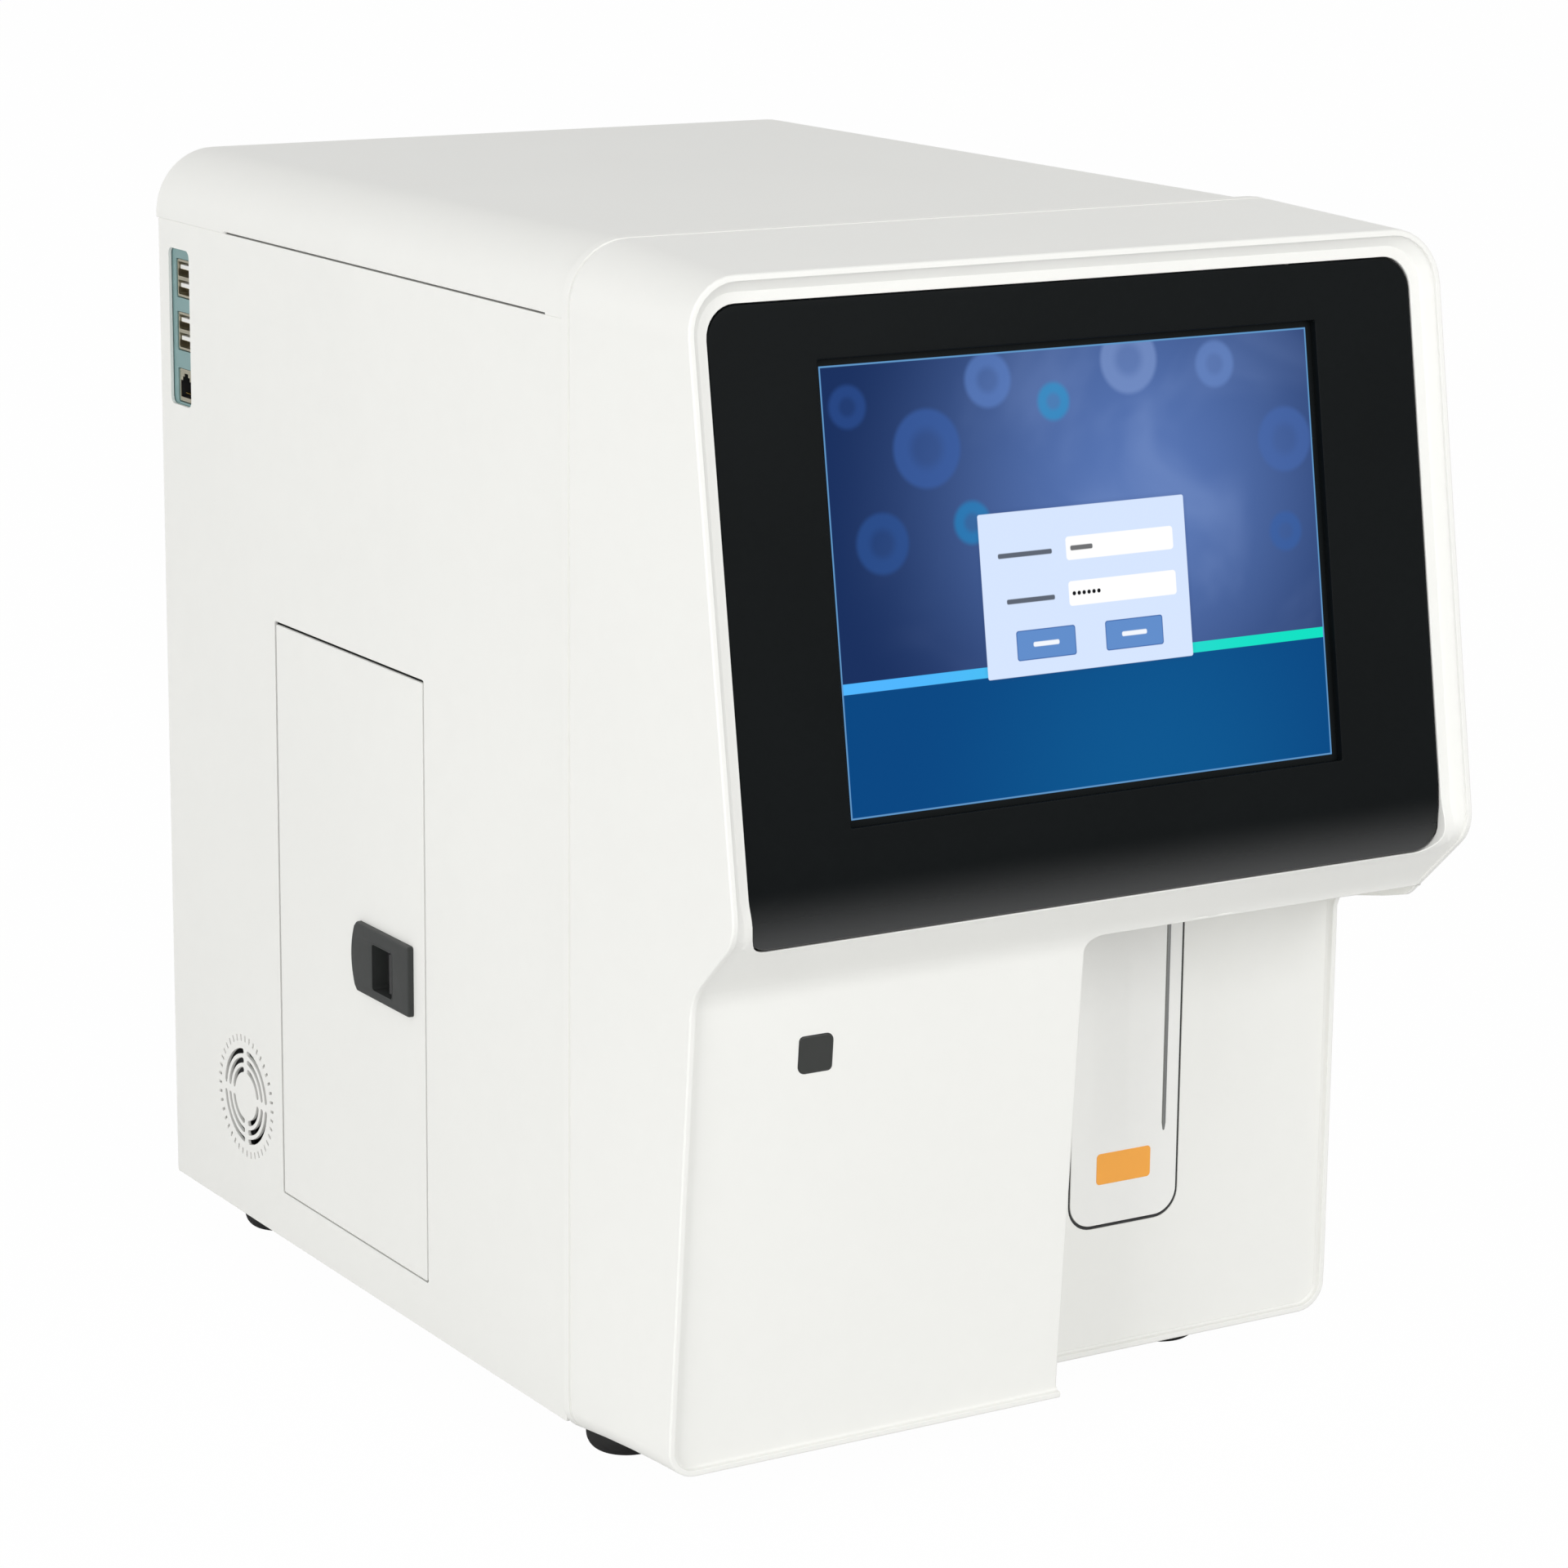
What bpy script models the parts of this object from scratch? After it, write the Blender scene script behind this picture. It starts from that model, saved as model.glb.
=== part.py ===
"""Bench-top hematology analyzer, modelled as an assembly of separate pieces.

+X is to the right of a person who faces the screen, +Y goes to the back and +Z is up.
The origin lies on the bench, midway between the front and the back of the machine.
All lengths are metres and all angles are radians.
"""

import math

import bmesh
import bpy
from mathutils import Matrix, Vector

# Clearances and cutting allowances
FIT_GAP = 0.0003
OVERRUN = 0.006
RUNNING_GAP = 0.0007

# Cabinet: driving sizes
CABINET_WIDTH = 0.320
CABINET_FRONT = -0.1195
CABINET_REAR = 0.2305
FOOT_HEIGHT = 0.0215
BODY_HEIGHT = 0.4430
SHEET = 0.0015
FLANGE_DEPTH = 0.0130

# Top cover
TOP_COVER_PROUD = 0.0010
TOP_COVER_FLANK = 0.0280
TOP_CORNER_RADIUS = 0.0260
TOP_SEAM_GAP = 0.0010
TOP_NOTCH_FRONT = -0.1060
TOP_NOTCH_REAR = 0.1648
TOP_NOTCH_DEPTH = 0.0008

# Front cover: outline seen from the front, at its rear edge and at its lip
COVER_PROUD = 0.0025
COVER_SEAM_GAP = 0.0012
COVER_WALL = 0.0030
COVER_TOP_PROUD = 0.0010
COVER_TOP_FALL_SHARE = 0.046
COVER_BOTTOM_RISE_SHARE = 0.055
COVER_TOP_RADIUS = 0.0240
COVER_TOP_RADIUS_FRONT = 0.0205
COVER_BOTTOM_RADIUS = 0.0140
COVER_BOTTOM_RADIUS_FRONT = 0.0120

# Front cover: side outline of its lip, as corners (y, z) before rounding
SCREEN_LEAN = math.radians(9.16)
NOSE_Y = -0.2430
NOSE_DROP = 0.1912
NOSE_RADIUS = 0.0150
THROAT_Y = -0.2140
THROAT_DROP = 0.0269
THROAT_RADIUS = 0.0180
BLOCK_LEAN = math.radians(4.59)
SCREEN_INSET = 0.0045
CHIN_INSET = 0.0008
BLOCK_INSET = 0.0025
SKIN = 0.0035

# Sampling bay beside the block
BAY_LEFT_TOP = 0.0048
BAY_LEFT_BOTTOM = 0.0074
BAY_BACK = -0.1605
BAY_CEILING_DROP = 0.0009
BAY_CORNER_RADIUS = 0.0080
CHEEK_FRONT_Y = -0.2070
CHEEK_REAR_Y = -0.1630
CHEEK_FALL_SHARE = 0.220
CHEEK_FRONT_RADIUS = 0.0150
CHEEK_REAR_RADIUS = 0.0060

# Display
ACTIVE_WIDTH = 0.2112
ACTIVE_HEIGHT = 0.1584
ACTIVE_CENTRE_X = -0.0013
ACTIVE_TOP_DROP = 0.0360
WINDOW_MARGIN = 0.0024
BEZEL_SIDE_GAP = 0.01125
BEZEL_TOP_MARGIN = 0.0234
BEZEL_DEPTH = 0.0050
BEZEL_THICKNESS = 0.0030
BEZEL_STRAIGHT_BELOW = 0.0155
BEZEL_ROLL_RADIUS = 0.0600
BEZEL_ROLL_LENGTH = 0.0268
BEZEL_TOP_RADIUS = 0.0120
BEZEL_BOTTOM_RADIUS = 0.0040
GLASS_MARGIN = 0.0080
GLASS_THICKNESS = 0.0018
LCD_MARGIN = 0.0130
LCD_THICKNESS = 0.0090
PAN_SIDE_GAP = 0.0010
PAN_FLANGE = 0.0060

# Service door in the left side panel
DOOR_FRONT = -0.0057
DOOR_REAR = 0.1232
DOOR_BOTTOM = 0.0422
DOOR_TOP = 0.2831
DOOR_GAP = 0.0012
DOOR_FLANGE = 0.0085
DOOR_FLANGE_WALL = 0.0012
HINGE_INSET_X = 0.0040
HINGE_INSET_Y = 0.0050
HINGE_PIN_RADIUS = 0.0014
HINGE_HOLE_RADIUS = 0.0018
HINGE_PIN_DEPTH = 0.0040
HINGE_LUG_DEPTH = 0.0075
HINGE_LUG_HALF_WIDTH = 0.0042

# Door latch
LATCH_FRONT = 0.0035
LATCH_REAR = 0.0500
LATCH_BULGE = 0.0038
LATCH_BOTTOM = 0.1480
LATCH_TOP = 0.1765
LATCH_PROUD = 0.0022
LATCH_BORDER = 0.0030
WINDOW_FRONT = 0.0178
WINDOW_REAR = 0.0348
WINDOW_BOTTOM = 0.1518
WINDOW_TOP = 0.1705
LATCH_POCKET = 0.0045
SLIDER_THICKNESS = 0.0020
SLIDER_TAIL = 0.0420
GRIP_Y = 0.0215
GRIP_THICKNESS = 0.0018
BOLT_HEIGHT = 0.0110
LATCH_RAIL = 0.0015
LATCH_RAIL_LIP = 0.0015

# Reagent compartment and its two bottles
LINER_DEPTH = 0.0780
LINER_CLEAR_FRONT = 0.0030
LINER_CLEAR_REAR = 0.0044
LINER_CLEAR_HEIGHT = 0.0040
LINER_WALL = 0.0015
BOTTLE_WIDTH = 0.0560
BOTTLE_DEPTH = 0.0540
BOTTLE_HEIGHT = 0.1450
BOTTLE_SPACING = 0.0040
BOTTLE_CORNER = 0.0080
BOTTLE_NECK_RADIUS = 0.0130
BOTTLE_NECK_HEIGHT = 0.0120
CAP_RADIUS = 0.0165
CAP_HEIGHT = 0.0180
CAP_TUBE_RADIUS = 0.0020
CAP_TUBE_HEIGHT = 0.0160

# Port slot, its plate, board and sockets
SLOT_FRONT = 0.2005
SLOT_REAR = 0.2167
SLOT_DROP = 0.0122
SLOT_HEIGHT = 0.0639
SLOT_RADIUS = 0.0030
PORT_PLATE_THICKNESS = 0.0010
PORT_PLATE_MARGIN = 0.0060
PORT_PLATE_SETBACK = 0.0008
PORT_CLEARANCE = 0.0005
SOCKET_LENGTH = 0.0150
USB_WIDTH = 0.0131
USB_HEIGHT = 0.0156
USB_SHELL = 0.0006
USB_MOUTH = 0.0060
USB_DEPTH = 0.0100
TONGUE_WIDTH = 0.0112
TONGUE_HEIGHT = 0.0018
UPPER_USB_DROP = 0.0115
LOWER_USB_DROP = 0.0335
NETWORK_DROP = 0.0561
NETWORK_WIDTH = 0.0128
NETWORK_HEIGHT = 0.0136
NETWORK_MOUTH_WIDTH = 0.0112
NETWORK_MOUTH_HEIGHT = 0.0076
NETWORK_DEPTH = 0.0110
NETWORK_KEY_WIDTH = 0.0038
NETWORK_KEY_DROP = 0.0057
BOARD_THICKNESS = 0.0016
IO_BOARD_MARGIN = 0.0080
STANDOFF_RADIUS = 0.0030

# Side fan and its grille
SIDE_FAN_Y = 0.1598
SIDE_FAN_Z = 0.0738
SIDE_FAN_SIZE = 0.0600
SIDE_FAN_DEPTH = 0.0150
GRILLE_RADII = (0.0115, 0.0155, 0.0195)
GRILLE_SLOT = 0.0022
GRILLE_SPOKE = 0.0030
DASH_COUNT = 40
DASH_RADIUS = 0.0252
DASH_LENGTH = 0.0022
DASH_WIDTH = 0.0009

# Rear fan and its grille
REAR_FAN_X = -0.0600
REAR_FAN_DROP = 0.1065
REAR_FAN_SIZE = 0.0800
REAR_FAN_DEPTH = 0.0250
REAR_GRILLE_RADII = (0.0120, 0.0200, 0.0280)
REAR_GRILLE_SLOT = 0.0045
REAR_GRILLE_SPOKE = 0.0040

# Parts shared by both fans
FAN_WALL = 0.0020
FAN_HUB_SHARE = 0.40
FAN_BLADES = 7
FAN_BLADE_TWIST = math.radians(35)
FAN_BLADE_THICKNESS = 0.0012
FAN_STRUT = 0.0035
FAN_PLATE = 0.0025

# Start key and its switch
KEY_LEFT = 0.0390
KEY_RIGHT = 0.0890
KEY_BOTTOM = 0.0752
KEY_SLOT_DROP = 0.0215
KEY_TOP_DROP = 0.0125
KEY_GAP = 0.0014
KEY_TOP_GAP = 0.0005
KEY_CORNER = 0.0100
KEY_PLATE = 0.0025
KEY_PIVOT_Y = -0.1500
KEY_PIVOT_DROP = 0.0235
KEY_PIN_RADIUS = 0.0015
KEY_ARM_WIDTH = 0.0030
KEY_ARM_HEIGHT = 0.0090
KEY_ARM_INSET = 0.0070
KEY_LUG = 0.0020
KEY_BRACKET_DEPTH = 0.0165
KEY_BRACKET_HEIGHT = 0.0140
SWITCH_RISE = 0.0228
SWITCH_WIDTH = 0.0120
SWITCH_HEIGHT = 0.0080
SWITCH_DEPTH = 0.0070
SWITCH_TRAVEL = 0.0027
SWITCH_POST = 0.0040
SWITCH_MARGIN = 0.0040

# Sampler: probe, carriage, guide rods, lift screw and motor
PROBE_X = 0.0640
PROBE_Y = -0.1855
PROBE_RADIUS = 0.00078
PROBE_TIP_DROP = 0.0905
PROBE_TIP_LENGTH = 0.0030
PROBE_TIP_RADIUS = 0.0004
PROBE_HUB_RADIUS = 0.0028
PROBE_TRAVEL = 0.0940
PROBE_SLOT_HALF = 0.0040
PROBE_SLOT_FRONT = 0.0065
PROBE_SLOT_REAR = 0.0190
CARRIAGE_RISE = 0.0805
CARRIAGE_HEIGHT = 0.0160
CARRIAGE_FRONT = 0.0065
GUIDE_Y = -0.1680
GUIDE_OFFSET = 0.0180
GUIDE_RADIUS = 0.0030
SCREW_OFFSET = 0.0220
SCREW_RADIUS = 0.0030
SCREW_TIP_GAP = 0.0008
LUG_THICKNESS = 0.0060
LUG_BORDER = 0.0080
LUG_MARGIN = 0.0040
BEAM_WALL = 0.0015
SAMPLER_PLATE_Y = -0.1505
SAMPLER_FOOT_RISE = 0.0055
LIFT_MOTOR_SIZE = 0.0280
LIFT_MOTOR_HEIGHT = 0.0280
WASH_SIZE = 0.0150
WASH_HEIGHT = 0.0120
WASH_BORE = 0.0014
WASH_ARM = 0.0060

# Fluidics plate, baths, valves and syringe
FLUID_PLATE_Y = -0.0300
FLUID_PLATE_LEFT = -0.0750
FLUID_PLATE_SIDE_GAP = 0.0132
FLUID_PLATE_DROP = 0.0565
FLUID_FOOT = 0.0160
BATH_PITCH = 0.0450
BATH_SYRINGE_GAP = 0.0410
BATH_Y = -0.0780
BATH_Z = 0.1520
BATH_RADIUS = 0.0140
BATH_WALL = 0.0020
BATH_HEIGHT = 0.0420
BATH_SPOUT_RADIUS = 0.0030
BATH_SPOUT = 0.0160
BATH_SHELF_MARGIN = 0.0080
VALVE_COUNT = 5
VALVE_PITCH = 0.0200
VALVE_RADIUS = 0.0075
VALVE_LENGTH = 0.0340
VALVE_FIRST_X = -0.0600
VALVE_Z = 0.0850
MANIFOLD_DEPTH = 0.0200
MANIFOLD_HEIGHT = 0.0220
MANIFOLD_MARGIN = 0.0110
SYRINGE_SIDE_GAP = 0.0322
SYRINGE_Y = -0.0600
BARREL_Z = 0.2050
BARREL_LENGTH = 0.0600
BARREL_RADIUS = 0.0080
BARREL_BORE = 0.0055
PLUNGER_TRAVEL = 0.0350
PISTON_LENGTH = 0.0080
PLUNGER_ROD_RADIUS = 0.0025
PLUNGER_COLLAR_RADIUS = 0.0060
PLUNGER_COLLAR_HEIGHT = 0.0050
SYRINGE_MOTOR_SIZE = 0.0350
SYRINGE_MOTOR_HEIGHT = 0.0340
SYRINGE_MOTOR_TOP = 0.1500
SYRINGE_ARM_THICKNESS = 0.0060

# Pumps, power supply and main board
PUMP_PITCH = 0.0330
PUMP_Y = 0.1000
PUMP_MOTOR_RADIUS = 0.0130
PUMP_MOTOR_LENGTH = 0.0460
PUMP_HEAD = 0.0300
PUMP_HEAD_LENGTH = 0.0240
PUMP_CRADLE = 0.0060
PUMP_CRADLE_INSET = 0.0030
PSU_SIDE_GAP = 0.0102
PSU_WIDTH = 0.0980
PSU_FRONT = 0.0100
PSU_LENGTH = 0.1750
PSU_HEIGHT = 0.0420
MAIN_BOARD_SETBACK = 0.0082
MAIN_BOARD_FRONT = -0.0200
MAIN_BOARD_REAR = 0.1800
MAIN_BOARD_BOTTOM = 0.1200
MAIN_BOARD_DROP = 0.0765
STANDOFF_INSET = 0.0060
CHIP_THICKNESS = 0.0030
HEADER_THICKNESS = 0.0100
BLOCK_SHARES = (
    ("processor", (0.35, 0.50), (0.52, 0.67), CHIP_THICKNESS),
    ("memory", (0.60, 0.52), (0.70, 0.65), CHIP_THICKNESS),
    ("driver", (0.20, 0.20), (0.28, 0.34), CHIP_THICKNESS),
    ("front_header", (0.06, 0.30), (0.10, 0.75), HEADER_THICKNESS),
    ("rear_header", (0.90, 0.35), (0.94, 0.70), HEADER_THICKNESS),
)

# Rear panel fittings
INLET_SIDE_GAP = 0.0600
INLET_Z = 0.0700
INLET_FLANGE_WIDTH = 0.0500
INLET_FLANGE_HEIGHT = 0.0480
INLET_FLANGE_THICKNESS = 0.0025
INLET_BODY_DEPTH = 0.0220
INLET_CAVITY_WIDTH = 0.0240
INLET_CAVITY_HEIGHT = 0.0165
INLET_CAVITY_DEPTH = 0.0170
INLET_CAVITY_DROP = 0.0110
INLET_PIN_WIDTH = 0.0020
INLET_PIN_HEIGHT = 0.0040
INLET_PIN_LENGTH = 0.0120
INLET_PIN_SPACING = 0.0070
INLET_PIN_RISE = 0.0020
ROCKER_RISE = 0.0120
ROCKER_WIDTH = 0.0190
ROCKER_HEIGHT = 0.0125
ROCKER_PROUD = 0.0030
ROCKER_DEPTH = 0.0080
ROCKER_WELL_GAP = 0.0012
FITTING_COUNT = 3
FITTING_PITCH = 0.0300
FITTING_SIDE_GAP = 0.0600
FITTING_Z = 0.0700
BULKHEAD_HEIGHT = 0.0220
BULKHEAD_THICKNESS = 0.0030
FITTING_BARB_RADIUS = 0.0035
FITTING_PROUD = 0.0114
FITTING_THREAD_RADIUS = 0.0060
FITTING_THREAD_LENGTH = 0.0100

# Feet
FOOT_INSET_SIDE = 0.0350
FOOT_INSET_FRONT = 0.0165
FOOT_INSET_REAR = 0.0295
FOOT_RADIUS = 0.0155
FOOT_FACE_RADIUS = 0.0105

# Status lamp in the block face
LAMP_SIDE_GAP = 0.0545
LAMP_DROP = 0.0294
LAMP_SIZE = 0.0140
LAMP_PROUD = 0.0003
LAMP_DEPTH = 0.0045
LAMP_RADII = (0.0030, 0.0015, 0.0030, 0.0015)
LAMP_FLANGE = 0.0030

# Front frame window and cover bosses
FRAME_BORDER = 0.0260
FRAME_SILL = 0.1000
FRAME_BAR_RISE = 0.0405
FRAME_BAR = 0.0200
BOSS_RADIUS = 0.0045
BOSS_INSET = 0.0120

# Right side panel vents
VENT_COUNT = 8
VENT_PITCH = 0.0085
VENT_LENGTH = 0.0600
VENT_WIDTH = 0.0030
VENT_CORNER_SHARE = 0.45
VENT_REAR_INSET = 0.0300
VENT_BOTTOM_INSET = 0.0250

# Places worked out from the sizes above
HALF_WIDTH = CABINET_WIDTH / 2
PANEL_INNER = HALF_WIDTH - SHEET
CABINET_BOTTOM = FOOT_HEIGHT
BODY_TOP = CABINET_BOTTOM + BODY_HEIGHT
PANEL_TOP = BODY_TOP - TOP_COVER_FLANK
COVER_REAR = CABINET_FRONT - COVER_SEAM_GAP
COVER_HALF = HALF_WIDTH + COVER_PROUD
COVER_TOP = BODY_TOP + COVER_TOP_PROUD
INNER_HALF = PANEL_INNER - FIT_GAP
BOSS_REAR = COVER_REAR + FIT_GAP
FRAME_FRONT = BOSS_REAR + FIT_GAP
BASE_TOP = CABINET_BOTTOM + SHEET
SCREEN_SLOPE_SHARE = math.tan(SCREEN_LEAN)
ACTIVE_TOP_Z = BODY_TOP - ACTIVE_TOP_DROP
NOSE_Z = ACTIVE_TOP_Z - NOSE_DROP
THROAT_Z = NOSE_Z - THROAT_DROP
BAY_CEILING = THROAT_Z - BAY_CEILING_DROP
LAMP_X = LAMP_SIDE_GAP - COVER_HALF
LAMP_Z = THROAT_Z - LAMP_DROP
BEZEL_WIDTH = 2 * (COVER_HALF - BEZEL_SIDE_GAP)
KEY_TOP = BAY_CEILING - KEY_TOP_DROP
KEY_SLOT_TOP = BAY_CEILING - KEY_SLOT_DROP
KEY_PIVOT_Z = BAY_CEILING - KEY_PIVOT_DROP
SWITCH_Z = KEY_BOTTOM + SWITCH_RISE
PROBE_TIP_Z = BAY_CEILING - PROBE_TIP_DROP
CARRIAGE_Z = BAY_CEILING + CARRIAGE_RISE
SAMPLER_FOOT_Z = BAY_CEILING + SAMPLER_FOOT_RISE
WASH_Z = SAMPLER_FOOT_Z
FRAME_BAR_Z = BAY_CEILING + FRAME_BAR_RISE
SLOT_TOP = PANEL_TOP - SLOT_DROP
SLOT_BOTTOM = SLOT_TOP - SLOT_HEIGHT
UPPER_USB_Z = SLOT_TOP - UPPER_USB_DROP
LOWER_USB_Z = SLOT_TOP - LOWER_USB_DROP
NETWORK_Z = SLOT_TOP - NETWORK_DROP
REAR_FAN_Z = PANEL_TOP - REAR_FAN_DROP
FLUID_PLATE_TOP = PANEL_TOP - FLUID_PLATE_DROP
FLUID_PLATE_RIGHT = INNER_HALF - FLUID_PLATE_SIDE_GAP
SYRINGE_X = INNER_HALF - SYRINGE_SIDE_GAP
BATH_X = (SYRINGE_X - BATH_SYRINGE_GAP - BATH_PITCH, SYRINGE_X - BATH_SYRINGE_GAP)
PSU_LEFT = INNER_HALF - PSU_SIDE_GAP - PSU_WIDTH
PUMP_MIDDLE = (PSU_LEFT - PANEL_INNER + LINER_DEPTH) / 2
PUMP_X = (PUMP_MIDDLE - PUMP_PITCH / 2, PUMP_MIDDLE + PUMP_PITCH / 2)
MAIN_BOARD_X = INNER_HALF - MAIN_BOARD_SETBACK
MAIN_BOARD_TOP = PANEL_TOP - MAIN_BOARD_DROP
INLET_X = HALF_WIDTH - INLET_SIDE_GAP
FITTING_X = [FITTING_SIDE_GAP - HALF_WIDTH + step * FITTING_PITCH for step in range(FITTING_COUNT)]
FOOT_X = HALF_WIDTH - FOOT_INSET_SIDE
FOOT_FRONT_Y = CABINET_FRONT + FOOT_INSET_FRONT
FOOT_REAR_Y = CABINET_REAR - FOOT_INSET_REAR
CHIN_SLOPE_SHARE = (NOSE_Z - THROAT_Z) / (THROAT_Y - NOSE_Y)

ARC_STEPS = 6
ROUND_SIDES = 32
SMALL_SIDES = 16

# How an outline's own x, y and depth lie in the world when it is pushed along each axis
ALONG_X = Matrix(((0, 0, 1), (1, 0, 0), (0, 1, 0)))
ALONG_Y = Matrix(((1, 0, 0), (0, 0, -1), (0, 1, 0)))
ALONG_Z = Matrix.Identity(3)

FINISHES = {
    "panel_white": ((0.86, 0.86, 0.84), 0.45, 0.0),
    "cover_white": ((0.88, 0.88, 0.86), 0.40, 0.0),
    "bezel_black": ((0.012, 0.013, 0.015), 0.22, 0.0),
    "black_plastic": ((0.045, 0.048, 0.045), 0.45, 0.0),
    "screen_glass": ((0.03, 0.10, 0.30), 0.08, 0.0),
    "zinc_steel": ((0.55, 0.57, 0.56), 0.38, 0.9),
    "port_plate": ((0.24, 0.38, 0.38), 0.35, 0.6),
    "socket_metal": ((0.52, 0.50, 0.42), 0.30, 0.9),
    "stainless": ((0.62, 0.62, 0.61), 0.18, 1.0),
    "brass": ((0.62, 0.45, 0.20), 0.30, 1.0),
    "motor_black": ((0.03, 0.03, 0.03), 0.50, 0.2),
    "green_board": ((0.02, 0.16, 0.07), 0.45, 0.0),
    "clear_plastic": ((0.75, 0.78, 0.78), 0.10, 0.0),
    "bottle_plastic": ((0.82, 0.83, 0.80), 0.35, 0.0),
    "blue_cap": ((0.05, 0.16, 0.42), 0.40, 0.0),
    "red_cap": ((0.42, 0.05, 0.05), 0.40, 0.0),
    "rubber": ((0.015, 0.015, 0.015), 0.70, 0.0),
    "grey_plastic": ((0.40, 0.41, 0.41), 0.45, 0.0),
}


def empty_scene():
    """Remove what the scene holds and give two empty collections."""
    for item in list(bpy.data.objects):
        bpy.data.objects.remove(item, do_unlink=True)
    groups = []
    for name in ("hematology_analyzer", "cutters"):
        group = bpy.data.collections.new(name)
        bpy.context.scene.collection.children.link(group)
        groups.append(group)
    return groups


PARTS, CUTTERS = empty_scene()


def add_mesh(name, bm, origin=Vector()):
    """Turn a bmesh, built about its own origin, into an object among the cutters."""
    bmesh.ops.recalc_face_normals(bm, faces=bm.faces)
    mesh = bpy.data.meshes.new(name)
    bm.to_mesh(mesh)
    bm.free()
    item = bpy.data.objects.new(name, mesh)
    item.location = origin
    item.hide_render = True
    item.display_type = "WIRE"
    CUTTERS.objects.link(item)
    return item


def box(name, low, high):
    """Rectangular block between two opposite corners."""
    low, high = Vector(low), Vector(high)
    bm = bmesh.new()
    bmesh.ops.create_cube(bm, size=1)
    bmesh.ops.scale(bm, vec=high - low, verts=bm.verts)
    return add_mesh(name, bm, (low + high) / 2)


def cone(name, start, end, start_radius, end_radius, sides=ROUND_SIDES):
    """Round bar or cone between two points."""
    start, end = Vector(start), Vector(end)
    bm = bmesh.new()
    bmesh.ops.create_cone(bm, cap_ends=True, segments=sides, radius1=start_radius,
                          radius2=end_radius, depth=(end - start).length)
    item = add_mesh(name, bm, (start + end) / 2)
    item.rotation_mode = "QUATERNION"
    item.rotation_quaternion = (end - start).to_track_quat("Z", "Y")
    return item


def rod(name, start, end, radius, sides=ROUND_SIDES):
    """Round bar between two points."""
    return cone(name, start, end, radius, radius, sides)


def rounded(corners, radii):
    """Round each corner of a closed outline by its own radius, with arcs of ARC_STEPS chords."""
    points = []
    count = len(corners)
    for index, radius in enumerate(radii):
        here = Vector(corners[index])
        if radius <= 0:
            points.append(here)
            continue
        back = (Vector(corners[index - 1]) - here).normalized()
        ahead = (Vector(corners[(index + 1) % count]) - here).normalized()
        half = back.angle(ahead) / 2
        centre = here + (back + ahead).normalized() * radius / math.sin(half)
        start = here + back * radius / math.tan(half) - centre
        end = here + ahead * radius / math.tan(half) - centre
        sweep = start.angle_signed(end)
        for step in range(ARC_STEPS + 1):
            turn = -sweep * step / ARC_STEPS
            points.append(centre + Matrix.Rotation(turn, 2) @ start)
    return points


def rectangle(left, right, low, high, radii):
    """Rounded rectangle, with radii given from the lower left corner, turning left."""
    corners = ((left, low), (right, low), (right, high), (left, high))
    return rounded(corners, radii)


def shifted(corners, insets):
    """Move each edge of a closed outline that turns left inwards by its own distance."""
    moved = []
    count = len(corners)
    lines = []
    for index, inset in enumerate(insets):
        start = Vector(corners[index])
        run = (Vector(corners[(index + 1) % count]) - start).normalized()
        lines.append((start + Vector((-run.y, run.x)) * inset, run))
    for index in range(count):
        first, first_run = lines[index - 1]
        second, second_run = lines[index]
        cross = first_run.cross(second_run)
        along = (second - first).cross(second_run) / cross
        moved.append(first + first_run * along)
    return moved


def prism(name, outline, axes, start, end, origin=Vector(), holes=()):
    """Push a flat outline, with its holes, from start to end along the third of its axes."""
    curve = bpy.data.curves.new(name, "CURVE")
    curve.dimensions = "2D"
    curve.fill_mode = "BOTH"
    curve.extrude = (end - start) / 2
    for points in (outline, *holes):
        spline = curve.splines.new("POLY")
        spline.points.add(len(points) - 1)
        for target, point in zip(spline.points, points):
            target.co = (point[0], point[1], 0, 1)
        spline.use_cyclic_u = True
    guide = bpy.data.objects.new(name, curve)
    CUTTERS.objects.link(guide)
    middle = Vector(origin) + axes @ Vector((0, 0, (start + end) / 2))
    guide.matrix_world = Matrix.Translation(middle) @ axes.to_4x4()
    bpy.context.view_layer.update()
    seen = guide.evaluated_get(bpy.context.evaluated_depsgraph_get())
    mesh = bpy.data.meshes.new_from_object(seen)
    place = guide.matrix_world.copy()
    bpy.data.objects.remove(guide, do_unlink=True)
    bm = bmesh.new()
    bm.from_mesh(mesh)
    bpy.data.meshes.remove(mesh)
    bmesh.ops.remove_doubles(bm, verts=bm.verts, dist=FIT_GAP / 10)
    item = add_mesh(name, bm)
    item.matrix_world = place
    return item


def loft(name, sections):
    """Join rings with equal counts of points, and close both ends."""
    bm = bmesh.new()
    rings = [[bm.verts.new(point) for point in section] for section in sections]
    count = len(rings[0])
    for first, second in zip(rings, rings[1:]):
        for index in range(count):
            after = (index + 1) % count
            bm.faces.new((first[index], first[after], second[after], second[index]))
    bm.faces.new(rings[0])
    bm.faces.new(reversed(rings[-1]))
    return add_mesh(name, bm)


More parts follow.
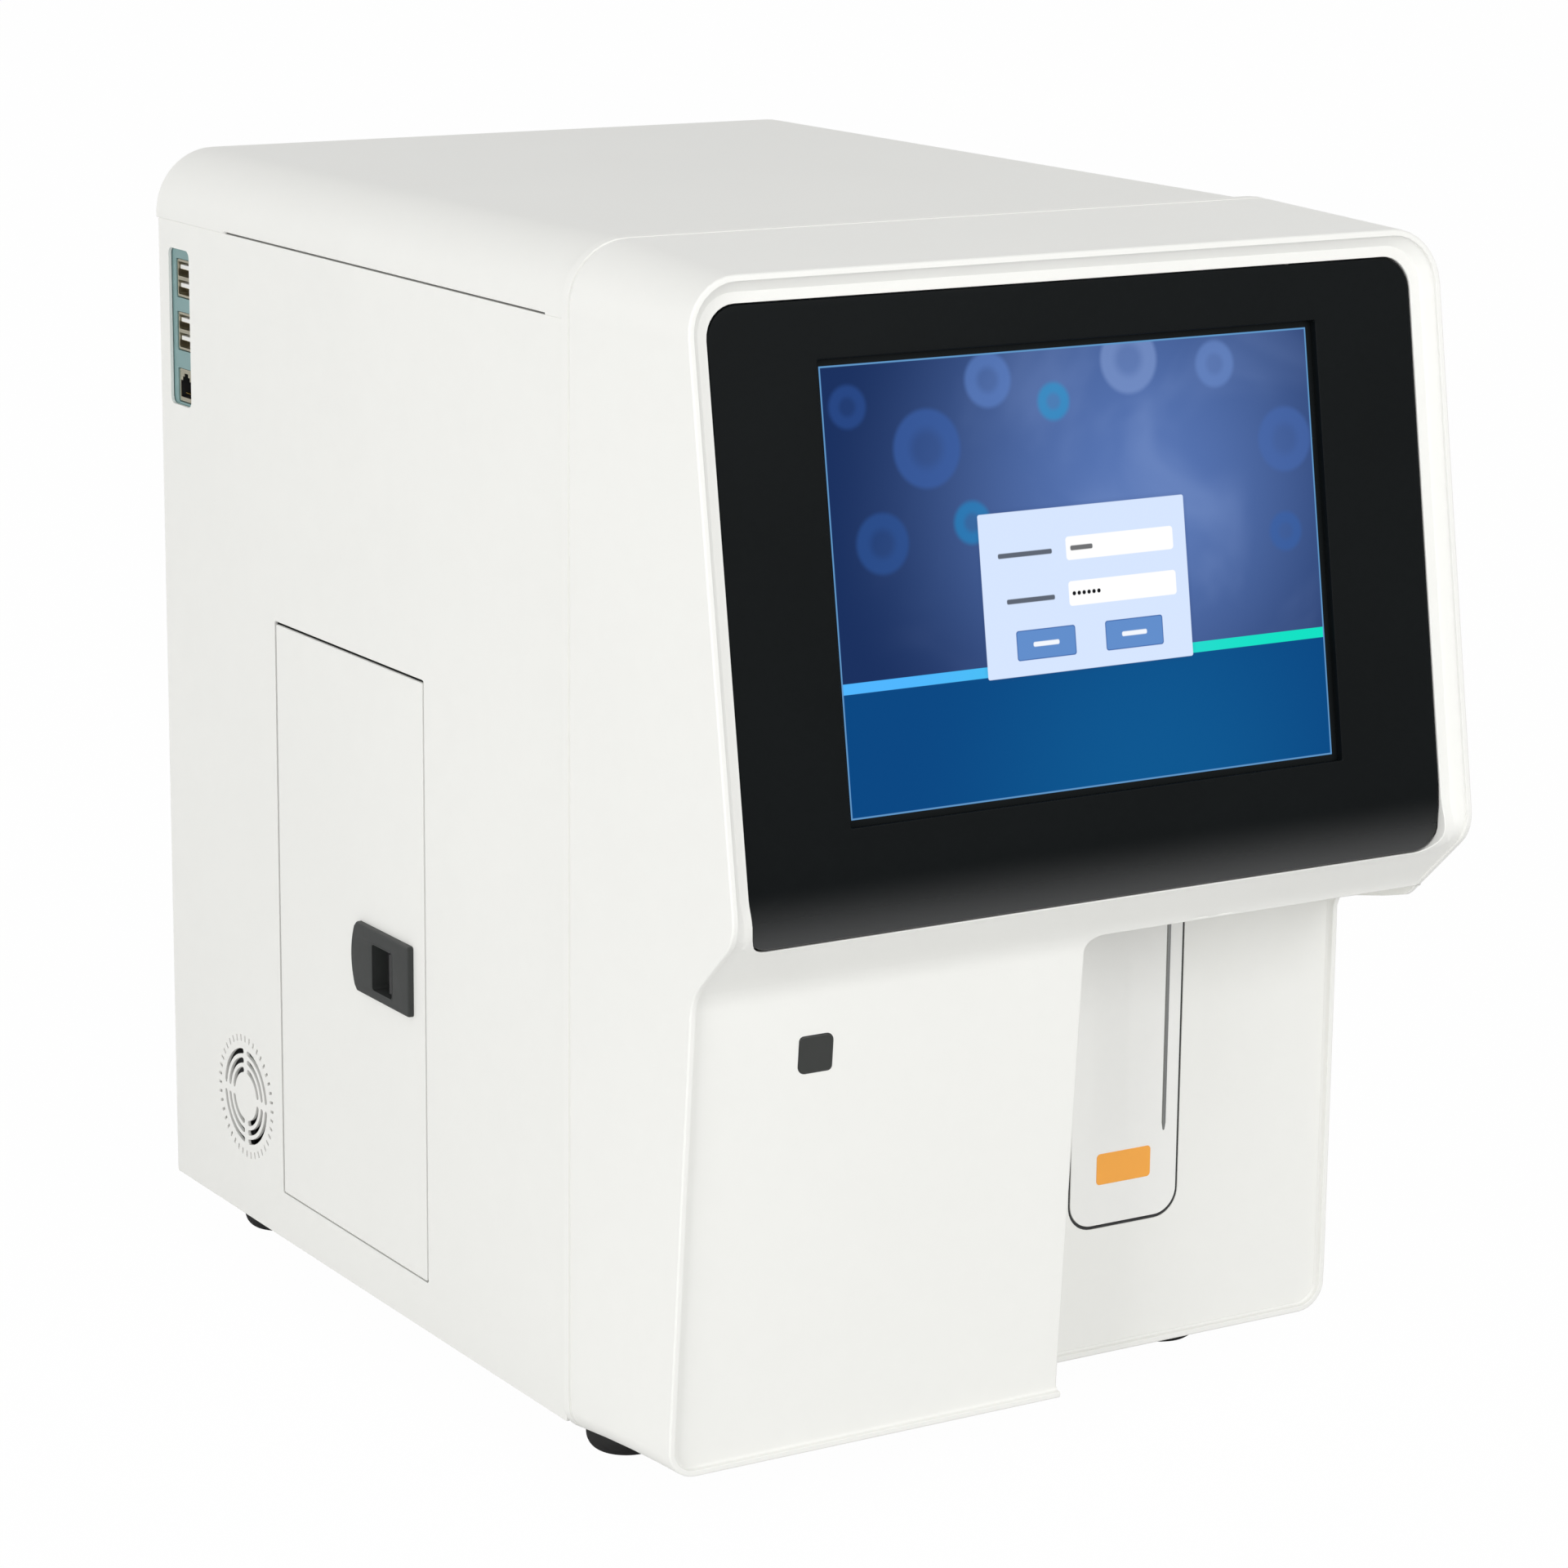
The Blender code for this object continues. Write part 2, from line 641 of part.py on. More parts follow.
def turned(name, profile, origin, sides=ROUND_SIDES):
    """Turn a profile of (radius, height) points, top to bottom, about a vertical line."""
    bm = bmesh.new()
    verts = [bm.verts.new((radius, 0, height)) for radius, height in profile]
    for first, second in zip(verts, verts[1:]):
        bm.edges.new((first, second))
    mesh = bpy.data.meshes.new(name)
    bm.to_mesh(mesh)
    bm.free()
    item = bpy.data.objects.new(name, mesh)
    item.location = origin
    item.hide_render = True
    item.display_type = "WIRE"
    CUTTERS.objects.link(item)
    screw = item.modifiers.new("turn", "SCREW")
    screw.steps = sides
    screw.render_steps = sides
    screw.use_merge_vertices = True
    screw.merge_threshold = FIT_GAP / 10
    return item


def combine(item, operation, others):
    """Give an object one exact Boolean for each of the others."""
    for other in others:
        step = item.modifiers.new(operation.lower(), "BOOLEAN")
        step.operation = operation
        step.solver = "EXACT"
        step.object = other
    return item


def cut(item, *others):
    """Take other solids out of an object."""
    return combine(item, "DIFFERENCE", others)


def join(item, *others):
    """Fuse other solids to an object."""
    return combine(item, "UNION", others)


def common(item, *others):
    """Keep what an object shares with other solids."""
    return combine(item, "INTERSECT", others)


def gathered(name, items):
    """One mesh that holds several solids that lie apart."""
    bm = bmesh.new()
    bpy.context.view_layer.update()
    graph = bpy.context.evaluated_depsgraph_get()
    for item in items:
        seen = item.evaluated_get(graph)
        mesh = bpy.data.meshes.new_from_object(seen)
        mesh.transform(item.matrix_world)
        bm.from_mesh(mesh)
        bpy.data.meshes.remove(mesh)
    for item in items:
        bpy.data.objects.remove(item, do_unlink=True)
    return add_mesh(name, bm)


def part(item, finish, origin=None):
    """Make an object a part: its own finish, its own collection and, if given, its origin."""
    colour, roughness, metallic = FINISHES[finish]
    CUTTERS.objects.unlink(item)
    PARTS.objects.link(item)
    item.hide_render = False
    item.display_type = "TEXTURED"
    material = bpy.data.materials.new(item.name + "_finish")
    material.use_nodes = True
    shader = material.node_tree.nodes["Principled BSDF"]
    shader.inputs["Base Color"].default_value = (*colour, 1)
    shader.inputs["Roughness"].default_value = roughness
    shader.inputs["Metallic"].default_value = metallic
    material.diffuse_color = (*colour, 1)
    item.data.materials.clear()
    item.data.materials.append(material)
    if origin is not None:
        move_origin(item, Vector(origin))
    return item


def move_origin(item, point):
    """Put an object's origin at a world point and leave its shape where it is."""
    bpy.context.view_layer.update()
    shift = item.matrix_world.inverted() @ point
    item.data.transform(Matrix.Translation(-shift))
    item.location = point


def smooth(item, degrees=35):
    """Shade round faces smooth and keep edges past the given angle sharp."""
    item.data.shade_smooth()
    item.data.set_sharp_from_angle(angle=math.radians(degrees))
    return item


def screen_axes():
    """Axes of the leaning screen: across, up the slope and out of the glass."""
    lean = math.sin(SCREEN_LEAN), math.cos(SCREEN_LEAN)
    return Matrix(((1, 0, 0), (0, lean[0], -lean[1]), (0, lean[1], lean[0])))


def screen_origin():
    """Point on the lip's plane, in front of the top edge of the lit area."""
    return Vector((0, NOSE_Y + (ACTIVE_TOP_Z - NOSE_Z) * SCREEN_SLOPE_SHARE, ACTIVE_TOP_Z))


def screen_slab(name, left, right, low, high, back, front, radii=(0, 0, 0, 0)):
    """Rounded slab in the screen's own axes: across, up the slope and out."""
    outline = rectangle(left, right, low, high, radii)
    return prism(name, outline, screen_axes(), back, front, screen_origin())


def lip_corners():
    """Side outline of the cover's lip over the block, as corners that turn left."""
    reach = BODY_TOP + OVERRUN
    low = -OVERRUN
    top_front = NOSE_Y + (reach - NOSE_Z) * SCREEN_SLOPE_SHARE
    foot_front = THROAT_Y + (THROAT_Z - low) * math.tan(BLOCK_LEAN)
    rear = CABINET_FRONT + OVERRUN
    return [(rear, reach), (top_front, reach), (NOSE_Y, NOSE_Z), (THROAT_Y, THROAT_Z),
            (foot_front, low), (rear, low)]


def side_outline(screen, chin, block):
    """Side outline moved in by its own distance at the screen, the chin and the block."""
    corners = shifted(lip_corners(), (0, screen, chin, block, 0, 0))
    throat = THROAT_RADIUS + block
    nose = max(NOSE_RADIUS - screen, NOSE_RADIUS / 2)
    return rounded(corners, (0, 0, nose, throat, 0, 0))


def cover_section(y, inset):
    """Outline of the front cover seen from the front, at one distance along the machine."""
    forward = COVER_REAR - y
    share = forward / (COVER_REAR - CHEEK_FRONT_Y)
    half = COVER_HALF - inset
    low = CABINET_BOTTOM + COVER_BOTTOM_RISE_SHARE * forward + inset
    high = COVER_TOP - COVER_TOP_FALL_SHARE * forward - inset
    bottom = COVER_BOTTOM_RADIUS + (COVER_BOTTOM_RADIUS_FRONT - COVER_BOTTOM_RADIUS) * share
    top = COVER_TOP_RADIUS + (COVER_TOP_RADIUS_FRONT - COVER_TOP_RADIUS) * share
    bottom = bottom - inset
    top = top - inset
    outline = rectangle(-half, half, low, high, (bottom, bottom, top, top))
    return [(point.x, y, point.y) for point in outline]


def cover_loft(name, inset, rear):
    """Solid that the cover's outline fills, from a rear plane to past its nose."""
    front = NOSE_Y - OVERRUN
    return loft(name, (cover_section(rear, inset), cover_section(front, inset)))


def bay_outline(grow):
    """Outline of the sampling bay seen from the front, wider by a wall where asked."""
    top = BAY_CEILING + grow
    right = COVER_HALF - COVER_WALL
    low = -OVERRUN
    fall = (BAY_LEFT_BOTTOM - BAY_LEFT_TOP) / (BAY_CEILING - CABINET_BOTTOM)
    low_left = BAY_LEFT_BOTTOM + fall * (CABINET_BOTTOM - low) - grow
    corners = ((low_left, low), (right, low), (right, top), (BAY_LEFT_TOP - grow, top))
    return rounded(corners, (0, 0, 0, BAY_CORNER_RADIUS))


def cheek_cutter():
    """Solid that frees the right cheek's lower edge and the bay's outer wall."""
    chin_y = THROAT_Y - THROAT_RADIUS
    chin_z = THROAT_Z + THROAT_RADIUS * CHIN_SLOPE_SHARE
    corner_z = THROAT_Z - (CHEEK_FRONT_Y - THROAT_Y) * CHIN_SLOPE_SHARE
    rear_z = corner_z - (CHEEK_REAR_Y - CHEEK_FRONT_Y) * CHEEK_FALL_SHARE
    front = NOSE_Y - OVERRUN
    corners = ((CHEEK_REAR_Y, -OVERRUN), (CHEEK_REAR_Y, rear_z), (CHEEK_FRONT_Y, corner_z),
               (chin_y, chin_z), (front, chin_z), (front, -OVERRUN))
    outline = rounded(corners, (0, CHEEK_REAR_RADIUS, CHEEK_FRONT_RADIUS, 0, 0, 0))
    inner = COVER_HALF - COVER_WALL - FIT_GAP
    return prism("cheek_cutter", outline, ALONG_X, inner, COVER_HALF + OVERRUN)


def bezel_extent():
    """Left, right, lowest and highest edge of the bezel in the screen's axes."""
    left = -BEZEL_WIDTH / 2
    straight = -ACTIVE_HEIGHT - BEZEL_STRAIGHT_BELOW
    angle = BEZEL_ROLL_LENGTH / BEZEL_ROLL_RADIUS
    low = straight - BEZEL_ROLL_RADIUS * math.sin(angle)
    return left, left + BEZEL_WIDTH, low, BEZEL_TOP_MARGIN


def lean_place(z, x):
    """Axes and point on the inset block face, at one height."""
    lean = math.sin(BLOCK_LEAN), math.cos(BLOCK_LEAN)
    axes = Matrix(((1, 0, 0), (0, -lean[0], -lean[1]), (0, lean[1], -lean[0])))
    y = THROAT_Y + (THROAT_Z - z) * math.tan(BLOCK_LEAN) + BLOCK_INSET / lean[1]
    return axes, Vector((x, y, z))


def front_cover():
    """Moulded front: proud lip, leaning screen face, sample block and open bay."""
    cover = cover_loft("front_cover", 0, COVER_REAR)
    across = COVER_HALF + OVERRUN
    lip = prism("cover_lip_profile", side_outline(0, 0, 0), ALONG_X, -across, across)
    bay = prism("bay_cutter", bay_outline(0), ALONG_Y, -BAY_BACK, -NOSE_Y + OVERRUN)
    common(cover, lip)
    cut(cover, bay, cheek_cutter())

    face = cover_loft("face_cutter", COVER_WALL, COVER_REAR)
    skin_outline = side_outline(SCREEN_INSET, CHIN_INSET, BLOCK_INSET)
    cut(face, prism("skin_profile", skin_outline, ALONG_X, -across, across))
    cut(cover, face)

    hollow = cover_loft("cover_hollow", COVER_WALL, COVER_REAR + OVERRUN)
    inner = side_outline(SCREEN_INSET + SKIN, CHIN_INSET + SKIN, BLOCK_INSET + SKIN)
    common(hollow, prism("inner_profile", inner, ALONG_X, -across, across))
    wall_back = BAY_BACK + COVER_WALL
    cut(hollow, prism("bay_wall", bay_outline(COVER_WALL), ALONG_Y, -wall_back,
                      OVERRUN - NOSE_Y))
    cut(cover, hollow)

    bosses = []
    for side in (-1, 1):
        for z in (CABINET_BOTTOM + FRAME_BORDER / 2, BODY_TOP - FRAME_BORDER / 2):
            x = side * (INNER_HALF - BOSS_INSET)
            reach = COVER_WALL * 2
            outer = z + math.copysign(FRAME_BORDER / 2, z - FRAME_BAR_Z)
            rear = BOSS_REAR
            low = (x - BOSS_RADIUS, rear - BOSS_INSET, min(z, outer) - reach)
            high = (x + BOSS_RADIUS, rear, max(z, outer) + reach)
            bosses.append(common(box("boss", low, high), cover_loft("boss_trim", FIT_GAP, 0)))
    join(cover, *bosses)

    left, right, low, high = bezel_extent()
    gap = FIT_GAP * 2
    radii = (BEZEL_BOTTOM_RADIUS, BEZEL_BOTTOM_RADIUS, BEZEL_TOP_RADIUS, BEZEL_TOP_RADIUS)
    cut(cover, screen_slab("bezel_opening", left - gap, right + gap, low - gap, high + gap,
                           -BEZEL_DEPTH * 4, BEZEL_DEPTH * 4, radii))
    cut(cover, key_opening(), probe_slot())
    axes, point = lean_place(LAMP_Z, LAMP_X)
    half = LAMP_SIZE / 2 + FIT_GAP
    hole = rectangle(-half, half, -half, half, LAMP_RADII)
    cut(cover, prism("lamp_hole", hole, axes, -LAMP_DEPTH * 2, LAMP_DEPTH, point))
    return part(cover, "cover_white")


def key_outline(grow):
    """Outline of the start key seen from the front: rounded foot and a wider head."""
    left = KEY_LEFT - grow
    right = KEY_RIGHT + grow
    head = KEY_GAP - KEY_TOP_GAP
    low = KEY_BOTTOM - grow
    shoulder = KEY_SLOT_TOP
    top = KEY_TOP
    if grow > 0:
        head = KEY_GAP - grow
        top = KEY_TOP + KEY_TOP_GAP
    widened = shoulder + KEY_GAP
    corners = ((left, low), (right, low), (right, shoulder), (right + head, widened),
               (right + head, top), (left - head, top), (left - head, widened), (left, shoulder))
    return rounded(corners, (KEY_CORNER + grow, KEY_CORNER + grow, 0, 0, 0, 0, 0, 0))


def key_opening():
    """Cutter for the hole that the start key lies in."""
    rear = BAY_BACK + COVER_WALL + OVERRUN
    return prism("key_opening", key_outline(KEY_GAP), ALONG_Y, -rear, -BAY_BACK + OVERRUN)


def probe_slot():
    """Cutter for the slot in the bay's ceiling that the probe comes through."""
    half = PROBE_SLOT_HALF
    outline = rectangle(PROBE_X - half, PROBE_X + half, PROBE_Y - PROBE_SLOT_FRONT,
                        PROBE_Y + PROBE_SLOT_REAR, (half, half, half, half))
    return prism("probe_slot", outline, ALONG_Z, BAY_CEILING - OVERRUN, BAY_CEILING + OVERRUN)


def display():
    """Bezel, touch glass, screen module and the pan that holds them to the cover."""
    left, right, low, high = bezel_extent()
    origin = screen_origin()
    axes = screen_axes()
    straight = -ACTIVE_HEIGHT - BEZEL_STRAIGHT_BELOW
    angle = BEZEL_ROLL_LENGTH / BEZEL_ROLL_RADIUS
    front, back = [], []
    for step in range(ARC_STEPS + 1):
        turn = angle * step / ARC_STEPS
        for line, radius in ((front, BEZEL_ROLL_RADIUS), (back, BEZEL_ROLL_RADIUS - BEZEL_THICKNESS)):
            drop = straight - radius * math.sin(turn)
            depth = -BEZEL_DEPTH - BEZEL_ROLL_RADIUS + radius * math.cos(turn)
            line.append((drop, depth))
    front_top = (high, -BEZEL_DEPTH)
    back_top = (high, -BEZEL_DEPTH - BEZEL_THICKNESS)
    outline = [back_top, *back, *reversed(front), front_top]
    side_axes = axes @ ALONG_X
    bezel = prism("display_bezel", outline, side_axes, left, right, origin)
    radii = (BEZEL_BOTTOM_RADIUS, BEZEL_BOTTOM_RADIUS, BEZEL_TOP_RADIUS, BEZEL_TOP_RADIUS)
    common(bezel, screen_slab("bezel_outline", left, right, low - FIT_GAP, high + FIT_GAP,
                              -BEZEL_DEPTH * 4, 0, radii))
    half = ACTIVE_WIDTH / 2
    middle = ACTIVE_CENTRE_X
    margin = WINDOW_MARGIN
    cut(bezel, screen_slab("bezel_window", middle - half - margin, middle + half + margin,
                           -ACTIVE_HEIGHT - margin, margin, -BEZEL_DEPTH * 4, 0))
    part(bezel, "bezel_black")

    glass_front = -BEZEL_DEPTH - BEZEL_THICKNESS - FIT_GAP
    glass_back = glass_front - GLASS_THICKNESS
    margin = GLASS_MARGIN
    part(screen_slab("touch_glass", middle - half - margin, middle + half + margin,
                     -ACTIVE_HEIGHT - margin, margin, glass_back, glass_front), "screen_glass")
    lcd_front = glass_back - FIT_GAP
    lcd_back = lcd_front - LCD_THICKNESS
    margin = LCD_MARGIN
    part(screen_slab("lcd_module", middle - half - margin, middle + half + margin,
                     -ACTIVE_HEIGHT - margin, margin, lcd_back, lcd_front), "zinc_steel")

    margin = LCD_MARGIN + PAN_SIDE_GAP
    pan_back = lcd_back - FIT_GAP - SHEET
    inner = (middle - half - margin, middle + half + margin, -ACTIVE_HEIGHT - margin, margin)
    pan_left = inner[0] - SHEET
    pan_right = inner[1] + SHEET
    flange = PAN_FLANGE
    pan = screen_slab("screen_pan", pan_left, pan_right, inner[2] - SHEET, inner[3] + SHEET,
                      pan_back, glass_front)
    reach = COVER_HALF - COVER_WALL - FIT_GAP
    for name, start, end in (("pan_left_flange", -reach, pan_left + SHEET),
                             ("pan_right_flange", pan_right - SHEET, reach)):
        join(pan, screen_slab(name, start, end, inner[2] + flange, inner[3] - flange,
                              glass_front - SHEET, glass_front))
    cut(pan, screen_slab("pan_hollow", *inner, pan_back + SHEET, 0))
    part(pan, "zinc_steel")


def status_lamp():
    """Small square lamp window in the block face, with a flange behind the skin."""
    axes, point = lean_place(LAMP_Z, LAMP_X)
    half = LAMP_SIZE / 2
    lens = prism("status_lamp_lens", rectangle(-half, half, -half, half, LAMP_RADII), axes,
                 LAMP_PROUD - LAMP_DEPTH, LAMP_PROUD, point)
    half += LAMP_FLANGE
    front = -SKIN - FIT_GAP
    flange = rectangle(-half, half, -half, half, (0, 0, 0, 0))
    join(lens, prism("lamp_flange", flange, axes, front - BOARD_THICKNESS, front, point))
    part(lens, "black_plastic")


def inner_outline():
    """Outline of the front frame and the rear panel, under the top cover's arch."""
    radius = TOP_CORNER_RADIUS - SHEET - FIT_GAP
    top = BODY_TOP - SHEET - FIT_GAP
    return rectangle(-INNER_HALF, INNER_HALF, CABINET_BOTTOM, top, (0, 0, radius, radius))


def chassis():
    """Base tray, front frame and rear panel."""
    front = FRAME_FRONT + SHEET + FIT_GAP
    rear = CABINET_REAR - SHEET - FIT_GAP
    base = box("base_tray", (-INNER_HALF, front, CABINET_BOTTOM),
               (INNER_HALF, rear, CABINET_BOTTOM + FLANGE_DEPTH))
    cut(base, box("base_hollow", (-INNER_HALF + SHEET, front + SHEET, BASE_TOP),
                  (INNER_HALF - SHEET, rear - SHEET, BASE_TOP + FLANGE_DEPTH)))
    part(base, "zinc_steel")

    border = FRAME_BORDER
    edge = INNER_HALF - border
    middle = BODY_TOP - border
    lower = rectangle(-edge, edge, FRAME_SILL, FRAME_BAR_Z, (0, 0, 0, 0))
    upper = rectangle(-edge, edge, FRAME_BAR_Z + FRAME_BAR, middle, (0, 0, 0, 0))
    frame = prism("front_frame", inner_outline(), ALONG_Y, -FRAME_FRONT - SHEET, -FRAME_FRONT,
                  holes=(lower, upper))
    part(frame, "zinc_steel")

    panel = prism("rear_panel", inner_outline(), ALONG_Y, -CABINET_REAR, SHEET - CABINET_REAR)
    cut(panel, grille_cutter("rear_fan_grille_cutter", ALONG_Y, REAR_GRILLE_RADII,
                             REAR_GRILLE_SLOT, REAR_GRILLE_SPOKE,
                             Vector((REAR_FAN_X, CABINET_REAR, REAR_FAN_Z))))
    cut(panel, *rear_panel_holes())
    part(panel, "panel_white")


def rear_panel_holes():
    """Cutters for the power inlet and the hose fittings."""
    start = CABINET_REAR - OVERRUN
    end = CABINET_REAR + OVERRUN
    half_width = INLET_FLANGE_WIDTH / 2 - INLET_FLANGE_THICKNESS * 2 + FIT_GAP
    half_height = INLET_FLANGE_HEIGHT / 2 - INLET_FLANGE_THICKNESS + FIT_GAP
    cutters = [box("inlet_hole", (INLET_X - half_width, start, INLET_Z - half_height),
                   (INLET_X + half_width, end, INLET_Z + half_height))]
    for x in FITTING_X:
        cutters.append(rod("fitting_hole", (x, start, FITTING_Z), (x, end, FITTING_Z),
                           FITTING_THREAD_RADIUS + FIT_GAP, SMALL_SIDES))
    return cutters


def ring_sector(inner, outer, start, end):
    """Points of a ring sector between two angles."""
    steps = ARC_STEPS
    points = []
    for radius, first, last in ((outer, start, end), (inner, end, start)):
        for step in range(steps + 1):
            angle = first + (last - first) * step / steps
            points.append((radius * math.cos(angle), radius * math.sin(angle)))
    return points


def grille_cutter(name, axes, radii, width, spoke, centre):
    """Curved slots in rings about a point, parted by four spokes."""
    slots = []
    for radius in radii:
        half = math.asin(spoke / 2 / radius)
        for quarter in range(4):
            start = quarter * math.pi / 2 + half
            end = (quarter + 1) * math.pi / 2 - half
            outline = ring_sector(radius - width / 2, radius + width / 2, start, end)
            slots.append(prism("slot", outline, axes, -OVERRUN, OVERRUN, centre))
    return gathered(name, slots)


def dash_cutter():
    """Short radial slots in a ring round the side fan's grille."""
    centre = Vector((-HALF_WIDTH, SIDE_FAN_Y, SIDE_FAN_Z))
    dashes = []
    for index in range(DASH_COUNT):
        angle = math.pi * (2 * index + 1) / DASH_COUNT
        dash = box("dash", (-OVERRUN, -DASH_LENGTH / 2, -DASH_WIDTH / 2),
                   (OVERRUN, DASH_LENGTH / 2, DASH_WIDTH / 2))
        turn = Matrix.Rotation(angle, 4, "X")
        reach = Matrix.Translation((0, DASH_RADIUS, 0))
        dash.matrix_world = Matrix.Translation(centre) @ turn @ reach
        dashes.append(dash)
    return gathered("dash_cutter", dashes)


def side_panels():
    """Left panel with door opening, port slot and grille, and the vented right panel."""
    for side, name in ((-1, "left_side_panel"), (1, "right_side_panel")):
        outer = side * HALF_WIDTH
        inner = side * PANEL_INNER
        low = (min(outer, inner), CABINET_FRONT, CABINET_BOTTOM)
        high = (max(outer, inner), CABINET_REAR, PANEL_TOP)
        panel = box(name, low, high)
        fold = side * (PANEL_INNER - FLANGE_DEPTH)
        front = FRAME_FRONT + SHEET + FIT_GAP
        rear = CABINET_REAR - SHEET - FIT_GAP
        join(panel, box("panel_fold", (min(outer, fold), front, PANEL_TOP - SHEET),
                        (max(outer, fold), rear, PANEL_TOP)))
        reach = side * (HALF_WIDTH + OVERRUN)
        inside = side * (PANEL_INNER - OVERRUN)
        if side < 0:
            cut(panel, box("door_opening", (reach, DOOR_FRONT - DOOR_GAP, DOOR_BOTTOM - DOOR_GAP),
                           (inside, DOOR_REAR + DOOR_GAP, DOOR_TOP + DOOR_GAP)))
            slot = rectangle(SLOT_FRONT, SLOT_REAR, SLOT_BOTTOM, SLOT_TOP, (SLOT_RADIUS,) * 4)
            cut(panel, prism("port_slot", slot, ALONG_X, reach, inside))
            centre = Vector((-HALF_WIDTH, SIDE_FAN_Y, SIDE_FAN_Z))
            cut(panel, grille_cutter("side_grille_cutter", ALONG_X, GRILLE_RADII, GRILLE_SLOT,
                                     GRILLE_SPOKE, centre), dash_cutter())
        else:
            vents = []
            for index in range(VENT_COUNT):
                z = CABINET_BOTTOM + VENT_BOTTOM_INSET + index * VENT_PITCH
                back = CABINET_REAR - VENT_REAR_INSET
                outline = rectangle(back - VENT_LENGTH, back, z, z + VENT_WIDTH,
                                    (VENT_WIDTH * VENT_CORNER_SHARE,) * 4)
                vents.append(prism("vent", outline, ALONG_X, inside, reach))
            cut(panel, gathered("vent_cutter", vents))
        part(panel, "panel_white")


def top_cover():
    """Arched sheet over the cabinet, a little proud of the side panels."""
    half = HALF_WIDTH + TOP_COVER_PROUD
    low = PANEL_TOP + TOP_SEAM_GAP
    radius = TOP_CORNER_RADIUS
    outline = rectangle(-half, half, low, BODY_TOP, (0, 0, radius, radius))
    cover = prism("top_cover", outline, ALONG_Y, -CABINET_REAR, -CABINET_FRONT)
    inner = half - SHEET
    hollow = rectangle(-inner, inner, low - OVERRUN, BODY_TOP - SHEET,
                       (0, 0, radius - SHEET, radius - SHEET))
    cut(cover, prism("top_cover_hollow", hollow, ALONG_Y, -CABINET_REAR - OVERRUN,
                     OVERRUN - CABINET_FRONT))
    for side in (-1, 1):
        inside = side * (half - TOP_CORNER_RADIUS / 2)
        outside = side * (half + OVERRUN)
        cut(cover, box("seam_notch", (min(inside, outside), TOP_NOTCH_FRONT, low - OVERRUN),
                       (max(inside, outside), TOP_NOTCH_REAR, low + TOP_NOTCH_DEPTH)))
    part(cover, "panel_white")


def hinge_axis():
    """Point of the door's hinge line, at the foot of the door."""
    return Vector((HINGE_INSET_X - HALF_WIDTH, DOOR_REAR - HINGE_INSET_Y, DOOR_BOTTOM))


def service_door():
    """Folded steel door with its latch hole, bolt hole and hinge pin holes."""
    outside = -HALF_WIDTH
    inside = outside + SHEET + DOOR_FLANGE
    door = box("service_door", (outside, DOOR_FRONT, DOOR_BOTTOM), (inside, DOOR_REAR, DOOR_TOP))
    wall = DOOR_FLANGE_WALL
    cut(door, box("door_hollow", (outside + SHEET, DOOR_FRONT + wall, DOOR_BOTTOM + wall),
                  (inside + OVERRUN, DOOR_REAR - wall, DOOR_TOP - wall)))
    border = LATCH_BORDER - FIT_GAP
    cut(door, box("latch_hole", (outside - OVERRUN, LATCH_FRONT + border, LATCH_BOTTOM + border),
                  (outside + SHEET + FIT_GAP, LATCH_REAR - border, LATCH_TOP - border)))
    slider = slider_faces()
    middle = (WINDOW_BOTTOM + WINDOW_TOP) / 2
    half = BOLT_HEIGHT / 2 + FIT_GAP
    cut(door, box("bolt_hole", (slider[0] - FIT_GAP, DOOR_FRONT - OVERRUN, middle - half),
                  (slider[1] + FIT_GAP, DOOR_FRONT + wall + FIT_GAP, middle + half)))
    axis = hinge_axis()
    for z in (DOOR_BOTTOM, DOOR_TOP):
        cut(door, rod("hinge_hole", (axis.x, axis.y, z - OVERRUN), (axis.x, axis.y, z + OVERRUN),
                      HINGE_HOLE_RADIUS, SMALL_SIDES))
    part(door, "panel_white", axis)


def door_hinge_pins():
    """Two lugs fixed inside the left panel, each with the pin that the door turns on."""
    axis = hinge_axis()
    half = HINGE_LUG_HALF_WIDTH
    for name, z, outward in (("door_hinge_lower", DOOR_BOTTOM, -1),
                             ("door_hinge_upper", DOOR_TOP, 1)):
        near = z + outward * (DOOR_GAP / 2)
        far = near + outward * SHEET
        wall = z + outward * (DOOR_GAP + LINER_CLEAR_HEIGHT / 2)
        left = -PANEL_INNER + FIT_GAP
        lug = box(name, (left, axis.y - half, min(near, far)),
                  (left + HINGE_LUG_DEPTH, axis.y + half, max(near, far)))
        pad_low = min(z + outward * (DOOR_GAP + FIT_GAP), wall)
        pad_high = max(z + outward * (DOOR_GAP + FIT_GAP), wall)
        join(lug, box("hinge_pad", (left, axis.y - half, pad_low),
                      (left + SHEET, axis.y + half, pad_high)))
        tip = z - outward * HINGE_PIN_DEPTH
        join(lug, rod("hinge_pin", (axis.x, axis.y, (near + far) / 2), (axis.x, axis.y, tip),
                      HINGE_PIN_RADIUS, SMALL_SIDES))
        part(lug, "zinc_steel")


def slider_faces():
    """Outer and inner face (x) of the latch's sliding plate."""
    outer = -HALF_WIDTH + LATCH_POCKET
    return outer, outer + SLIDER_THICKNESS


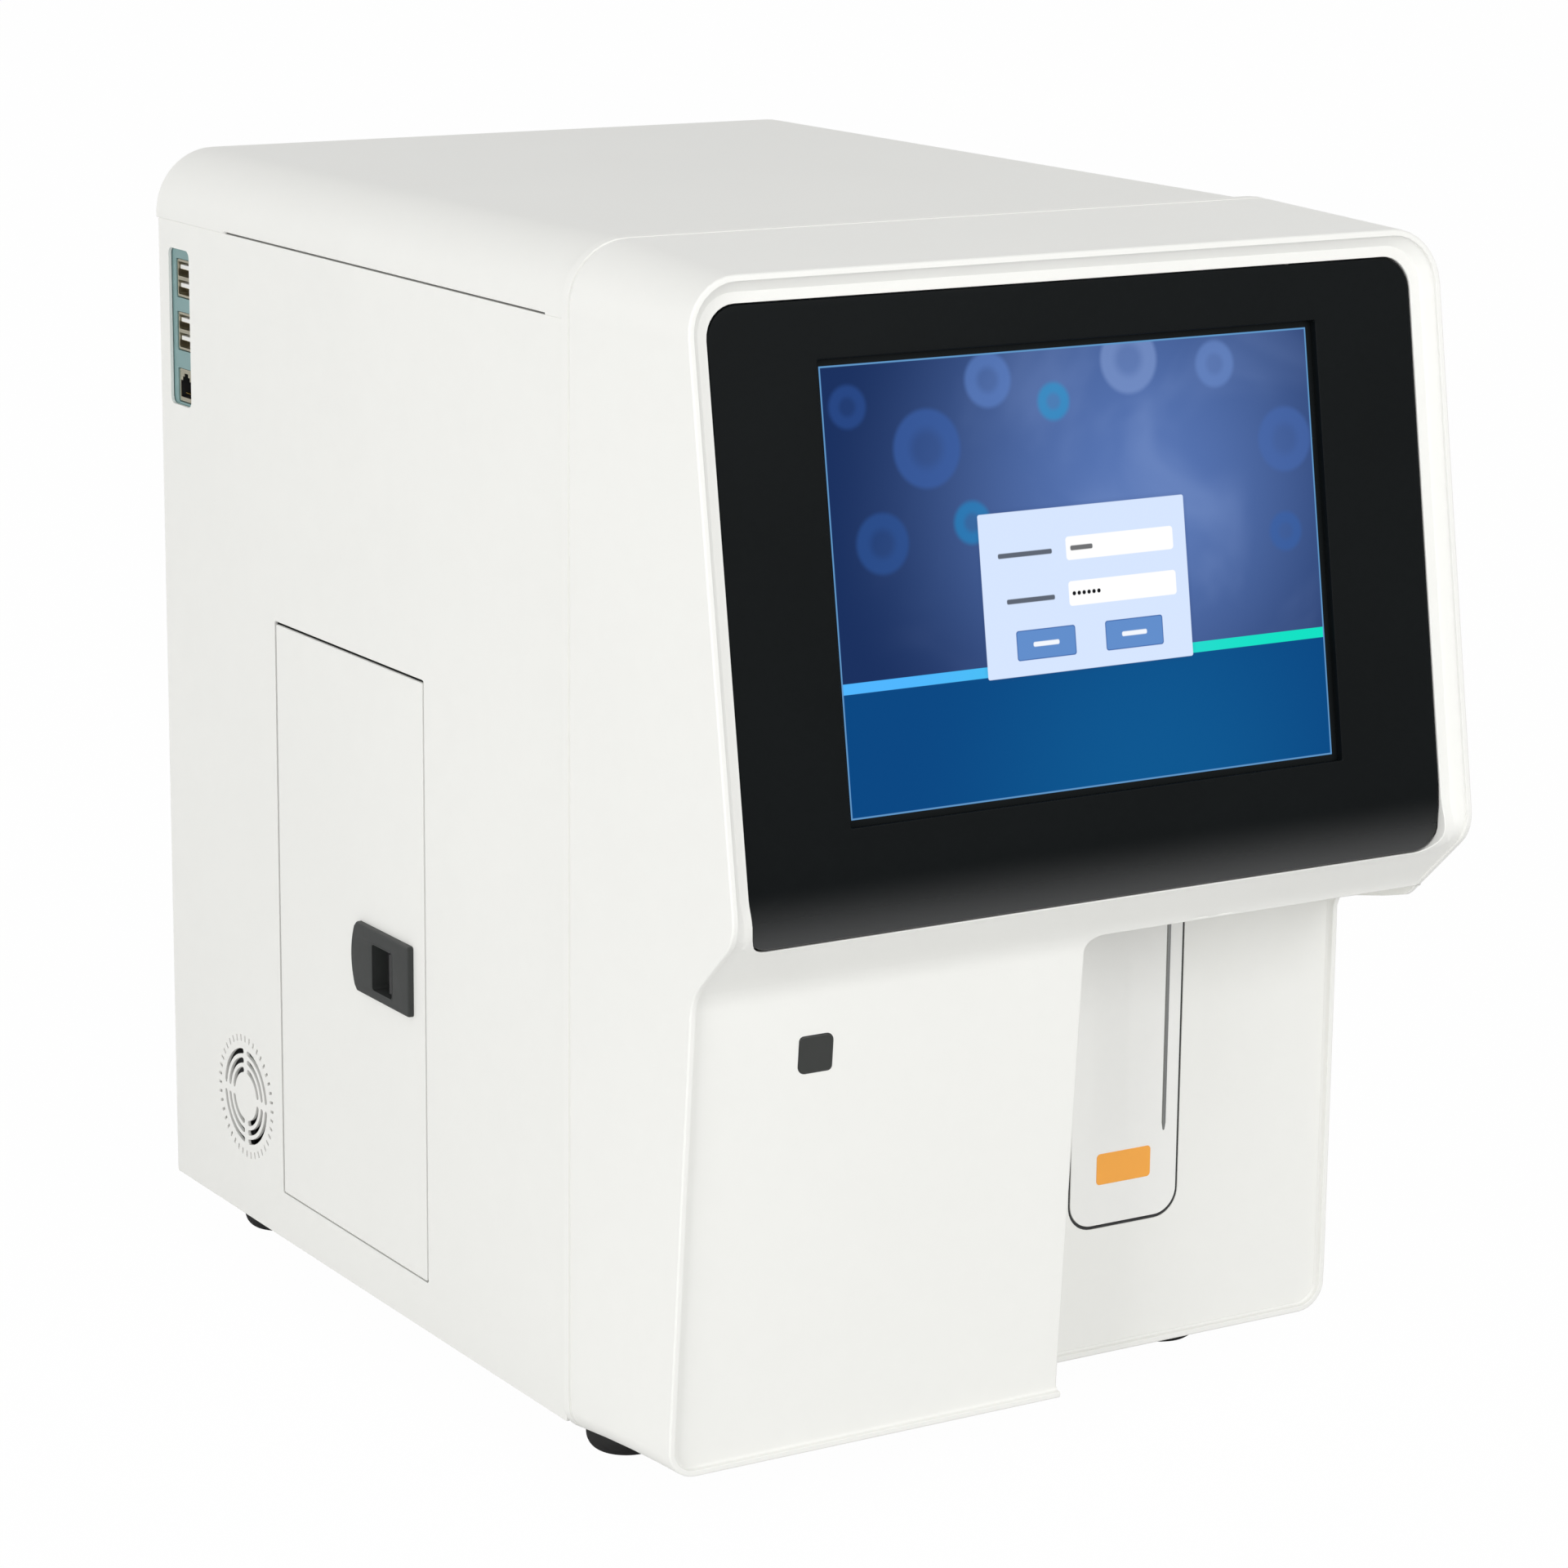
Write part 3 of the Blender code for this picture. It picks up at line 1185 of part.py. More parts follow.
def door_latch():
    """Black latch frame fixed in the door, and the sprung bolt that slides in it."""
    face = -HALF_WIDTH - FIT_GAP
    bulge = LATCH_REAR + LATCH_BULGE
    middle = (LATCH_BOTTOM + LATCH_TOP) / 2
    half = (LATCH_TOP - LATCH_BOTTOM) / 2
    radius = (half ** 2 + LATCH_BULGE ** 2) / (2 * LATCH_BULGE)
    reach = math.asin(half / radius)
    points = [(LATCH_FRONT, LATCH_TOP), (LATCH_FRONT, LATCH_BOTTOM)]
    for step in range(2 * ARC_STEPS + 1):
        angle = reach * (step / ARC_STEPS - 1)
        points.append((bulge - radius + radius * math.cos(angle), middle + radius * math.sin(angle)))
    frame = prism("latch_frame", points, ALONG_X, face - LATCH_PROUD, face)

    outer, inner = slider_faces()
    border = LATCH_BORDER
    back = inner + FIT_GAP + LATCH_RAIL
    body = box("latch_body", (face - LATCH_PROUD / 2, LATCH_FRONT + border, LATCH_BOTTOM + border),
               (back, LATCH_REAR - border, LATCH_TOP - border))
    join(frame, body)
    cut(frame, box("latch_window", (face - OVERRUN, WINDOW_FRONT, WINDOW_BOTTOM),
                   (outer + FIT_GAP, WINDOW_REAR, WINDOW_TOP)))
    rail = LATCH_BORDER + LATCH_RAIL
    groove_low = LATCH_BOTTOM + rail
    groove_high = LATCH_TOP - rail
    cut(frame, box("slider_groove", (outer - FIT_GAP, LATCH_FRONT - OVERRUN, groove_low),
                   (inner + FIT_GAP, LATCH_REAR + OVERRUN, groove_high)))
    lip = LATCH_RAIL_LIP
    cut(frame, box("latch_back", (inner, LATCH_FRONT - OVERRUN, groove_low + lip),
                   (back + OVERRUN, LATCH_REAR + OVERRUN, groove_high - lip)))
    part(frame, "black_plastic")

    clear = FIT_GAP
    slide = box("latch_slide", (outer, LATCH_FRONT + border, groove_low + clear),
                (inner, SLIDER_TAIL, groove_high - clear))
    centre = (WINDOW_BOTTOM + WINDOW_TOP) / 2
    half = BOLT_HEIGHT / 2
    join(slide, box("bolt", (outer, DOOR_FRONT + FIT_GAP, centre - half),
                    (inner, LATCH_FRONT + border + FIT_GAP, centre + half)))
    grip_half = GRIP_THICKNESS / 2
    join(slide, box("grip", (face - LATCH_PROUD / 2, GRIP_Y - grip_half, WINDOW_BOTTOM + lip),
                    (outer + SLIDER_THICKNESS / 2, GRIP_Y + grip_half, WINDOW_TOP - lip)))
    part(slide, "black_plastic", ((outer + inner) / 2, GRIP_Y, centre))


def liner_box():
    """Inner low and high corners of the reagent compartment."""
    left = -PANEL_INNER + FIT_GAP
    low = Vector((left, DOOR_FRONT - LINER_CLEAR_FRONT, DOOR_BOTTOM - LINER_CLEAR_HEIGHT))
    high = Vector((left + LINER_DEPTH, DOOR_REAR + LINER_CLEAR_REAR, DOOR_TOP + LINER_CLEAR_HEIGHT))
    return low, high


def reagent_compartment():
    """Liner behind the door, two bottles on its floor and their caps."""
    low, high = liner_box()
    wall = Vector((LINER_WALL, LINER_WALL, LINER_WALL))
    liner = box("reagent_compartment", (low.x, low.y - wall.y, low.z - wall.z), high + wall)
    cut(liner, box("liner_hollow", low - Vector((OVERRUN, 0, 0)), high))
    part(liner, "grey_plastic")
    back = high.x - BOTTLE_SPACING
    floor = low.z + FIT_GAP
    start = low.y + BOTTLE_SPACING * 2
    for index, (name, cap) in enumerate((("lyse", "red_cap"), ("cleaner", "blue_cap"))):
        near = start + index * (BOTTLE_WIDTH + BOTTLE_SPACING)
        middle = Vector((back - BOTTLE_DEPTH / 2, near + BOTTLE_WIDTH / 2, floor))
        outline = rectangle(-BOTTLE_DEPTH / 2, BOTTLE_DEPTH / 2, -BOTTLE_WIDTH / 2,
                            BOTTLE_WIDTH / 2, (BOTTLE_CORNER,) * 4)
        bottle = prism(name + "_bottle", outline, ALONG_Z, 0, BOTTLE_HEIGHT, middle)
        top = Vector((0, 0, BOTTLE_HEIGHT))
        neck = Vector((0, 0, BOTTLE_NECK_HEIGHT))
        join(bottle, rod("neck", middle + top - neck, middle + top + neck, BOTTLE_NECK_RADIUS))
        part(bottle, "bottle_plastic")
        rim = middle + top + neck
        seat = rim + Vector((0, 0, FIT_GAP))
        skirt = seat + Vector((0, 0, CAP_HEIGHT - BOTTLE_NECK_HEIGHT))
        lid = rod(name + "_cap", seat - neck + Vector((0, 0, FIT_GAP)), skirt, CAP_RADIUS)
        cut(lid, rod("cap_bore", seat - neck - top, seat, BOTTLE_NECK_RADIUS + FIT_GAP))
        tube_top = skirt + Vector((0, 0, CAP_TUBE_HEIGHT))
        join(lid, rod("cap_tube", (seat + skirt) / 2, tube_top, CAP_TUBE_RADIUS, SMALL_SIDES))
        part(lid, cap)


def ports():
    """Plate behind the port slot, its sockets and the board they stand on."""
    plate_face = -PANEL_INNER + PORT_PLATE_SETBACK
    margin = PORT_PLATE_MARGIN
    middle = (SLOT_FRONT + SLOT_REAR) / 2
    clear = PORT_CLEARANCE
    holes = []
    for z, width, height in ((UPPER_USB_Z, USB_WIDTH, USB_HEIGHT),
                             (LOWER_USB_Z, USB_WIDTH, USB_HEIGHT),
                             (NETWORK_Z, NETWORK_WIDTH, NETWORK_HEIGHT)):
        holes.append(rectangle(middle - width / 2 - clear, middle + width / 2 + clear,
                               z - height / 2 - clear, z + height / 2 + clear, (0, 0, 0, 0)))
    outline = rectangle(SLOT_FRONT - margin, SLOT_REAR + margin, SLOT_BOTTOM - margin,
                        SLOT_TOP + margin, (0, 0, 0, 0))
    plate = prism("port_plate", outline, ALONG_X, plate_face, plate_face + PORT_PLATE_THICKNESS,
                  holes=holes)
    tab_rear = CABINET_REAR - SHEET - FIT_GAP
    join(plate, box("port_plate_tab", (plate_face, SLOT_REAR + margin - FIT_GAP, SLOT_BOTTOM),
                    (plate_face + PORT_PLATE_THICKNESS, tab_rear, SLOT_TOP)))
    for edge in (SLOT_FRONT - margin, SLOT_REAR + margin - PORT_PLATE_MARGIN / 2):
        for z in (SLOT_BOTTOM - margin, SLOT_TOP + margin / 2):
            join(plate, box("port_plate_pad", (-PANEL_INNER + FIT_GAP, edge, z),
                            (plate_face + PORT_PLATE_THICKNESS / 2, edge + margin / 2,
                             z + margin / 2)))
    part(plate, "port_plate")

    front = plate_face
    back = front + SOCKET_LENGTH
    for name, z in (("usb_socket_upper", UPPER_USB_Z), ("usb_socket_lower", LOWER_USB_Z)):
        socket = box(name, (front, middle - USB_WIDTH / 2, z - USB_HEIGHT / 2),
                     (back, middle + USB_WIDTH / 2, z + USB_HEIGHT / 2))
        pitch = USB_HEIGHT / 2 - USB_SHELL / 2
        for sign in (-1, 1):
            centre = z + sign * pitch / 2
            half = USB_MOUTH / 2
            side = USB_WIDTH / 2 - USB_SHELL
            cut(socket, box("usb_mouth", (front - OVERRUN, middle - side, centre - half),
                            (front + USB_DEPTH, middle + side, centre + half)))
            tongue_top = centre + half - USB_SHELL
            join(socket, box("usb_tongue", (front + USB_SHELL, middle - TONGUE_WIDTH / 2,
                                            tongue_top - TONGUE_HEIGHT),
                             (front + USB_DEPTH + USB_SHELL, middle + TONGUE_WIDTH / 2,
                              tongue_top)))
        part(socket, "socket_metal")
    socket = box("network_socket", (front, middle - NETWORK_WIDTH / 2, NETWORK_Z - NETWORK_HEIGHT / 2),
                 (back, middle + NETWORK_WIDTH / 2, NETWORK_Z + NETWORK_HEIGHT / 2))
    half = NETWORK_MOUTH_WIDTH / 2
    tall = NETWORK_MOUTH_HEIGHT / 2
    cut(socket, box("network_mouth", (front - OVERRUN, middle - half, NETWORK_Z - tall),
                    (front + NETWORK_DEPTH, middle + half, NETWORK_Z + tall)))
    half = NETWORK_KEY_WIDTH / 2
    cut(socket, box("network_key", (front - OVERRUN, middle - half, NETWORK_Z - NETWORK_KEY_DROP),
                    (front + NETWORK_DEPTH, middle + half, NETWORK_Z)))
    part(socket, "socket_metal")

    board_face = back + FIT_GAP
    margin = IO_BOARD_MARGIN
    rear = CABINET_REAR - SHEET - FIT_GAP
    board = box("io_board", (board_face, SLOT_FRONT - margin, SLOT_BOTTOM - margin),
                (board_face + BOARD_THICKNESS, rear, SLOT_TOP + margin))
    part(board, "green_board")


def fan(prefix, axes, centre, size, depth):
    """Fan frame with its struts, and the rotor that turns in it, along the third axis."""
    half = size / 2
    bore = half - FAN_WALL
    hub = half * FAN_HUB_SHARE
    square = rectangle(-half, half, -half, half, (FAN_WALL,) * 4)
    frame = prism(prefix + "_fan_frame", square, axes, 0, depth, centre)
    out = axes @ Vector((0, 0, 1))
    plate = FAN_PLATE
    cut(frame, rod("fan_bore", centre + out * plate, centre + out * (depth + OVERRUN), bore))
    half_strut = math.asin(FAN_STRUT / 2 / hub)
    for quarter in range(4):
        start = quarter * math.pi / 2 + half_strut
        end = (quarter + 1) * math.pi / 2 - half_strut
        window = ring_sector(hub, bore - FIT_GAP, start, end)
        cut(frame, prism("fan_window", window, axes, -OVERRUN, plate + FIT_GAP, centre))
    part(frame, "motor_black")

    low = plate + RUNNING_GAP
    high = depth - RUNNING_GAP
    rotor = rod(prefix + "_fan_rotor", centre + out * low, centre + out * high, hub)
    reach = bore - RUNNING_GAP * 2
    blade_half = (high - low) / 2 - RUNNING_GAP
    middle = centre + out * (low + high) / 2
    chord = blade_half / math.cos(FAN_BLADE_TWIST)
    frame_axes = axes.to_4x4()
    for turn in turns(FAN_BLADES):
        blade = box("blade", (hub / 2, -FAN_BLADE_THICKNESS / 2, -chord),
                    (reach, FAN_BLADE_THICKNESS / 2, chord))
        place = Matrix.Translation(middle) @ frame_axes @ Matrix.Rotation(turn, 4, "Z")
        pitch = Matrix.Rotation(FAN_BLADE_TWIST, 4, "X")
        shift = Matrix.Translation(blade.location)
        blade.matrix_world = place @ pitch @ shift
        join(rotor, blade)
    slab_low = centre + out * low
    slab_high = centre + out * high
    common(rotor, rod("rotor_sweep", slab_low, slab_high, reach))
    part(rotor, "motor_black")


def turns(count):
    """Equal steps of a whole turn."""
    return [2 * math.pi * step / count for step in range(count)]


def fans():
    """Side fan behind the left grille and the larger fan on the rear panel."""
    inside = Matrix(((0, 0, 1), (1, 0, 0), (0, 1, 0)))
    fan("side", inside @ flip(), Vector((-PANEL_INNER + FIT_GAP + SIDE_FAN_DEPTH, SIDE_FAN_Y,
                                         SIDE_FAN_Z)), SIDE_FAN_SIZE, SIDE_FAN_DEPTH)
    rear = CABINET_REAR - SHEET - FIT_GAP - REAR_FAN_DEPTH
    fan("rear", ALONG_Y @ flip(), Vector((REAR_FAN_X, rear, REAR_FAN_Z)), REAR_FAN_SIZE,
        REAR_FAN_DEPTH)


def flip():
    """Half turn about an outline's own x, which sends its depth the other way."""
    return Matrix.Rotation(math.pi, 3, "X")


def start_key():
    """Large key in the back wall of the bay, its hinge bracket, pin and switch."""
    face = BAY_BACK
    back = face + KEY_PLATE
    key = prism("start_key", key_outline(0), ALONG_Y, -back, -face)
    pivot = Vector((0, KEY_PIVOT_Y, KEY_PIVOT_Z))
    tall = KEY_ARM_HEIGHT / 2
    arms = (KEY_LEFT + KEY_ARM_INSET, KEY_RIGHT - KEY_ARM_INSET - KEY_ARM_WIDTH)
    for x in arms:
        join(key, box("key_arm", (x, back - KEY_PLATE / 2, pivot.z - tall),
                      (x + KEY_ARM_WIDTH, pivot.y + tall, pivot.z + tall)))
    cut(key, rod("key_bore", (KEY_LEFT, pivot.y, pivot.z), (KEY_RIGHT, pivot.y, pivot.z),
                 KEY_PIN_RADIUS + FIT_GAP, SMALL_SIDES))
    part(key, "cover_white", ((KEY_LEFT + KEY_RIGHT) / 2, pivot.y, pivot.z))

    wall = BAY_BACK + COVER_WALL + FIT_GAP
    outer = KEY_GAP + KEY_LUG
    left = KEY_LEFT - outer
    right = KEY_RIGHT + outer
    rear = wall + KEY_BRACKET_DEPTH
    tall = KEY_BRACKET_HEIGHT / 2
    bracket = box("key_bracket", (left - KEY_LUG, wall, pivot.z - tall),
                  (right + KEY_LUG, rear, pivot.z + tall))
    cut(bracket, box("bracket_hollow", (left, wall - OVERRUN, pivot.z - tall - OVERRUN),
                     (right, rear - KEY_LUG, pivot.z + tall + OVERRUN)))
    join(bracket, rod("key_pin", (left - KEY_LUG / 2, pivot.y, pivot.z),
                      (right + KEY_LUG / 2, pivot.y, pivot.z), KEY_PIN_RADIUS, SMALL_SIDES))
    part(bracket, "zinc_steel")

    middle = (KEY_LEFT + KEY_RIGHT) / 2
    tip = back + SWITCH_TRAVEL
    body_front = tip + SWITCH_TRAVEL / 2
    body_back = body_front + SWITCH_DEPTH
    half = SWITCH_WIDTH / 2
    switch = box("start_switch", (middle - half, body_front, SWITCH_Z),
                 (middle + half, body_back, SWITCH_Z + SWITCH_HEIGHT))
    centre = SWITCH_Z + SWITCH_HEIGHT / 2
    join(switch, rod("switch_tip", (middle, tip, centre), (middle, body_front + FIT_GAP, centre),
                     SWITCH_HEIGHT / 5, SMALL_SIDES))
    reach = KEY_GAP + SWITCH_POST + SWITCH_MARGIN
    bridge_back = body_back + KEY_LUG
    join(switch, box("switch_bridge", (KEY_LEFT - reach, body_back - FIT_GAP, SWITCH_Z),
                     (KEY_RIGHT + reach, bridge_back, SWITCH_Z + SWITCH_HEIGHT)))
    for start in (KEY_LEFT - reach, KEY_RIGHT + reach - SWITCH_POST):
        join(switch, box("switch_post", (start, wall, SWITCH_Z),
                         (start + SWITCH_POST, bridge_back - KEY_LUG / 2,
                          SWITCH_Z + SWITCH_HEIGHT)))
    part(switch, "black_plastic")


def sampler():
    """Probe, carriage, guide rods, lift screw, motor, wash block and their frame."""
    carriage_low = CARRIAGE_Z
    carriage_high = CARRIAGE_Z + CARRIAGE_HEIGHT
    low_lug_top = carriage_low - LUG_MARGIN * 2
    high_lug_low = carriage_high + PROBE_TRAVEL + LUG_MARGIN
    high_lug_top = high_lug_low + LUG_THICKNESS
    low_lug_low = low_lug_top - LUG_THICKNESS
    guide_x = PROBE_X - GUIDE_OFFSET
    screw_x = PROBE_X + SCREW_OFFSET
    left = guide_x - LUG_BORDER
    right = screw_x + LUG_BORDER
    lug_front = GUIDE_Y - LUG_BORDER
    plate = SAMPLER_PLATE_Y
    side = LIFT_MOTOR_SIZE / 2
    plate_right = max(right, screw_x + side)

    probe_top = carriage_high + PROBE_TIP_LENGTH
    tip_top = PROBE_TIP_Z + PROBE_TIP_LENGTH
    hub = carriage_low - PROBE_TIP_LENGTH
    profile = ((0, probe_top), (PROBE_HUB_RADIUS, probe_top), (PROBE_HUB_RADIUS, hub),
               (PROBE_RADIUS, hub - PROBE_TIP_LENGTH), (PROBE_RADIUS, tip_top),
               (PROBE_TIP_RADIUS, PROBE_TIP_Z), (0, PROBE_TIP_Z))
    probe = turned("sample_probe", profile, (PROBE_X, PROBE_Y, 0), SMALL_SIDES)
    part(probe, "stainless")

    carriage = box("probe_carriage", (left, PROBE_Y - CARRIAGE_FRONT, carriage_low),
                   (right, plate - LUG_BORDER, carriage_high))
    bores = [rod("probe_bore", (PROBE_X, PROBE_Y, carriage_low - OVERRUN),
                 (PROBE_X, PROBE_Y, carriage_high + OVERRUN), PROBE_HUB_RADIUS + FIT_GAP,
                 SMALL_SIDES)]
    for x, radius in ((guide_x, GUIDE_RADIUS), (screw_x, SCREW_RADIUS)):
        bores.append(rod("guide_bore", (x, GUIDE_Y, carriage_low - OVERRUN),
                         (x, GUIDE_Y, carriage_high + OVERRUN), radius + FIT_GAP, SMALL_SIDES))
    cut(carriage, *bores)
    part(carriage, "black_plastic")

    frame = box("sampler_frame", (left, plate, SAMPLER_FOOT_Z), (plate_right, plate + BEAM_WALL,
                                                                 high_lug_top))
    for low, high in ((low_lug_low, low_lug_top), (high_lug_low, high_lug_top)):
        join(frame, box("sampler_lug", (left, lug_front, low), (plate_right, plate + FIT_GAP, high)))
    leg_rear = FRAME_FRONT - FIT_GAP
    for start in (left, plate_right - BEAM_WALL):
        join(frame, box("sampler_leg", (start, plate, FRAME_BAR_Z),
                        (start + BEAM_WALL, leg_rear, high_lug_top)))
    for start in (left, plate_right - LUG_BORDER):
        join(frame, box("sampler_foot", (start, leg_rear - BEAM_WALL, FRAME_BAR_Z),
                        (start + LUG_BORDER, leg_rear, FRAME_BAR_Z + FRAME_BAR)))
    cut(frame, rod("rod_seat", (guide_x, GUIDE_Y, low_lug_low - OVERRUN),
                   (guide_x, GUIDE_Y, high_lug_top + OVERRUN), GUIDE_RADIUS + FIT_GAP,
                   SMALL_SIDES))
    cut(frame, rod("screw_seat", (screw_x, GUIDE_Y, low_lug_low + LUG_THICKNESS / 2),
                   (screw_x, GUIDE_Y, high_lug_top + OVERRUN), SCREW_RADIUS + FIT_GAP,
                   SMALL_SIDES))
    part(frame, "zinc_steel")

    part(rod("probe_guide_rod", (guide_x, GUIDE_Y, low_lug_low), (guide_x, GUIDE_Y, high_lug_top),
             GUIDE_RADIUS, SMALL_SIDES), "stainless")
    screw = rod("lift_screw", (screw_x, GUIDE_Y, low_lug_low + LUG_THICKNESS / 2 + FIT_GAP),
                (screw_x, GUIDE_Y, high_lug_top - SCREW_TIP_GAP), SCREW_RADIUS, SMALL_SIDES)
    part(screw, "stainless", (screw_x, GUIDE_Y, low_lug_top))
    motor = box("lift_motor", (screw_x - side, GUIDE_Y - side, high_lug_top + FIT_GAP),
                (screw_x + side, min(GUIDE_Y + side, plate - FIT_GAP),
                 high_lug_top + LIFT_MOTOR_HEIGHT))
    part(motor, "motor_black")

    half = WASH_SIZE / 2
    block = box("probe_wash_block", (PROBE_X - half, PROBE_Y - half, WASH_Z),
                (PROBE_X + half, PROBE_Y + half, WASH_Z + WASH_HEIGHT))
    arm = WASH_ARM / 2
    join(block, box("wash_arm", (PROBE_X - arm, PROBE_Y, WASH_Z + WASH_HEIGHT - WASH_ARM),
                    (PROBE_X + arm, plate - FIT_GAP, WASH_Z + WASH_HEIGHT)))
    cut(block, rod("wash_bore", (PROBE_X, PROBE_Y, WASH_Z - OVERRUN),
                   (PROBE_X, PROBE_Y, WASH_Z + WASH_HEIGHT + OVERRUN), WASH_BORE, SMALL_SIDES))
    part(block, "clear_plastic")


def fluidics():
    """Upright plate with the counting baths, the valve bank and the syringe."""
    face = FLUID_PLATE_Y - SHEET
    bottom = BASE_TOP + FIT_GAP
    plate = box("fluidics_plate", (FLUID_PLATE_LEFT, face, bottom),
                (FLUID_PLATE_RIGHT, FLUID_PLATE_Y, FLUID_PLATE_TOP))
    join(plate, box("plate_foot", (FLUID_PLATE_LEFT, face, bottom),
                    (FLUID_PLATE_RIGHT, FLUID_PLATE_Y + FLUID_FOOT, bottom + SHEET)))
    shelf_left = BATH_X[0] - BATH_RADIUS - BATH_SHELF_MARGIN
    shelf_right = BATH_X[1] + BATH_RADIUS + BATH_SHELF_MARGIN
    shelf_top = BATH_Z - FIT_GAP
    join(plate, box("bath_shelf", (shelf_left, BATH_Y - BATH_RADIUS - BATH_SHELF_MARGIN,
                                   shelf_top - SHEET), (shelf_right, FLUID_PLATE_Y, shelf_top)))
    for x in BATH_X:
        cut(plate, rod("spout_hole", (x, BATH_Y, shelf_top - OVERRUN), (x, BATH_Y, BATH_Z + OVERRUN),
                       BATH_SPOUT_RADIUS + FIT_GAP, SMALL_SIDES))
    part(plate, "zinc_steel")
    for name, x in (("white_cell_bath", BATH_X[0]), ("red_cell_bath", BATH_X[1])):
        inner = BATH_RADIUS - BATH_WALL
        top = BATH_HEIGHT
        profile = ((inner, top), (BATH_RADIUS, top), (BATH_RADIUS, 0), (BATH_SPOUT_RADIUS, 0),
                   (BATH_SPOUT_RADIUS, -BATH_SPOUT), (0, -BATH_SPOUT))
        bath = turned(name, ((0, BATH_WALL * 2), (inner, BATH_WALL * 4), *profile),
                      (x, BATH_Y, BATH_Z), ROUND_SIDES)
        part(bath, "clear_plastic")

    first = VALVE_FIRST_X - MANIFOLD_MARGIN
    last = VALVE_FIRST_X + (VALVE_COUNT - 1) * VALVE_PITCH + MANIFOLD_MARGIN
    tall = MANIFOLD_HEIGHT / 2
    manifold_rear = face - FIT_GAP
    manifold_front = manifold_rear - MANIFOLD_DEPTH
    bank = box("valve_bank", (first, manifold_front, VALVE_Z - tall),
               (last, manifold_rear, VALVE_Z + tall))
    for index in range(VALVE_COUNT):
        x = VALVE_FIRST_X + index * VALVE_PITCH
        start = manifold_front + OVERRUN
        join(bank, rod("valve", (x, start, VALVE_Z), (x, start - VALVE_LENGTH, VALVE_Z),
                       VALVE_RADIUS, SMALL_SIDES))
    part(bank, "motor_black")
    syringe()


def syringe():
    """Dosing syringe: barrel in its clamp, sliding plunger and hollow-shaft motor."""
    face = FLUID_PLATE_Y - SHEET - FIT_GAP
    x, y = SYRINGE_X, SYRINGE_Y
    top = BARREL_Z + BARREL_LENGTH
    inner = BARREL_BORE
    profile = ((0, top), (BARREL_RADIUS, top), (BARREL_RADIUS, BARREL_Z), (inner, BARREL_Z),
               (inner, top - BATH_WALL), (0, top - BATH_WALL))
    part(turned("syringe_barrel", profile, (x, y, 0), ROUND_SIDES), "clear_plastic")

    arm = SYRINGE_ARM_THICKNESS
    half = BARREL_RADIUS + arm
    clamp = box("syringe_clamp", (x - half, y - half, top - BARREL_LENGTH / 3),
                (x + half, face, top - BARREL_LENGTH / 3 + arm))
    cut(clamp, rod("clamp_bore", (x, y, BARREL_Z), (x, y, top + OVERRUN),
                   BARREL_RADIUS + FIT_GAP))
    motor_half = SYRINGE_MOTOR_SIZE / 2
    bench_low = SYRINGE_MOTOR_TOP + FIT_GAP
    join(clamp, box("motor_bench", (x - motor_half, y - motor_half, bench_low),
                    (x + motor_half, face, bench_low + arm)))
    join(clamp, box("clamp_spine", (x - half, face - arm / 2, bench_low), (x + half, face, top)))
    rod_gap = PLUNGER_ROD_RADIUS + FIT_GAP
    cut(clamp, rod("bench_bore", (x, y, bench_low - OVERRUN), (x, y, bench_low + arm + OVERRUN),
                   rod_gap, SMALL_SIDES))
    part(clamp, "zinc_steel")

    motor_low = SYRINGE_MOTOR_TOP - SYRINGE_MOTOR_HEIGHT
    motor = box("syringe_motor", (x - motor_half, y - motor_half, motor_low),
                (x + motor_half, y + motor_half, SYRINGE_MOTOR_TOP))
    cut(motor, rod("motor_bore", (x, y, motor_low - OVERRUN), (x, y, SYRINGE_MOTOR_TOP + OVERRUN),
                   rod_gap, SMALL_SIDES))
    part(motor, "motor_black")

    piston_low = BARREL_Z + FIT_GAP * 2
    piston = inner - FIT_GAP
    piston_top = piston_low + PISTON_LENGTH
    collar_low = bench_low + arm + RUNNING_GAP
    collar_high = collar_low + PLUNGER_COLLAR_HEIGHT
    rod_radius = PLUNGER_ROD_RADIUS
    foot = motor_low - PLUNGER_TRAVEL - PLUNGER_COLLAR_HEIGHT
    profile = ((0, piston_top), (piston, piston_top), (piston, piston_low),
               (rod_radius, piston_low), (rod_radius, collar_high),
               (PLUNGER_COLLAR_RADIUS, collar_high), (PLUNGER_COLLAR_RADIUS, collar_low),
               (rod_radius, collar_low), (rod_radius, foot), (0, foot))
    part(turned("syringe_plunger", profile, (x, y, 0), SMALL_SIDES), "stainless")


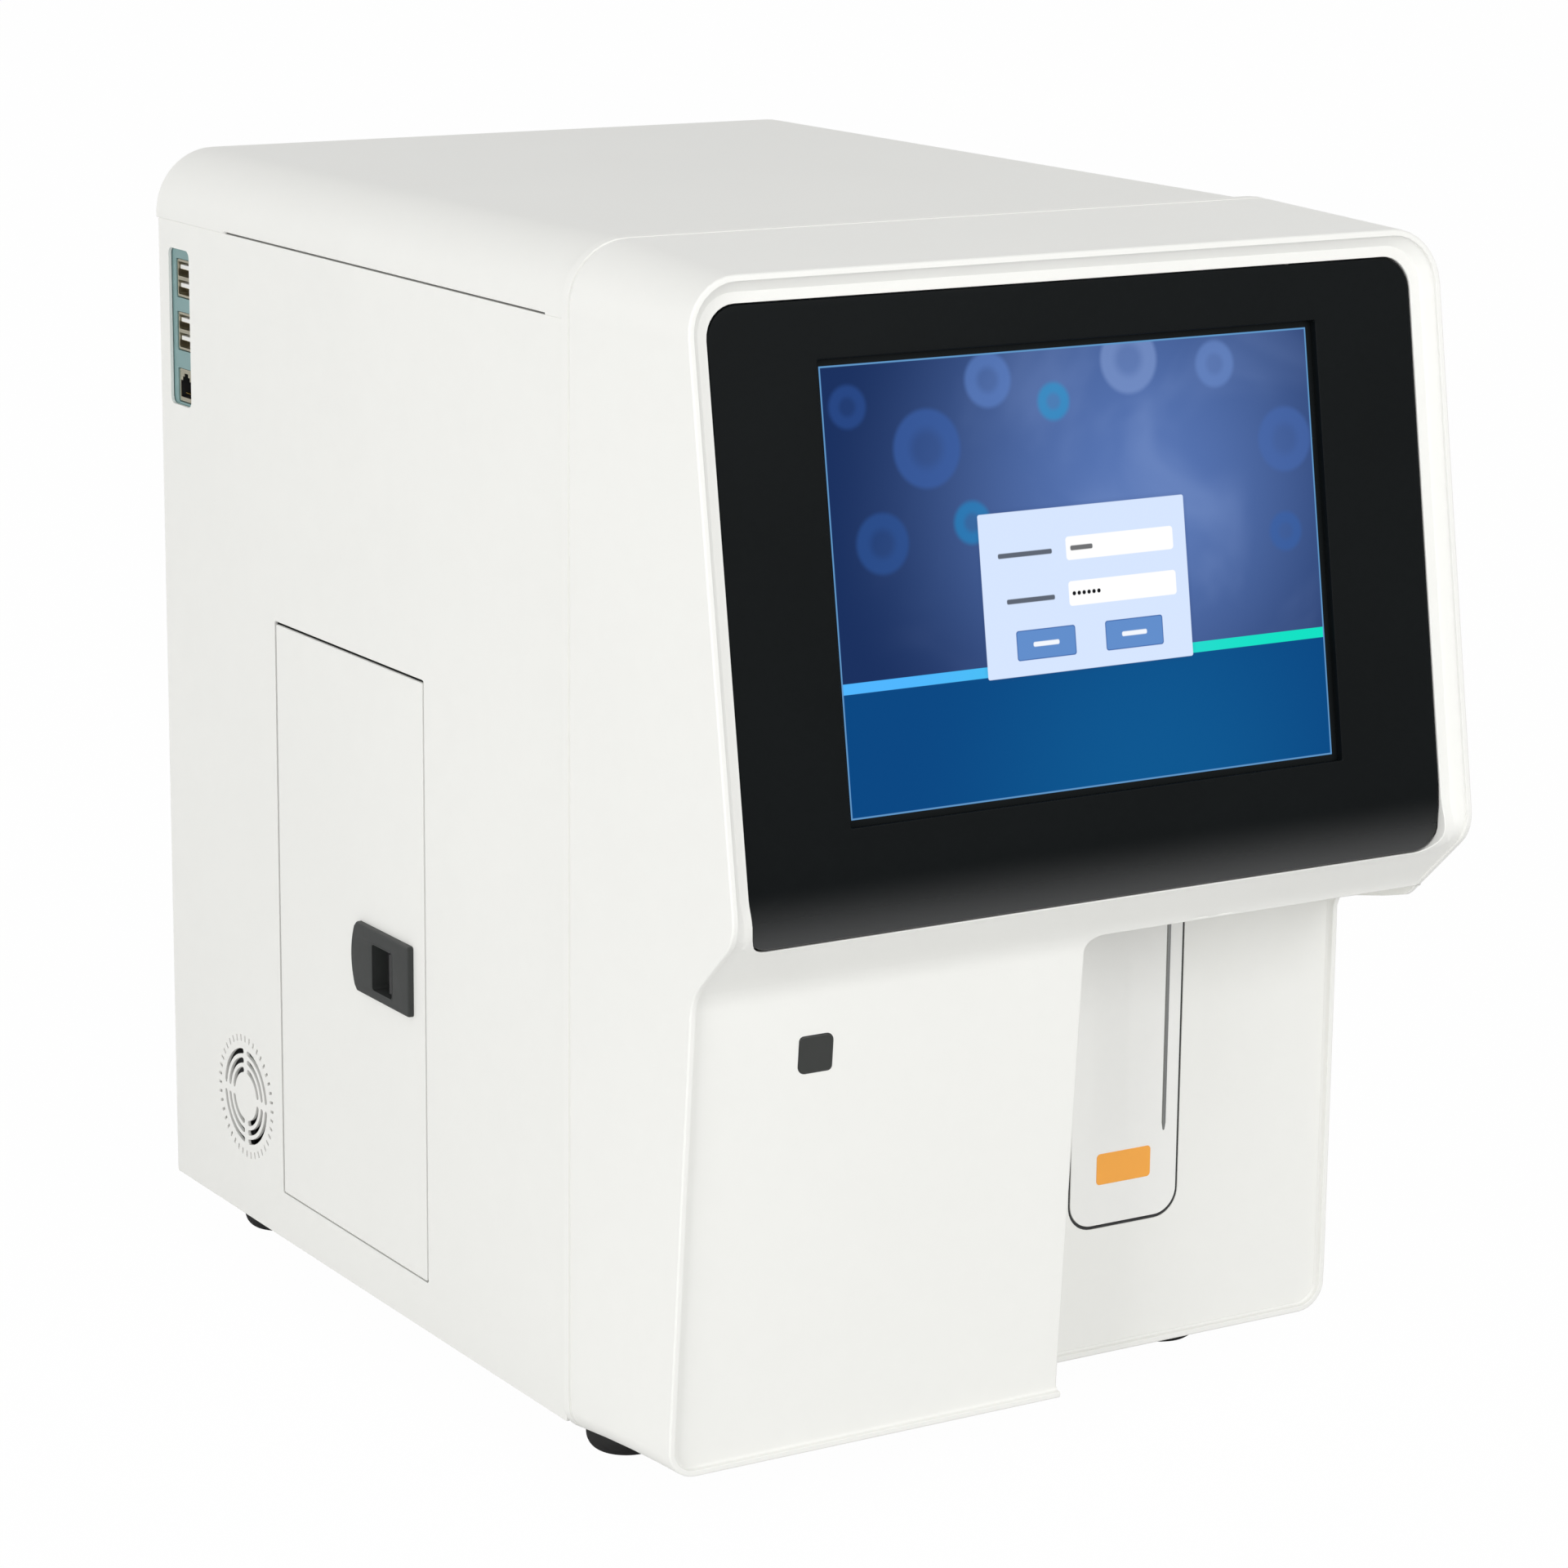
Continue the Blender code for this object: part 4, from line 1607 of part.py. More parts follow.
def electrics():
    """Main board on the right panel, power supply and the two pumps on the base."""
    x = MAIN_BOARD_X
    board = box("main_board", (x, MAIN_BOARD_FRONT, MAIN_BOARD_BOTTOM),
                (x + BOARD_THICKNESS, MAIN_BOARD_REAR, MAIN_BOARD_TOP))
    for y in (MAIN_BOARD_FRONT + STANDOFF_INSET, MAIN_BOARD_REAR - STANDOFF_INSET):
        for z in (MAIN_BOARD_BOTTOM + STANDOFF_INSET, MAIN_BOARD_TOP - STANDOFF_INSET):
            join(board, rod("standoff", (x + BOARD_THICKNESS / 2, y, z), (INNER_HALF, y, z),
                            STANDOFF_RADIUS, SMALL_SIDES))
    deep = MAIN_BOARD_REAR - MAIN_BOARD_FRONT
    tall = MAIN_BOARD_TOP - MAIN_BOARD_BOTTOM
    for name, low_share, high_share, height in BLOCK_SHARES:
        low = (x - height, MAIN_BOARD_FRONT + low_share[0] * deep,
               MAIN_BOARD_BOTTOM + low_share[1] * tall)
        high = (x + BOARD_THICKNESS / 2, MAIN_BOARD_FRONT + high_share[0] * deep,
                MAIN_BOARD_BOTTOM + high_share[1] * tall)
        join(board, box(name, low, high))
    part(board, "green_board")

    bottom = BASE_TOP + FIT_GAP
    supply = box("power_supply", (PSU_LEFT, PSU_FRONT, bottom),
                 (PSU_LEFT + PSU_WIDTH, PSU_FRONT + PSU_LENGTH, bottom + PSU_HEIGHT))
    part(supply, "zinc_steel")

    for name, x in (("waste_pump", PUMP_X[0]), ("diluent_pump", PUMP_X[1])):
        half = PUMP_HEAD / 2
        head = box(name, (x - half, PUMP_Y, bottom), (x + half, PUMP_Y + PUMP_HEAD_LENGTH,
                                                      bottom + PUMP_HEAD))
        centre = bottom + half
        end = PUMP_Y + PUMP_HEAD_LENGTH + PUMP_MOTOR_LENGTH
        join(head, rod("pump_motor", (x, PUMP_Y + PUMP_HEAD_LENGTH / 2, centre), (x, end, centre),
                       PUMP_MOTOR_RADIUS, SMALL_SIDES))
        cradle = end - PUMP_CRADLE_INSET
        join(head, box("pump_cradle", (x - half, cradle - PUMP_CRADLE, bottom),
                       (x + half, cradle, centre)))
        part(head, "motor_black")


def rear_fittings():
    """Power inlet with its rocker switch, and the hose fittings."""
    face = CABINET_REAR
    thick = INLET_FLANGE_THICKNESS
    half_width = INLET_FLANGE_WIDTH / 2
    half_height = INLET_FLANGE_HEIGHT / 2
    seat = face + FIT_GAP
    outer = seat + thick
    inlet = box("power_inlet", (INLET_X - half_width, seat, INLET_Z - half_height),
                (INLET_X + half_width, outer, INLET_Z + half_height))
    neck = half_width - thick * 2
    tall = half_height - thick
    join(inlet, box("inlet_body", (INLET_X - neck, face - INLET_BODY_DEPTH, INLET_Z - tall),
                    (INLET_X + neck, seat + thick / 2, INLET_Z + tall)))
    cavity_z = INLET_Z - INLET_CAVITY_DROP
    half = INLET_CAVITY_WIDTH / 2
    high = INLET_CAVITY_HEIGHT / 2
    chamfer = high / 3
    corners = ((-half, -high), (half, -high), (half, high - chamfer), (half - chamfer, high),
               (chamfer - half, high), (-half, high - chamfer))
    cavity = prism("inlet_cavity", corners, ALONG_Y, -outer - OVERRUN,
                   INLET_CAVITY_DEPTH - outer, Vector((INLET_X, 0, cavity_z)))
    cut(inlet, cavity)
    floor = outer - INLET_CAVITY_DEPTH
    for shift, rise in ((-INLET_PIN_SPACING, 0), (0, INLET_PIN_RISE), (INLET_PIN_SPACING, 0)):
        x = INLET_X + shift
        z = cavity_z - INLET_PIN_RISE / 2 + rise
        join(inlet, box("inlet_pin", (x - INLET_PIN_WIDTH / 2, floor - FIT_GAP,
                                      z - INLET_PIN_HEIGHT / 2),
                        (x + INLET_PIN_WIDTH / 2, floor + INLET_PIN_LENGTH,
                         z + INLET_PIN_HEIGHT / 2)))
    rocker_z = INLET_Z + ROCKER_RISE
    gap = ROCKER_WELL_GAP
    well = box("rocker_well", (INLET_X - ROCKER_WIDTH / 2 - FIT_GAP, outer - ROCKER_DEPTH - gap,
                               rocker_z - ROCKER_HEIGHT / 2 - gap),
               (INLET_X + ROCKER_WIDTH / 2 + FIT_GAP, outer + OVERRUN,
                rocker_z + ROCKER_HEIGHT / 2 + gap))
    cut(inlet, well)
    part(inlet, "black_plastic")

    pivot_y = outer - ROCKER_DEPTH / 2
    top = ROCKER_HEIGHT / 2
    proud = outer + ROCKER_PROUD - pivot_y
    flat = ROCKER_PROUD / 2
    inward = -ROCKER_DEPTH / 2
    corners = ((inward, -top / 2), (proud - ROCKER_PROUD, -top), (proud - flat, -top),
               (flat, 0), (proud, top), (proud - ROCKER_PROUD, top), (inward, top / 2))
    rocker = prism("power_rocker", corners, ALONG_X, INLET_X - ROCKER_WIDTH / 2,
                   INLET_X + ROCKER_WIDTH / 2, Vector((0, pivot_y, rocker_z)))
    part(rocker, "black_plastic", (INLET_X, pivot_y, rocker_z))

    out = Vector((0, 1, 0))
    half = BULKHEAD_HEIGHT / 2
    bulkhead = box("hose_bulkhead", (FITTING_X[0] - half, seat, FITTING_Z - half),
                   (FITTING_X[-1] + half, seat + BULKHEAD_THICKNESS, FITTING_Z + half))
    for x in FITTING_X:
        base = Vector((x, seat, FITTING_Z))
        join(bulkhead, rod("fitting_shank", base - out * FITTING_THREAD_LENGTH, base + out * FIT_GAP,
                           FITTING_THREAD_RADIUS, SMALL_SIDES))
        join(bulkhead, cone("barb", base, base + out * (FITTING_PROUD - FIT_GAP),
                            FITTING_BARB_RADIUS, FITTING_BARB_RADIUS / 2, SMALL_SIDES))
    part(bulkhead, "grey_plastic")


def feet():
    """Four black domed feet, flat where they meet the bench."""
    top = FOOT_HEIGHT - FIT_GAP
    flat = FOOT_FACE_RADIUS
    profile = [(0, top)]
    for step in range(ARC_STEPS + 1):
        angle = math.pi / 2 * step / ARC_STEPS
        radius = flat + (FOOT_RADIUS - flat) * math.cos(angle)
        profile.append((radius, top / 2 - top / 2 * math.sin(angle)))
    profile.insert(1, (FOOT_RADIUS, top))
    profile.append((0, 0))
    for name, x, y in (("foot_front_left", -FOOT_X, FOOT_FRONT_Y),
                       ("foot_front_right", FOOT_X, FOOT_FRONT_Y),
                       ("foot_rear_left", -FOOT_X, FOOT_REAR_Y),
                       ("foot_rear_right", FOOT_X, FOOT_REAR_Y)):
        part(turned(name, profile, (x, y, 0), ROUND_SIDES), "rubber")


def main():
    """Build every piece of the machine."""
    chassis()
    side_panels()
    top_cover()
    front_cover()
    display()
    status_lamp()
    service_door()
    door_hinge_pins()
    door_latch()
    reagent_compartment()
    ports()
    fans()
    start_key()
    sampler()
    fluidics()
    electrics()
    rear_fittings()
    feet()
    for item in PARTS.objects:
        smooth(item)


main()
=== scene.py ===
"""Looks of a bench-top blood cell analyzer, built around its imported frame.

+X is to the right of a person who faces the screen, +Y goes to the back and +Z is up.
Lengths are metres unless a name says otherwise, and angles are radians.
Every piece lies in the frame's own coordinates, with its object at the origin.
"""

from __future__ import annotations

import logging
import math
from dataclasses import dataclass, field, replace
from enum import Enum
from functools import lru_cache
from typing import Callable, Iterable, Optional, Sequence, Union

import bmesh
import bpy
import numpy as np
from mathutils import Matrix, Vector


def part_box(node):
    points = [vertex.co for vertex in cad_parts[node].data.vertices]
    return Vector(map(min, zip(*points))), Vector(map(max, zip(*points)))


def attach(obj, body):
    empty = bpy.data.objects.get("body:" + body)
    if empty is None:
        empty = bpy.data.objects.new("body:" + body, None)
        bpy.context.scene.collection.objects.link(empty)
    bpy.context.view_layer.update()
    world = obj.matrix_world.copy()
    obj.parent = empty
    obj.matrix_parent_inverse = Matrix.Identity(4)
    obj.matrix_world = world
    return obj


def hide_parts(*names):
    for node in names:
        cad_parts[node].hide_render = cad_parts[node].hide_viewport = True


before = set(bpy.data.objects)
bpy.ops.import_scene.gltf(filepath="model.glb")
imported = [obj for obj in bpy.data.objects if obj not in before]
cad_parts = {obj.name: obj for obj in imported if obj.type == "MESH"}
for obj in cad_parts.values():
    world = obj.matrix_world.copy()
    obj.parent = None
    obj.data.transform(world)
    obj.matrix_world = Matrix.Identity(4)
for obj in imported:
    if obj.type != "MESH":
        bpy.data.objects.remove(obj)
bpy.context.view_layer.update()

LOG = logging.getLogger("analyzer")
Array = np.ndarray
Pair = tuple[float, float]
Triple = tuple[float, float, float]
Four = tuple[float, float, float, float]
Radii = Union[float, Sequence[float]]
Value = Union[float, Sequence[float], "Socket"]
Piece = bpy.types.Object

MM = 0.001
WELD = 0.000002
WHITE = (1.0, 1.0, 1.0)
LEFT_TURN = np.array([[0, 1], [-1, 0]])


def node_box(name: str) -> tuple[Array, Array, Array]:
    """Give the lowest corner, the middle and the size of a node of the frame."""
    low, high = (np.array(point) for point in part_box(name))
    return low, (low + high) / 2, high - low


def unit(rows: Array) -> Array:
    """Scale vectors to a length of 1."""
    return rows / np.linalg.norm(rows, axis=-1, keepdims=True)


def quarter(steps: int) -> Array:
    """Give equal steps of angle from 0 to a right angle, both ends included."""
    return np.linspace(0, math.pi / 2, steps + 1)


def turning(steps: int, radius: float = 1.0) -> Array:
    """Give rows of radius times (1 - cos a, 1 - sin a) for equal steps of a quarter turn."""
    return radius * (1 - polar(1.0, quarter(steps)))


def polar(radius: Union[float, Array], angle: Union[float, Array]) -> Array:
    """Give points about the origin: radius times (cos a, sin a)."""
    return np.stack([radius * np.cos(angle), radius * np.sin(angle)], -1)


def ease(value: Union[float, Array], low: float, high: float) -> Array:
    """Rise smoothly from 0 at low to 1 at high: the share t of the way gives 3 t^2 - 2 t^3."""
    share = np.clip((np.asarray(value, float) - low) / (high - low), 0, 1)
    return share * share * (3 - 2 * share)


def rounded(corners: Iterable[Sequence[float]], radii: Sequence[float], steps: int = 8) -> Array:
    """Round the corners of an outline with arcs.

    At a corner with the half angle h between its sides, an arc of radius r touches both sides at
    r / tan h from the corner, about a centre at r / sin h along the bisector.

    Args:
        corners: Corner points in order. Both ends of an open outline are sharp.
        radii: One radius for each corner, or zero for a sharp one.
        steps: Chords of each arc.

    Returns:
        Points in order, one row each.
    """
    points = [np.array(corner, float) for corner in corners]
    rows = []
    for index, radius in enumerate(radii):
        here = points[index]
        if radius <= 0:
            rows.append(here[None])
            continue
        back = unit(points[index - 1] - here)
        ahead = unit(points[(index + 1) % len(points)] - here)
        half = math.acos(max(-1.0, min(1.0, float(back @ ahead)))) / 2
        centre = here + unit(back + ahead) * radius / math.sin(half)
        start, end = (here + way * radius / math.tan(half) - centre for way in (back, ahead))
        sweep = math.pi - 2 * half
        share = np.linspace(0, 1, steps + 1)[:, None]
        arc = np.sin((1 - share) * sweep) * start + np.sin(share * sweep) * end
        rows.append(centre + arc / math.sin(sweep))
    return np.vstack(rows)


def rectangle(left: float, right: float, low: float, high: float, radii: Radii, steps: int = 8) -> Array:
    """Give a rounded rectangle that turns left, with one radius or four from the lower left on."""
    four = (radii,) * 4 if isinstance(radii, (int, float)) else radii
    return rounded(((left, low), (right, low), (right, high), (left, high)), four, steps)


def centred(middle: Pair, half: Pair, radii: Radii, steps: int) -> Array:
    """Give a rounded rectangle from its middle and its half width and half height."""
    (x, y), (width, height) = middle, half
    return rectangle(x - width, x + width, y - height, y + height, radii, steps)


def framed(outline: Array, run: int) -> Array:
    """Add points along the straight sides of a rounded rectangle.

    Args:
        outline: The rounded rectangle.
        run: Points along each side.

    Returns:
        Points in order, one row each.
    """
    arcs = outline.reshape(4, -1, 2)
    starts, ends = arcs[:, -1:], np.roll(arcs[:, :1], -1, 0)
    share = np.linspace(0, 1, run + 2)[1:-1, None]
    return np.hstack([arcs, starts + share * (ends - starts)]).reshape(-1, 2)


def ring_slot(inner: float, outer: float, start: float, end: float) -> Array:
    """Give a slot bent round the origin: two arcs, joined by half circles about its middle line.

    Args:
        inner, outer: Radii of its two sides.
        start, end: Angles of the half circles' centres.

    Returns:
        Points in order, one row each.
    """
    middle, half = (outer + inner) / 2, (outer - inner) / 2
    there = np.linspace(start, end, 11)
    turn = np.linspace(0, math.pi, 7)[1:-1]
    return np.vstack([polar(outer, there), polar(middle, end) + polar(half, end + turn),
                      polar(inner, there[::-1]), polar(middle, start) - polar(half, start + turn)])


def grille(radii: Sequence[float], slot: float, spoke: float, middle: Pair, turn: float = 0.0) -> list:
    """Give curved slots in rings, parted by four spokes.

    Args:
        radii: Radii of the rings' middle lines.
        slot, spoke: Widths of the slots and of the spokes.
        middle: Middle of the rings.
        turn: Angle of the first spoke.

    Returns:
        The slots' outlines.
    """
    made = []
    for radius in radii:
        end = math.asin(spoke / 2 / radius) + slot / 2 / radius
        for start in turn + math.pi / 2 * np.arange(4):
            outline = ring_slot(radius - slot / 2, radius + slot / 2, start + end,
                                start + math.pi / 2 - end)
            made.append(outline + middle)
    return made


def inset(outline: Array, distance: float) -> Array:
    """Move a closed outline that turns left inwards.

    Each point moves along the bisector of its two sides by distance / cos h, where h is half the
    turn there.

    Args:
        outline: Points in order.
        distance: How far each side moves.

    Returns:
        The moved points.
    """
    before = unit(outline - np.roll(outline, 1, 0))
    after = unit(np.roll(outline, -1, 0) - outline)
    middle = unit(before + after)
    spread = np.clip(np.sum(middle * after, 1, keepdims=True), 0.35, 1.0)
    return outline + middle @ LEFT_TURN * (distance / spread)


@dataclass(frozen=True)
class Place:
    """A flat place in the world: the directions across, up and out of it, and its origin."""

    across: Triple
    up: Triple
    out: Triple
    origin: Triple = (0.0, 0.0, 0.0)

    def at(self, across: Array, up: Array, out: Union[Array, float]) -> Array:
        """Turn coordinates of the place into world points: origin + a across + u up + o out."""
        parts = np.stack(np.broadcast_arrays(across, up, out), -1)
        return parts @ np.array([self.across, self.up, self.out], float) + self.origin

    def moved(self, x: float, y: float, z: float) -> Place:
        """Give the same directions from another origin."""
        return replace(self, origin=(x, y, z))

    def matrix(self) -> Matrix:
        """Give the place as a matrix."""
        return Matrix([*zip(self.across, self.up, self.out, self.origin), (0, 0, 0, 1)])


LEFT = Place((0, 1, 0), (0, 0, 1), (-1, 0, 0))
RIGHT = Place((0, 1, 0), (0, 0, 1), (1, 0, 0))
FRONT = Place((1, 0, 0), (0, 0, 1), (0, -1, 0))
REAR = Place((1, 0, 0), (0, 0, 1), (0, 1, 0))
TOP = Place((1, 0, 0), (0, 1, 0), (0, 0, 1))


def carried(outline: Array, place: Place, rows: Iterable[Pair]) -> Array:
    """Carry an outline along a profile of (inset, depth), with one ring for each row."""
    return np.stack([place.at(*inset(outline, step).T, depth) for step, depth in rows])


def tidy_mesh(mesh: bpy.types.Mesh, sharp: float, weld: float) -> None:
    """Merge doubles, drop empty faces, point faces outwards and shade round faces smooth.

    Args:
        mesh: The mesh to tidy.
        sharp: Angle in degrees past which an edge stays sharp.
        weld: Distance under which points become one.
    """
    work = bmesh.new()
    work.from_mesh(mesh)
    bmesh.ops.remove_doubles(work, verts=work.verts, dist=weld)
    bmesh.ops.dissolve_degenerate(work, edges=work.edges, dist=weld)
    loose = [vert for vert in work.verts if not vert.link_faces]
    bmesh.ops.delete(work, geom=loose, context="VERTS")
    bmesh.ops.recalc_face_normals(work, faces=work.faces)
    middle = sum((vert.co for vert in work.verts), Vector()) / len(work.verts)
    if sum(face.calc_area() * face.normal.dot(face.calc_center_median() - middle)
           for face in work.faces) < 0:
        bmesh.ops.reverse_faces(work, faces=work.faces)
    work.to_mesh(mesh)
    work.free()
    shade(mesh, sharp)


def shade(mesh: bpy.types.Mesh, sharp: float = 32.0) -> None:
    """Shade a mesh smooth, apart from its sharp edges.

    Args:
        mesh: The mesh to shade.
        sharp: Angle in degrees past which an edge stays sharp.
    """
    mesh.shade_smooth()
    mesh.set_sharp_from_angle(angle=math.radians(sharp))
    mesh.update()


def link(name: str, data: bpy.types.ID) -> Piece:
    """Give a mesh, curve, lamp or camera an object of that name in the scene.

    Args:
        name: Name of the object.
        data: What it shows.

    Returns:
        The new object.
    """
    item = bpy.data.objects.new(name, data)
    bpy.context.scene.collection.objects.link(item)
    return item


class Shell:
    """Collects grids of points and flat caps, and makes one mesh of them."""

    def __init__(self, name: str) -> None:
        """Start an empty shell.

        Args:
            name: Name of the piece.
        """
        self.name = name
        self.points: list[Array] = []
        self.faces: list[list[int]] = []
        self.count = 0

    def grid(self, points: Array, wrap_rows: bool = False, wrap_columns: bool = False,
             keep: Union[Array, slice] = slice(None)) -> Shell:
        """Join a grid of points with four-sided faces.

        Args:
            points: Rows by columns by three coordinates.
            wrap_rows: Whether the last row joins the first.
            wrap_columns: Whether the last column joins the first.
            keep: Which faces are made, if not all.

        Returns:
            The shell itself.
        """
        rows, columns = points.shape[:2]
        index = self.count + np.arange(rows * columns).reshape(rows, columns)
        index = np.pad(index, ((0, int(wrap_rows)), (0, int(wrap_columns))), mode="wrap")
        quads = np.stack([index[:-1, :-1], index[1:, :-1], index[1:, 1:], index[:-1, 1:]], -1)
        self.points.append(points.reshape(-1, 3))
        self.faces.extend(quads[keep].reshape(-1, 4).tolist())
        self.count += rows * columns
        return self

    def cap(self, ring: Array) -> Shell:
        """Close a flat ring of points with one face.

        Args:
            ring: The points in order.

        Returns:
            The shell itself.
        """
        self.points.append(ring)
        self.faces.append(list(range(self.count, self.count + len(ring))))
        self.count += len(ring)
        return self

    def tube(self, rings: Array) -> Shell:
        """Join closed rings, one row each, and close both ends."""
        return self.grid(rings, wrap_columns=True).cap(rings[0]).cap(rings[-1])

    def loop(self, rings: Array) -> Shell:
        """Join closed rings, the last one to the first."""
        return self.grid(rings, wrap_rows=True, wrap_columns=True)

    def slab(self, outline: Array, place: Place, back: float, front: float, edge: float,
             back_edge: float, steps: int = 4) -> Shell:
        """Add a solid plate with rounded edges.

        The outline is carried along a profile of (inset, depth): from the back face, out over a
        quarter round, up the side and over the front's quarter round.

        Args:
            outline: Closed outline that turns left.
            place: Where it lies.
            back, front: Depths of its faces, along the place's out direction.
            edge, back_edge: Radii of its front and back edges.
            steps: Chords of each quarter round.

        Returns:
            The shell itself.
        """
        fall, rise = turning(steps).T
        insets = np.hstack([back_edge * rise, edge * fall])
        depths = np.hstack([back + back_edge * fall, front - edge * rise])
        return self.tube(carried(outline, place, zip(insets, depths)))

    def block(self, low: Sequence[float], high: Sequence[float], edge: float = 0.0004) -> Shell:
        """Add a block with rounded edges, between its lowest and its highest corner."""
        outline = rectangle(low[0], high[0], low[1], high[1], edge * 1.5, 3)
        return self.slab(outline, TOP, low[2], high[2], edge, edge, 3)

    def lathe(self, profile: Iterable[Pair], place: Place, steps: int) -> Shell:
        """Add a turned surface: a profile of (radius, depth) carried round the out direction.

        The point at angle a is radius cos a across, radius sin a up and depth out.

        Args:
            profile: Rows of radius and depth, from one end to the other.
            place: Its middle line.
            steps: Points round it.

        Returns:
            The shell itself.
        """
        radius, depth = np.array(profile, float).T[:, :, None]
        angle = np.linspace(0, 2 * math.pi, steps, endpoint=False)
        rings = place.at(radius * np.cos(angle), radius * np.sin(angle), depth)
        self.grid(rings, wrap_columns=True)
        for end in (0, -1):
            if radius[end, 0] > WELD:
                self.cap(rings[end])
        return self

    def build(self, sharp: float = 32.0, weld: float = WELD) -> Piece:
        """Make the object.

        Args:
            sharp: Angle in degrees past which an edge stays sharp.
            weld: Distance under which points become one.

        Returns:
            The new object.
        """
        mesh = bpy.data.meshes.new(self.name)
        mesh.from_pydata(np.vstack(self.points).tolist(), [], self.faces)
        tidy_mesh(mesh, sharp, weld)
        return link(self.name, mesh)


def plate(name: str, outline: Array, place: Place, back: float, front: float, edge: float = 0.0003,
          holes: Iterable[Array] = ()) -> Piece:
    """Flat plate with holes, whose edges are all rounded alike.

    A flat curve holds the outline and the holes, is thickened along its normal and is rounded by
    its bevel, which its offset draws back so that the outline keeps its size.

    Args:
        name: Name of the piece.
        outline: Closed outline.
        place: Where it lies.
        back, front: Depths of its faces, along the place's out direction.
        edge: Radius of its edges.
        holes: Closed outlines of the holes.

    Returns:
        The new object.
    """
    curve = bpy.data.curves.new(name, "CURVE")
    curve.dimensions = "2D"
    curve.fill_mode = "BOTH"
    curve.extrude = (front - back) / 2 - edge
    curve.bevel_depth = edge
    curve.bevel_resolution = 1
    curve.offset = -edge
    for points in (outline, *holes):
        spline = curve.splines.new("POLY")
        spline.points.add(len(points) - 1)
        flat = np.pad(points, ((0, 0), (0, 2))) + (0, 0, 0, 1)
        spline.points.foreach_set("co", flat.astype(np.float32).ravel())
        spline.use_cyclic_u = True
    guide = link(name, curve)
    bpy.context.view_layer.update()
    seen = guide.evaluated_get(bpy.context.evaluated_depsgraph_get())
    mesh = bpy.data.meshes.new_from_object(seen)
    bpy.data.objects.remove(guide, do_unlink=True)
    bpy.data.curves.remove(curve)
    mesh.transform(place.matrix() @ Matrix.Translation((0, 0, (front + back) / 2)))
    mesh.name = name
    tidy_mesh(mesh, 32.0, 0.00001)
    return link(name, mesh)


def refined(node: str, bevel: float) -> Piece:
    """Copy a node of the frame with its flat faces merged and its edges rounded.

    Args:
        node: Name of the node.
        bevel: Width of the rounding, or zero for none.

    Returns:
        The new object, which isn't placed on a body yet.
    """
    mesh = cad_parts[node].data.copy()
    work = bmesh.new()
    work.from_mesh(mesh)
    bmesh.ops.remove_doubles(work, verts=work.verts, dist=0.00002)
    bmesh.ops.dissolve_limit(work, angle_limit=math.radians(1.0), verts=work.verts, edges=work.edges)
    work.to_mesh(mesh)
    work.free()
    shade(mesh)
    item = link(node + "_look", mesh)
    if bevel > 0:
        step = item.modifiers.new("edges", "BEVEL")
        step.width = bevel
        step.segments = 2
        step.angle_limit = math.radians(40)
        step.harden_normals = True
    return item


def dress(item: Piece, material: bpy.types.Material) -> None:
    """Give an object one material."""
    item.data.materials.clear()
    item.data.materials.append(material)


def put(item: Piece, finish: Finish, node: str = "", slot: str = "",
        body: str = "cabinet") -> None:
    """Dress a piece, let it ride on a body and let it stand for a node of the frame.

    Args:
        item: The piece.
        finish: Its finish.
        node: Node that it stands for, if any.
        slot: Material slot of the record, if any; not used.
        body: Body it moves with.
    """
    dress(item, finish.material())
    item.modifiers.new("even_normals", "WEIGHTED_NORMAL").keep_sharp = True
    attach(item, body)
    if node:
        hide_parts(node)
    LOG.info("%s rides on %s", item.name, body)


def put_copies(*rows: tuple) -> None:
    """Put rounded copies of nodes, from rows of node, rounding, finish and maybe slot and body."""
    for node, bevel, finish, *rest in rows:
        put(refined(node, bevel), finish, node, *rest)


def srgb(red: int, green: int, blue: int) -> Triple:
    """Turn a colour of three whole numbers up to 255 into the shader's linear values.

    Args:
        red, green, blue: The numbers.

    Returns:
        The three linear values.
    """
    share = np.array([red, green, blue]) / 255
    line = np.where(share <= 0.04045, share / 12.92, ((share + 0.055) / 1.055) ** 2.4)
    return tuple(float(part) for part in line)


def math_method(operation: str, swapped: bool = False) -> Callable[..., Socket]:
    """Make a method of Socket that adds a Math node.

    Args:
        operation: The Math node's operation.
        swapped: Whether the other value comes first.

    Returns:
        The method.
    """

    def method(socket: Socket, other: Value = 0.0) -> Socket:
        """Add the Math node to the socket's graph."""
        pair = (other, socket) if swapped else (socket, other)
        return socket.graph.node("ShaderNodeMath", {"operation": operation}, dict(enumerate(pair)))

    return method


class Socket:
    """One output of a shader node, with the arithmetic that patterns need."""

    def __init__(self, graph: Graph, output: bpy.types.NodeSocket) -> None:
        """Wrap an output of a node of the graph."""
        self.graph = graph
        self.output = output

    __add__ = math_method("ADD")
    __radd__ = math_method("ADD", True)
    __sub__ = math_method("SUBTRACT")
    __rsub__ = math_method("SUBTRACT", True)
    __mul__ = math_method("MULTIPLY")
    __pow__ = math_method("POWER")
    __abs__ = math_method("ABSOLUTE")
    most = math_method("MAXIMUM")
    sine = math_method("SINE")

    def ramp(self, low: float, high: float) -> Socket:
        """Rise smoothly from 0 at low to 1 at high, or fall where low is above high."""
        return self.graph.node("ShaderNodeMapRange", {"interpolation_type": "SMOOTHSTEP"},
                               {"Value": self, "From Min": low, "From Max": high})


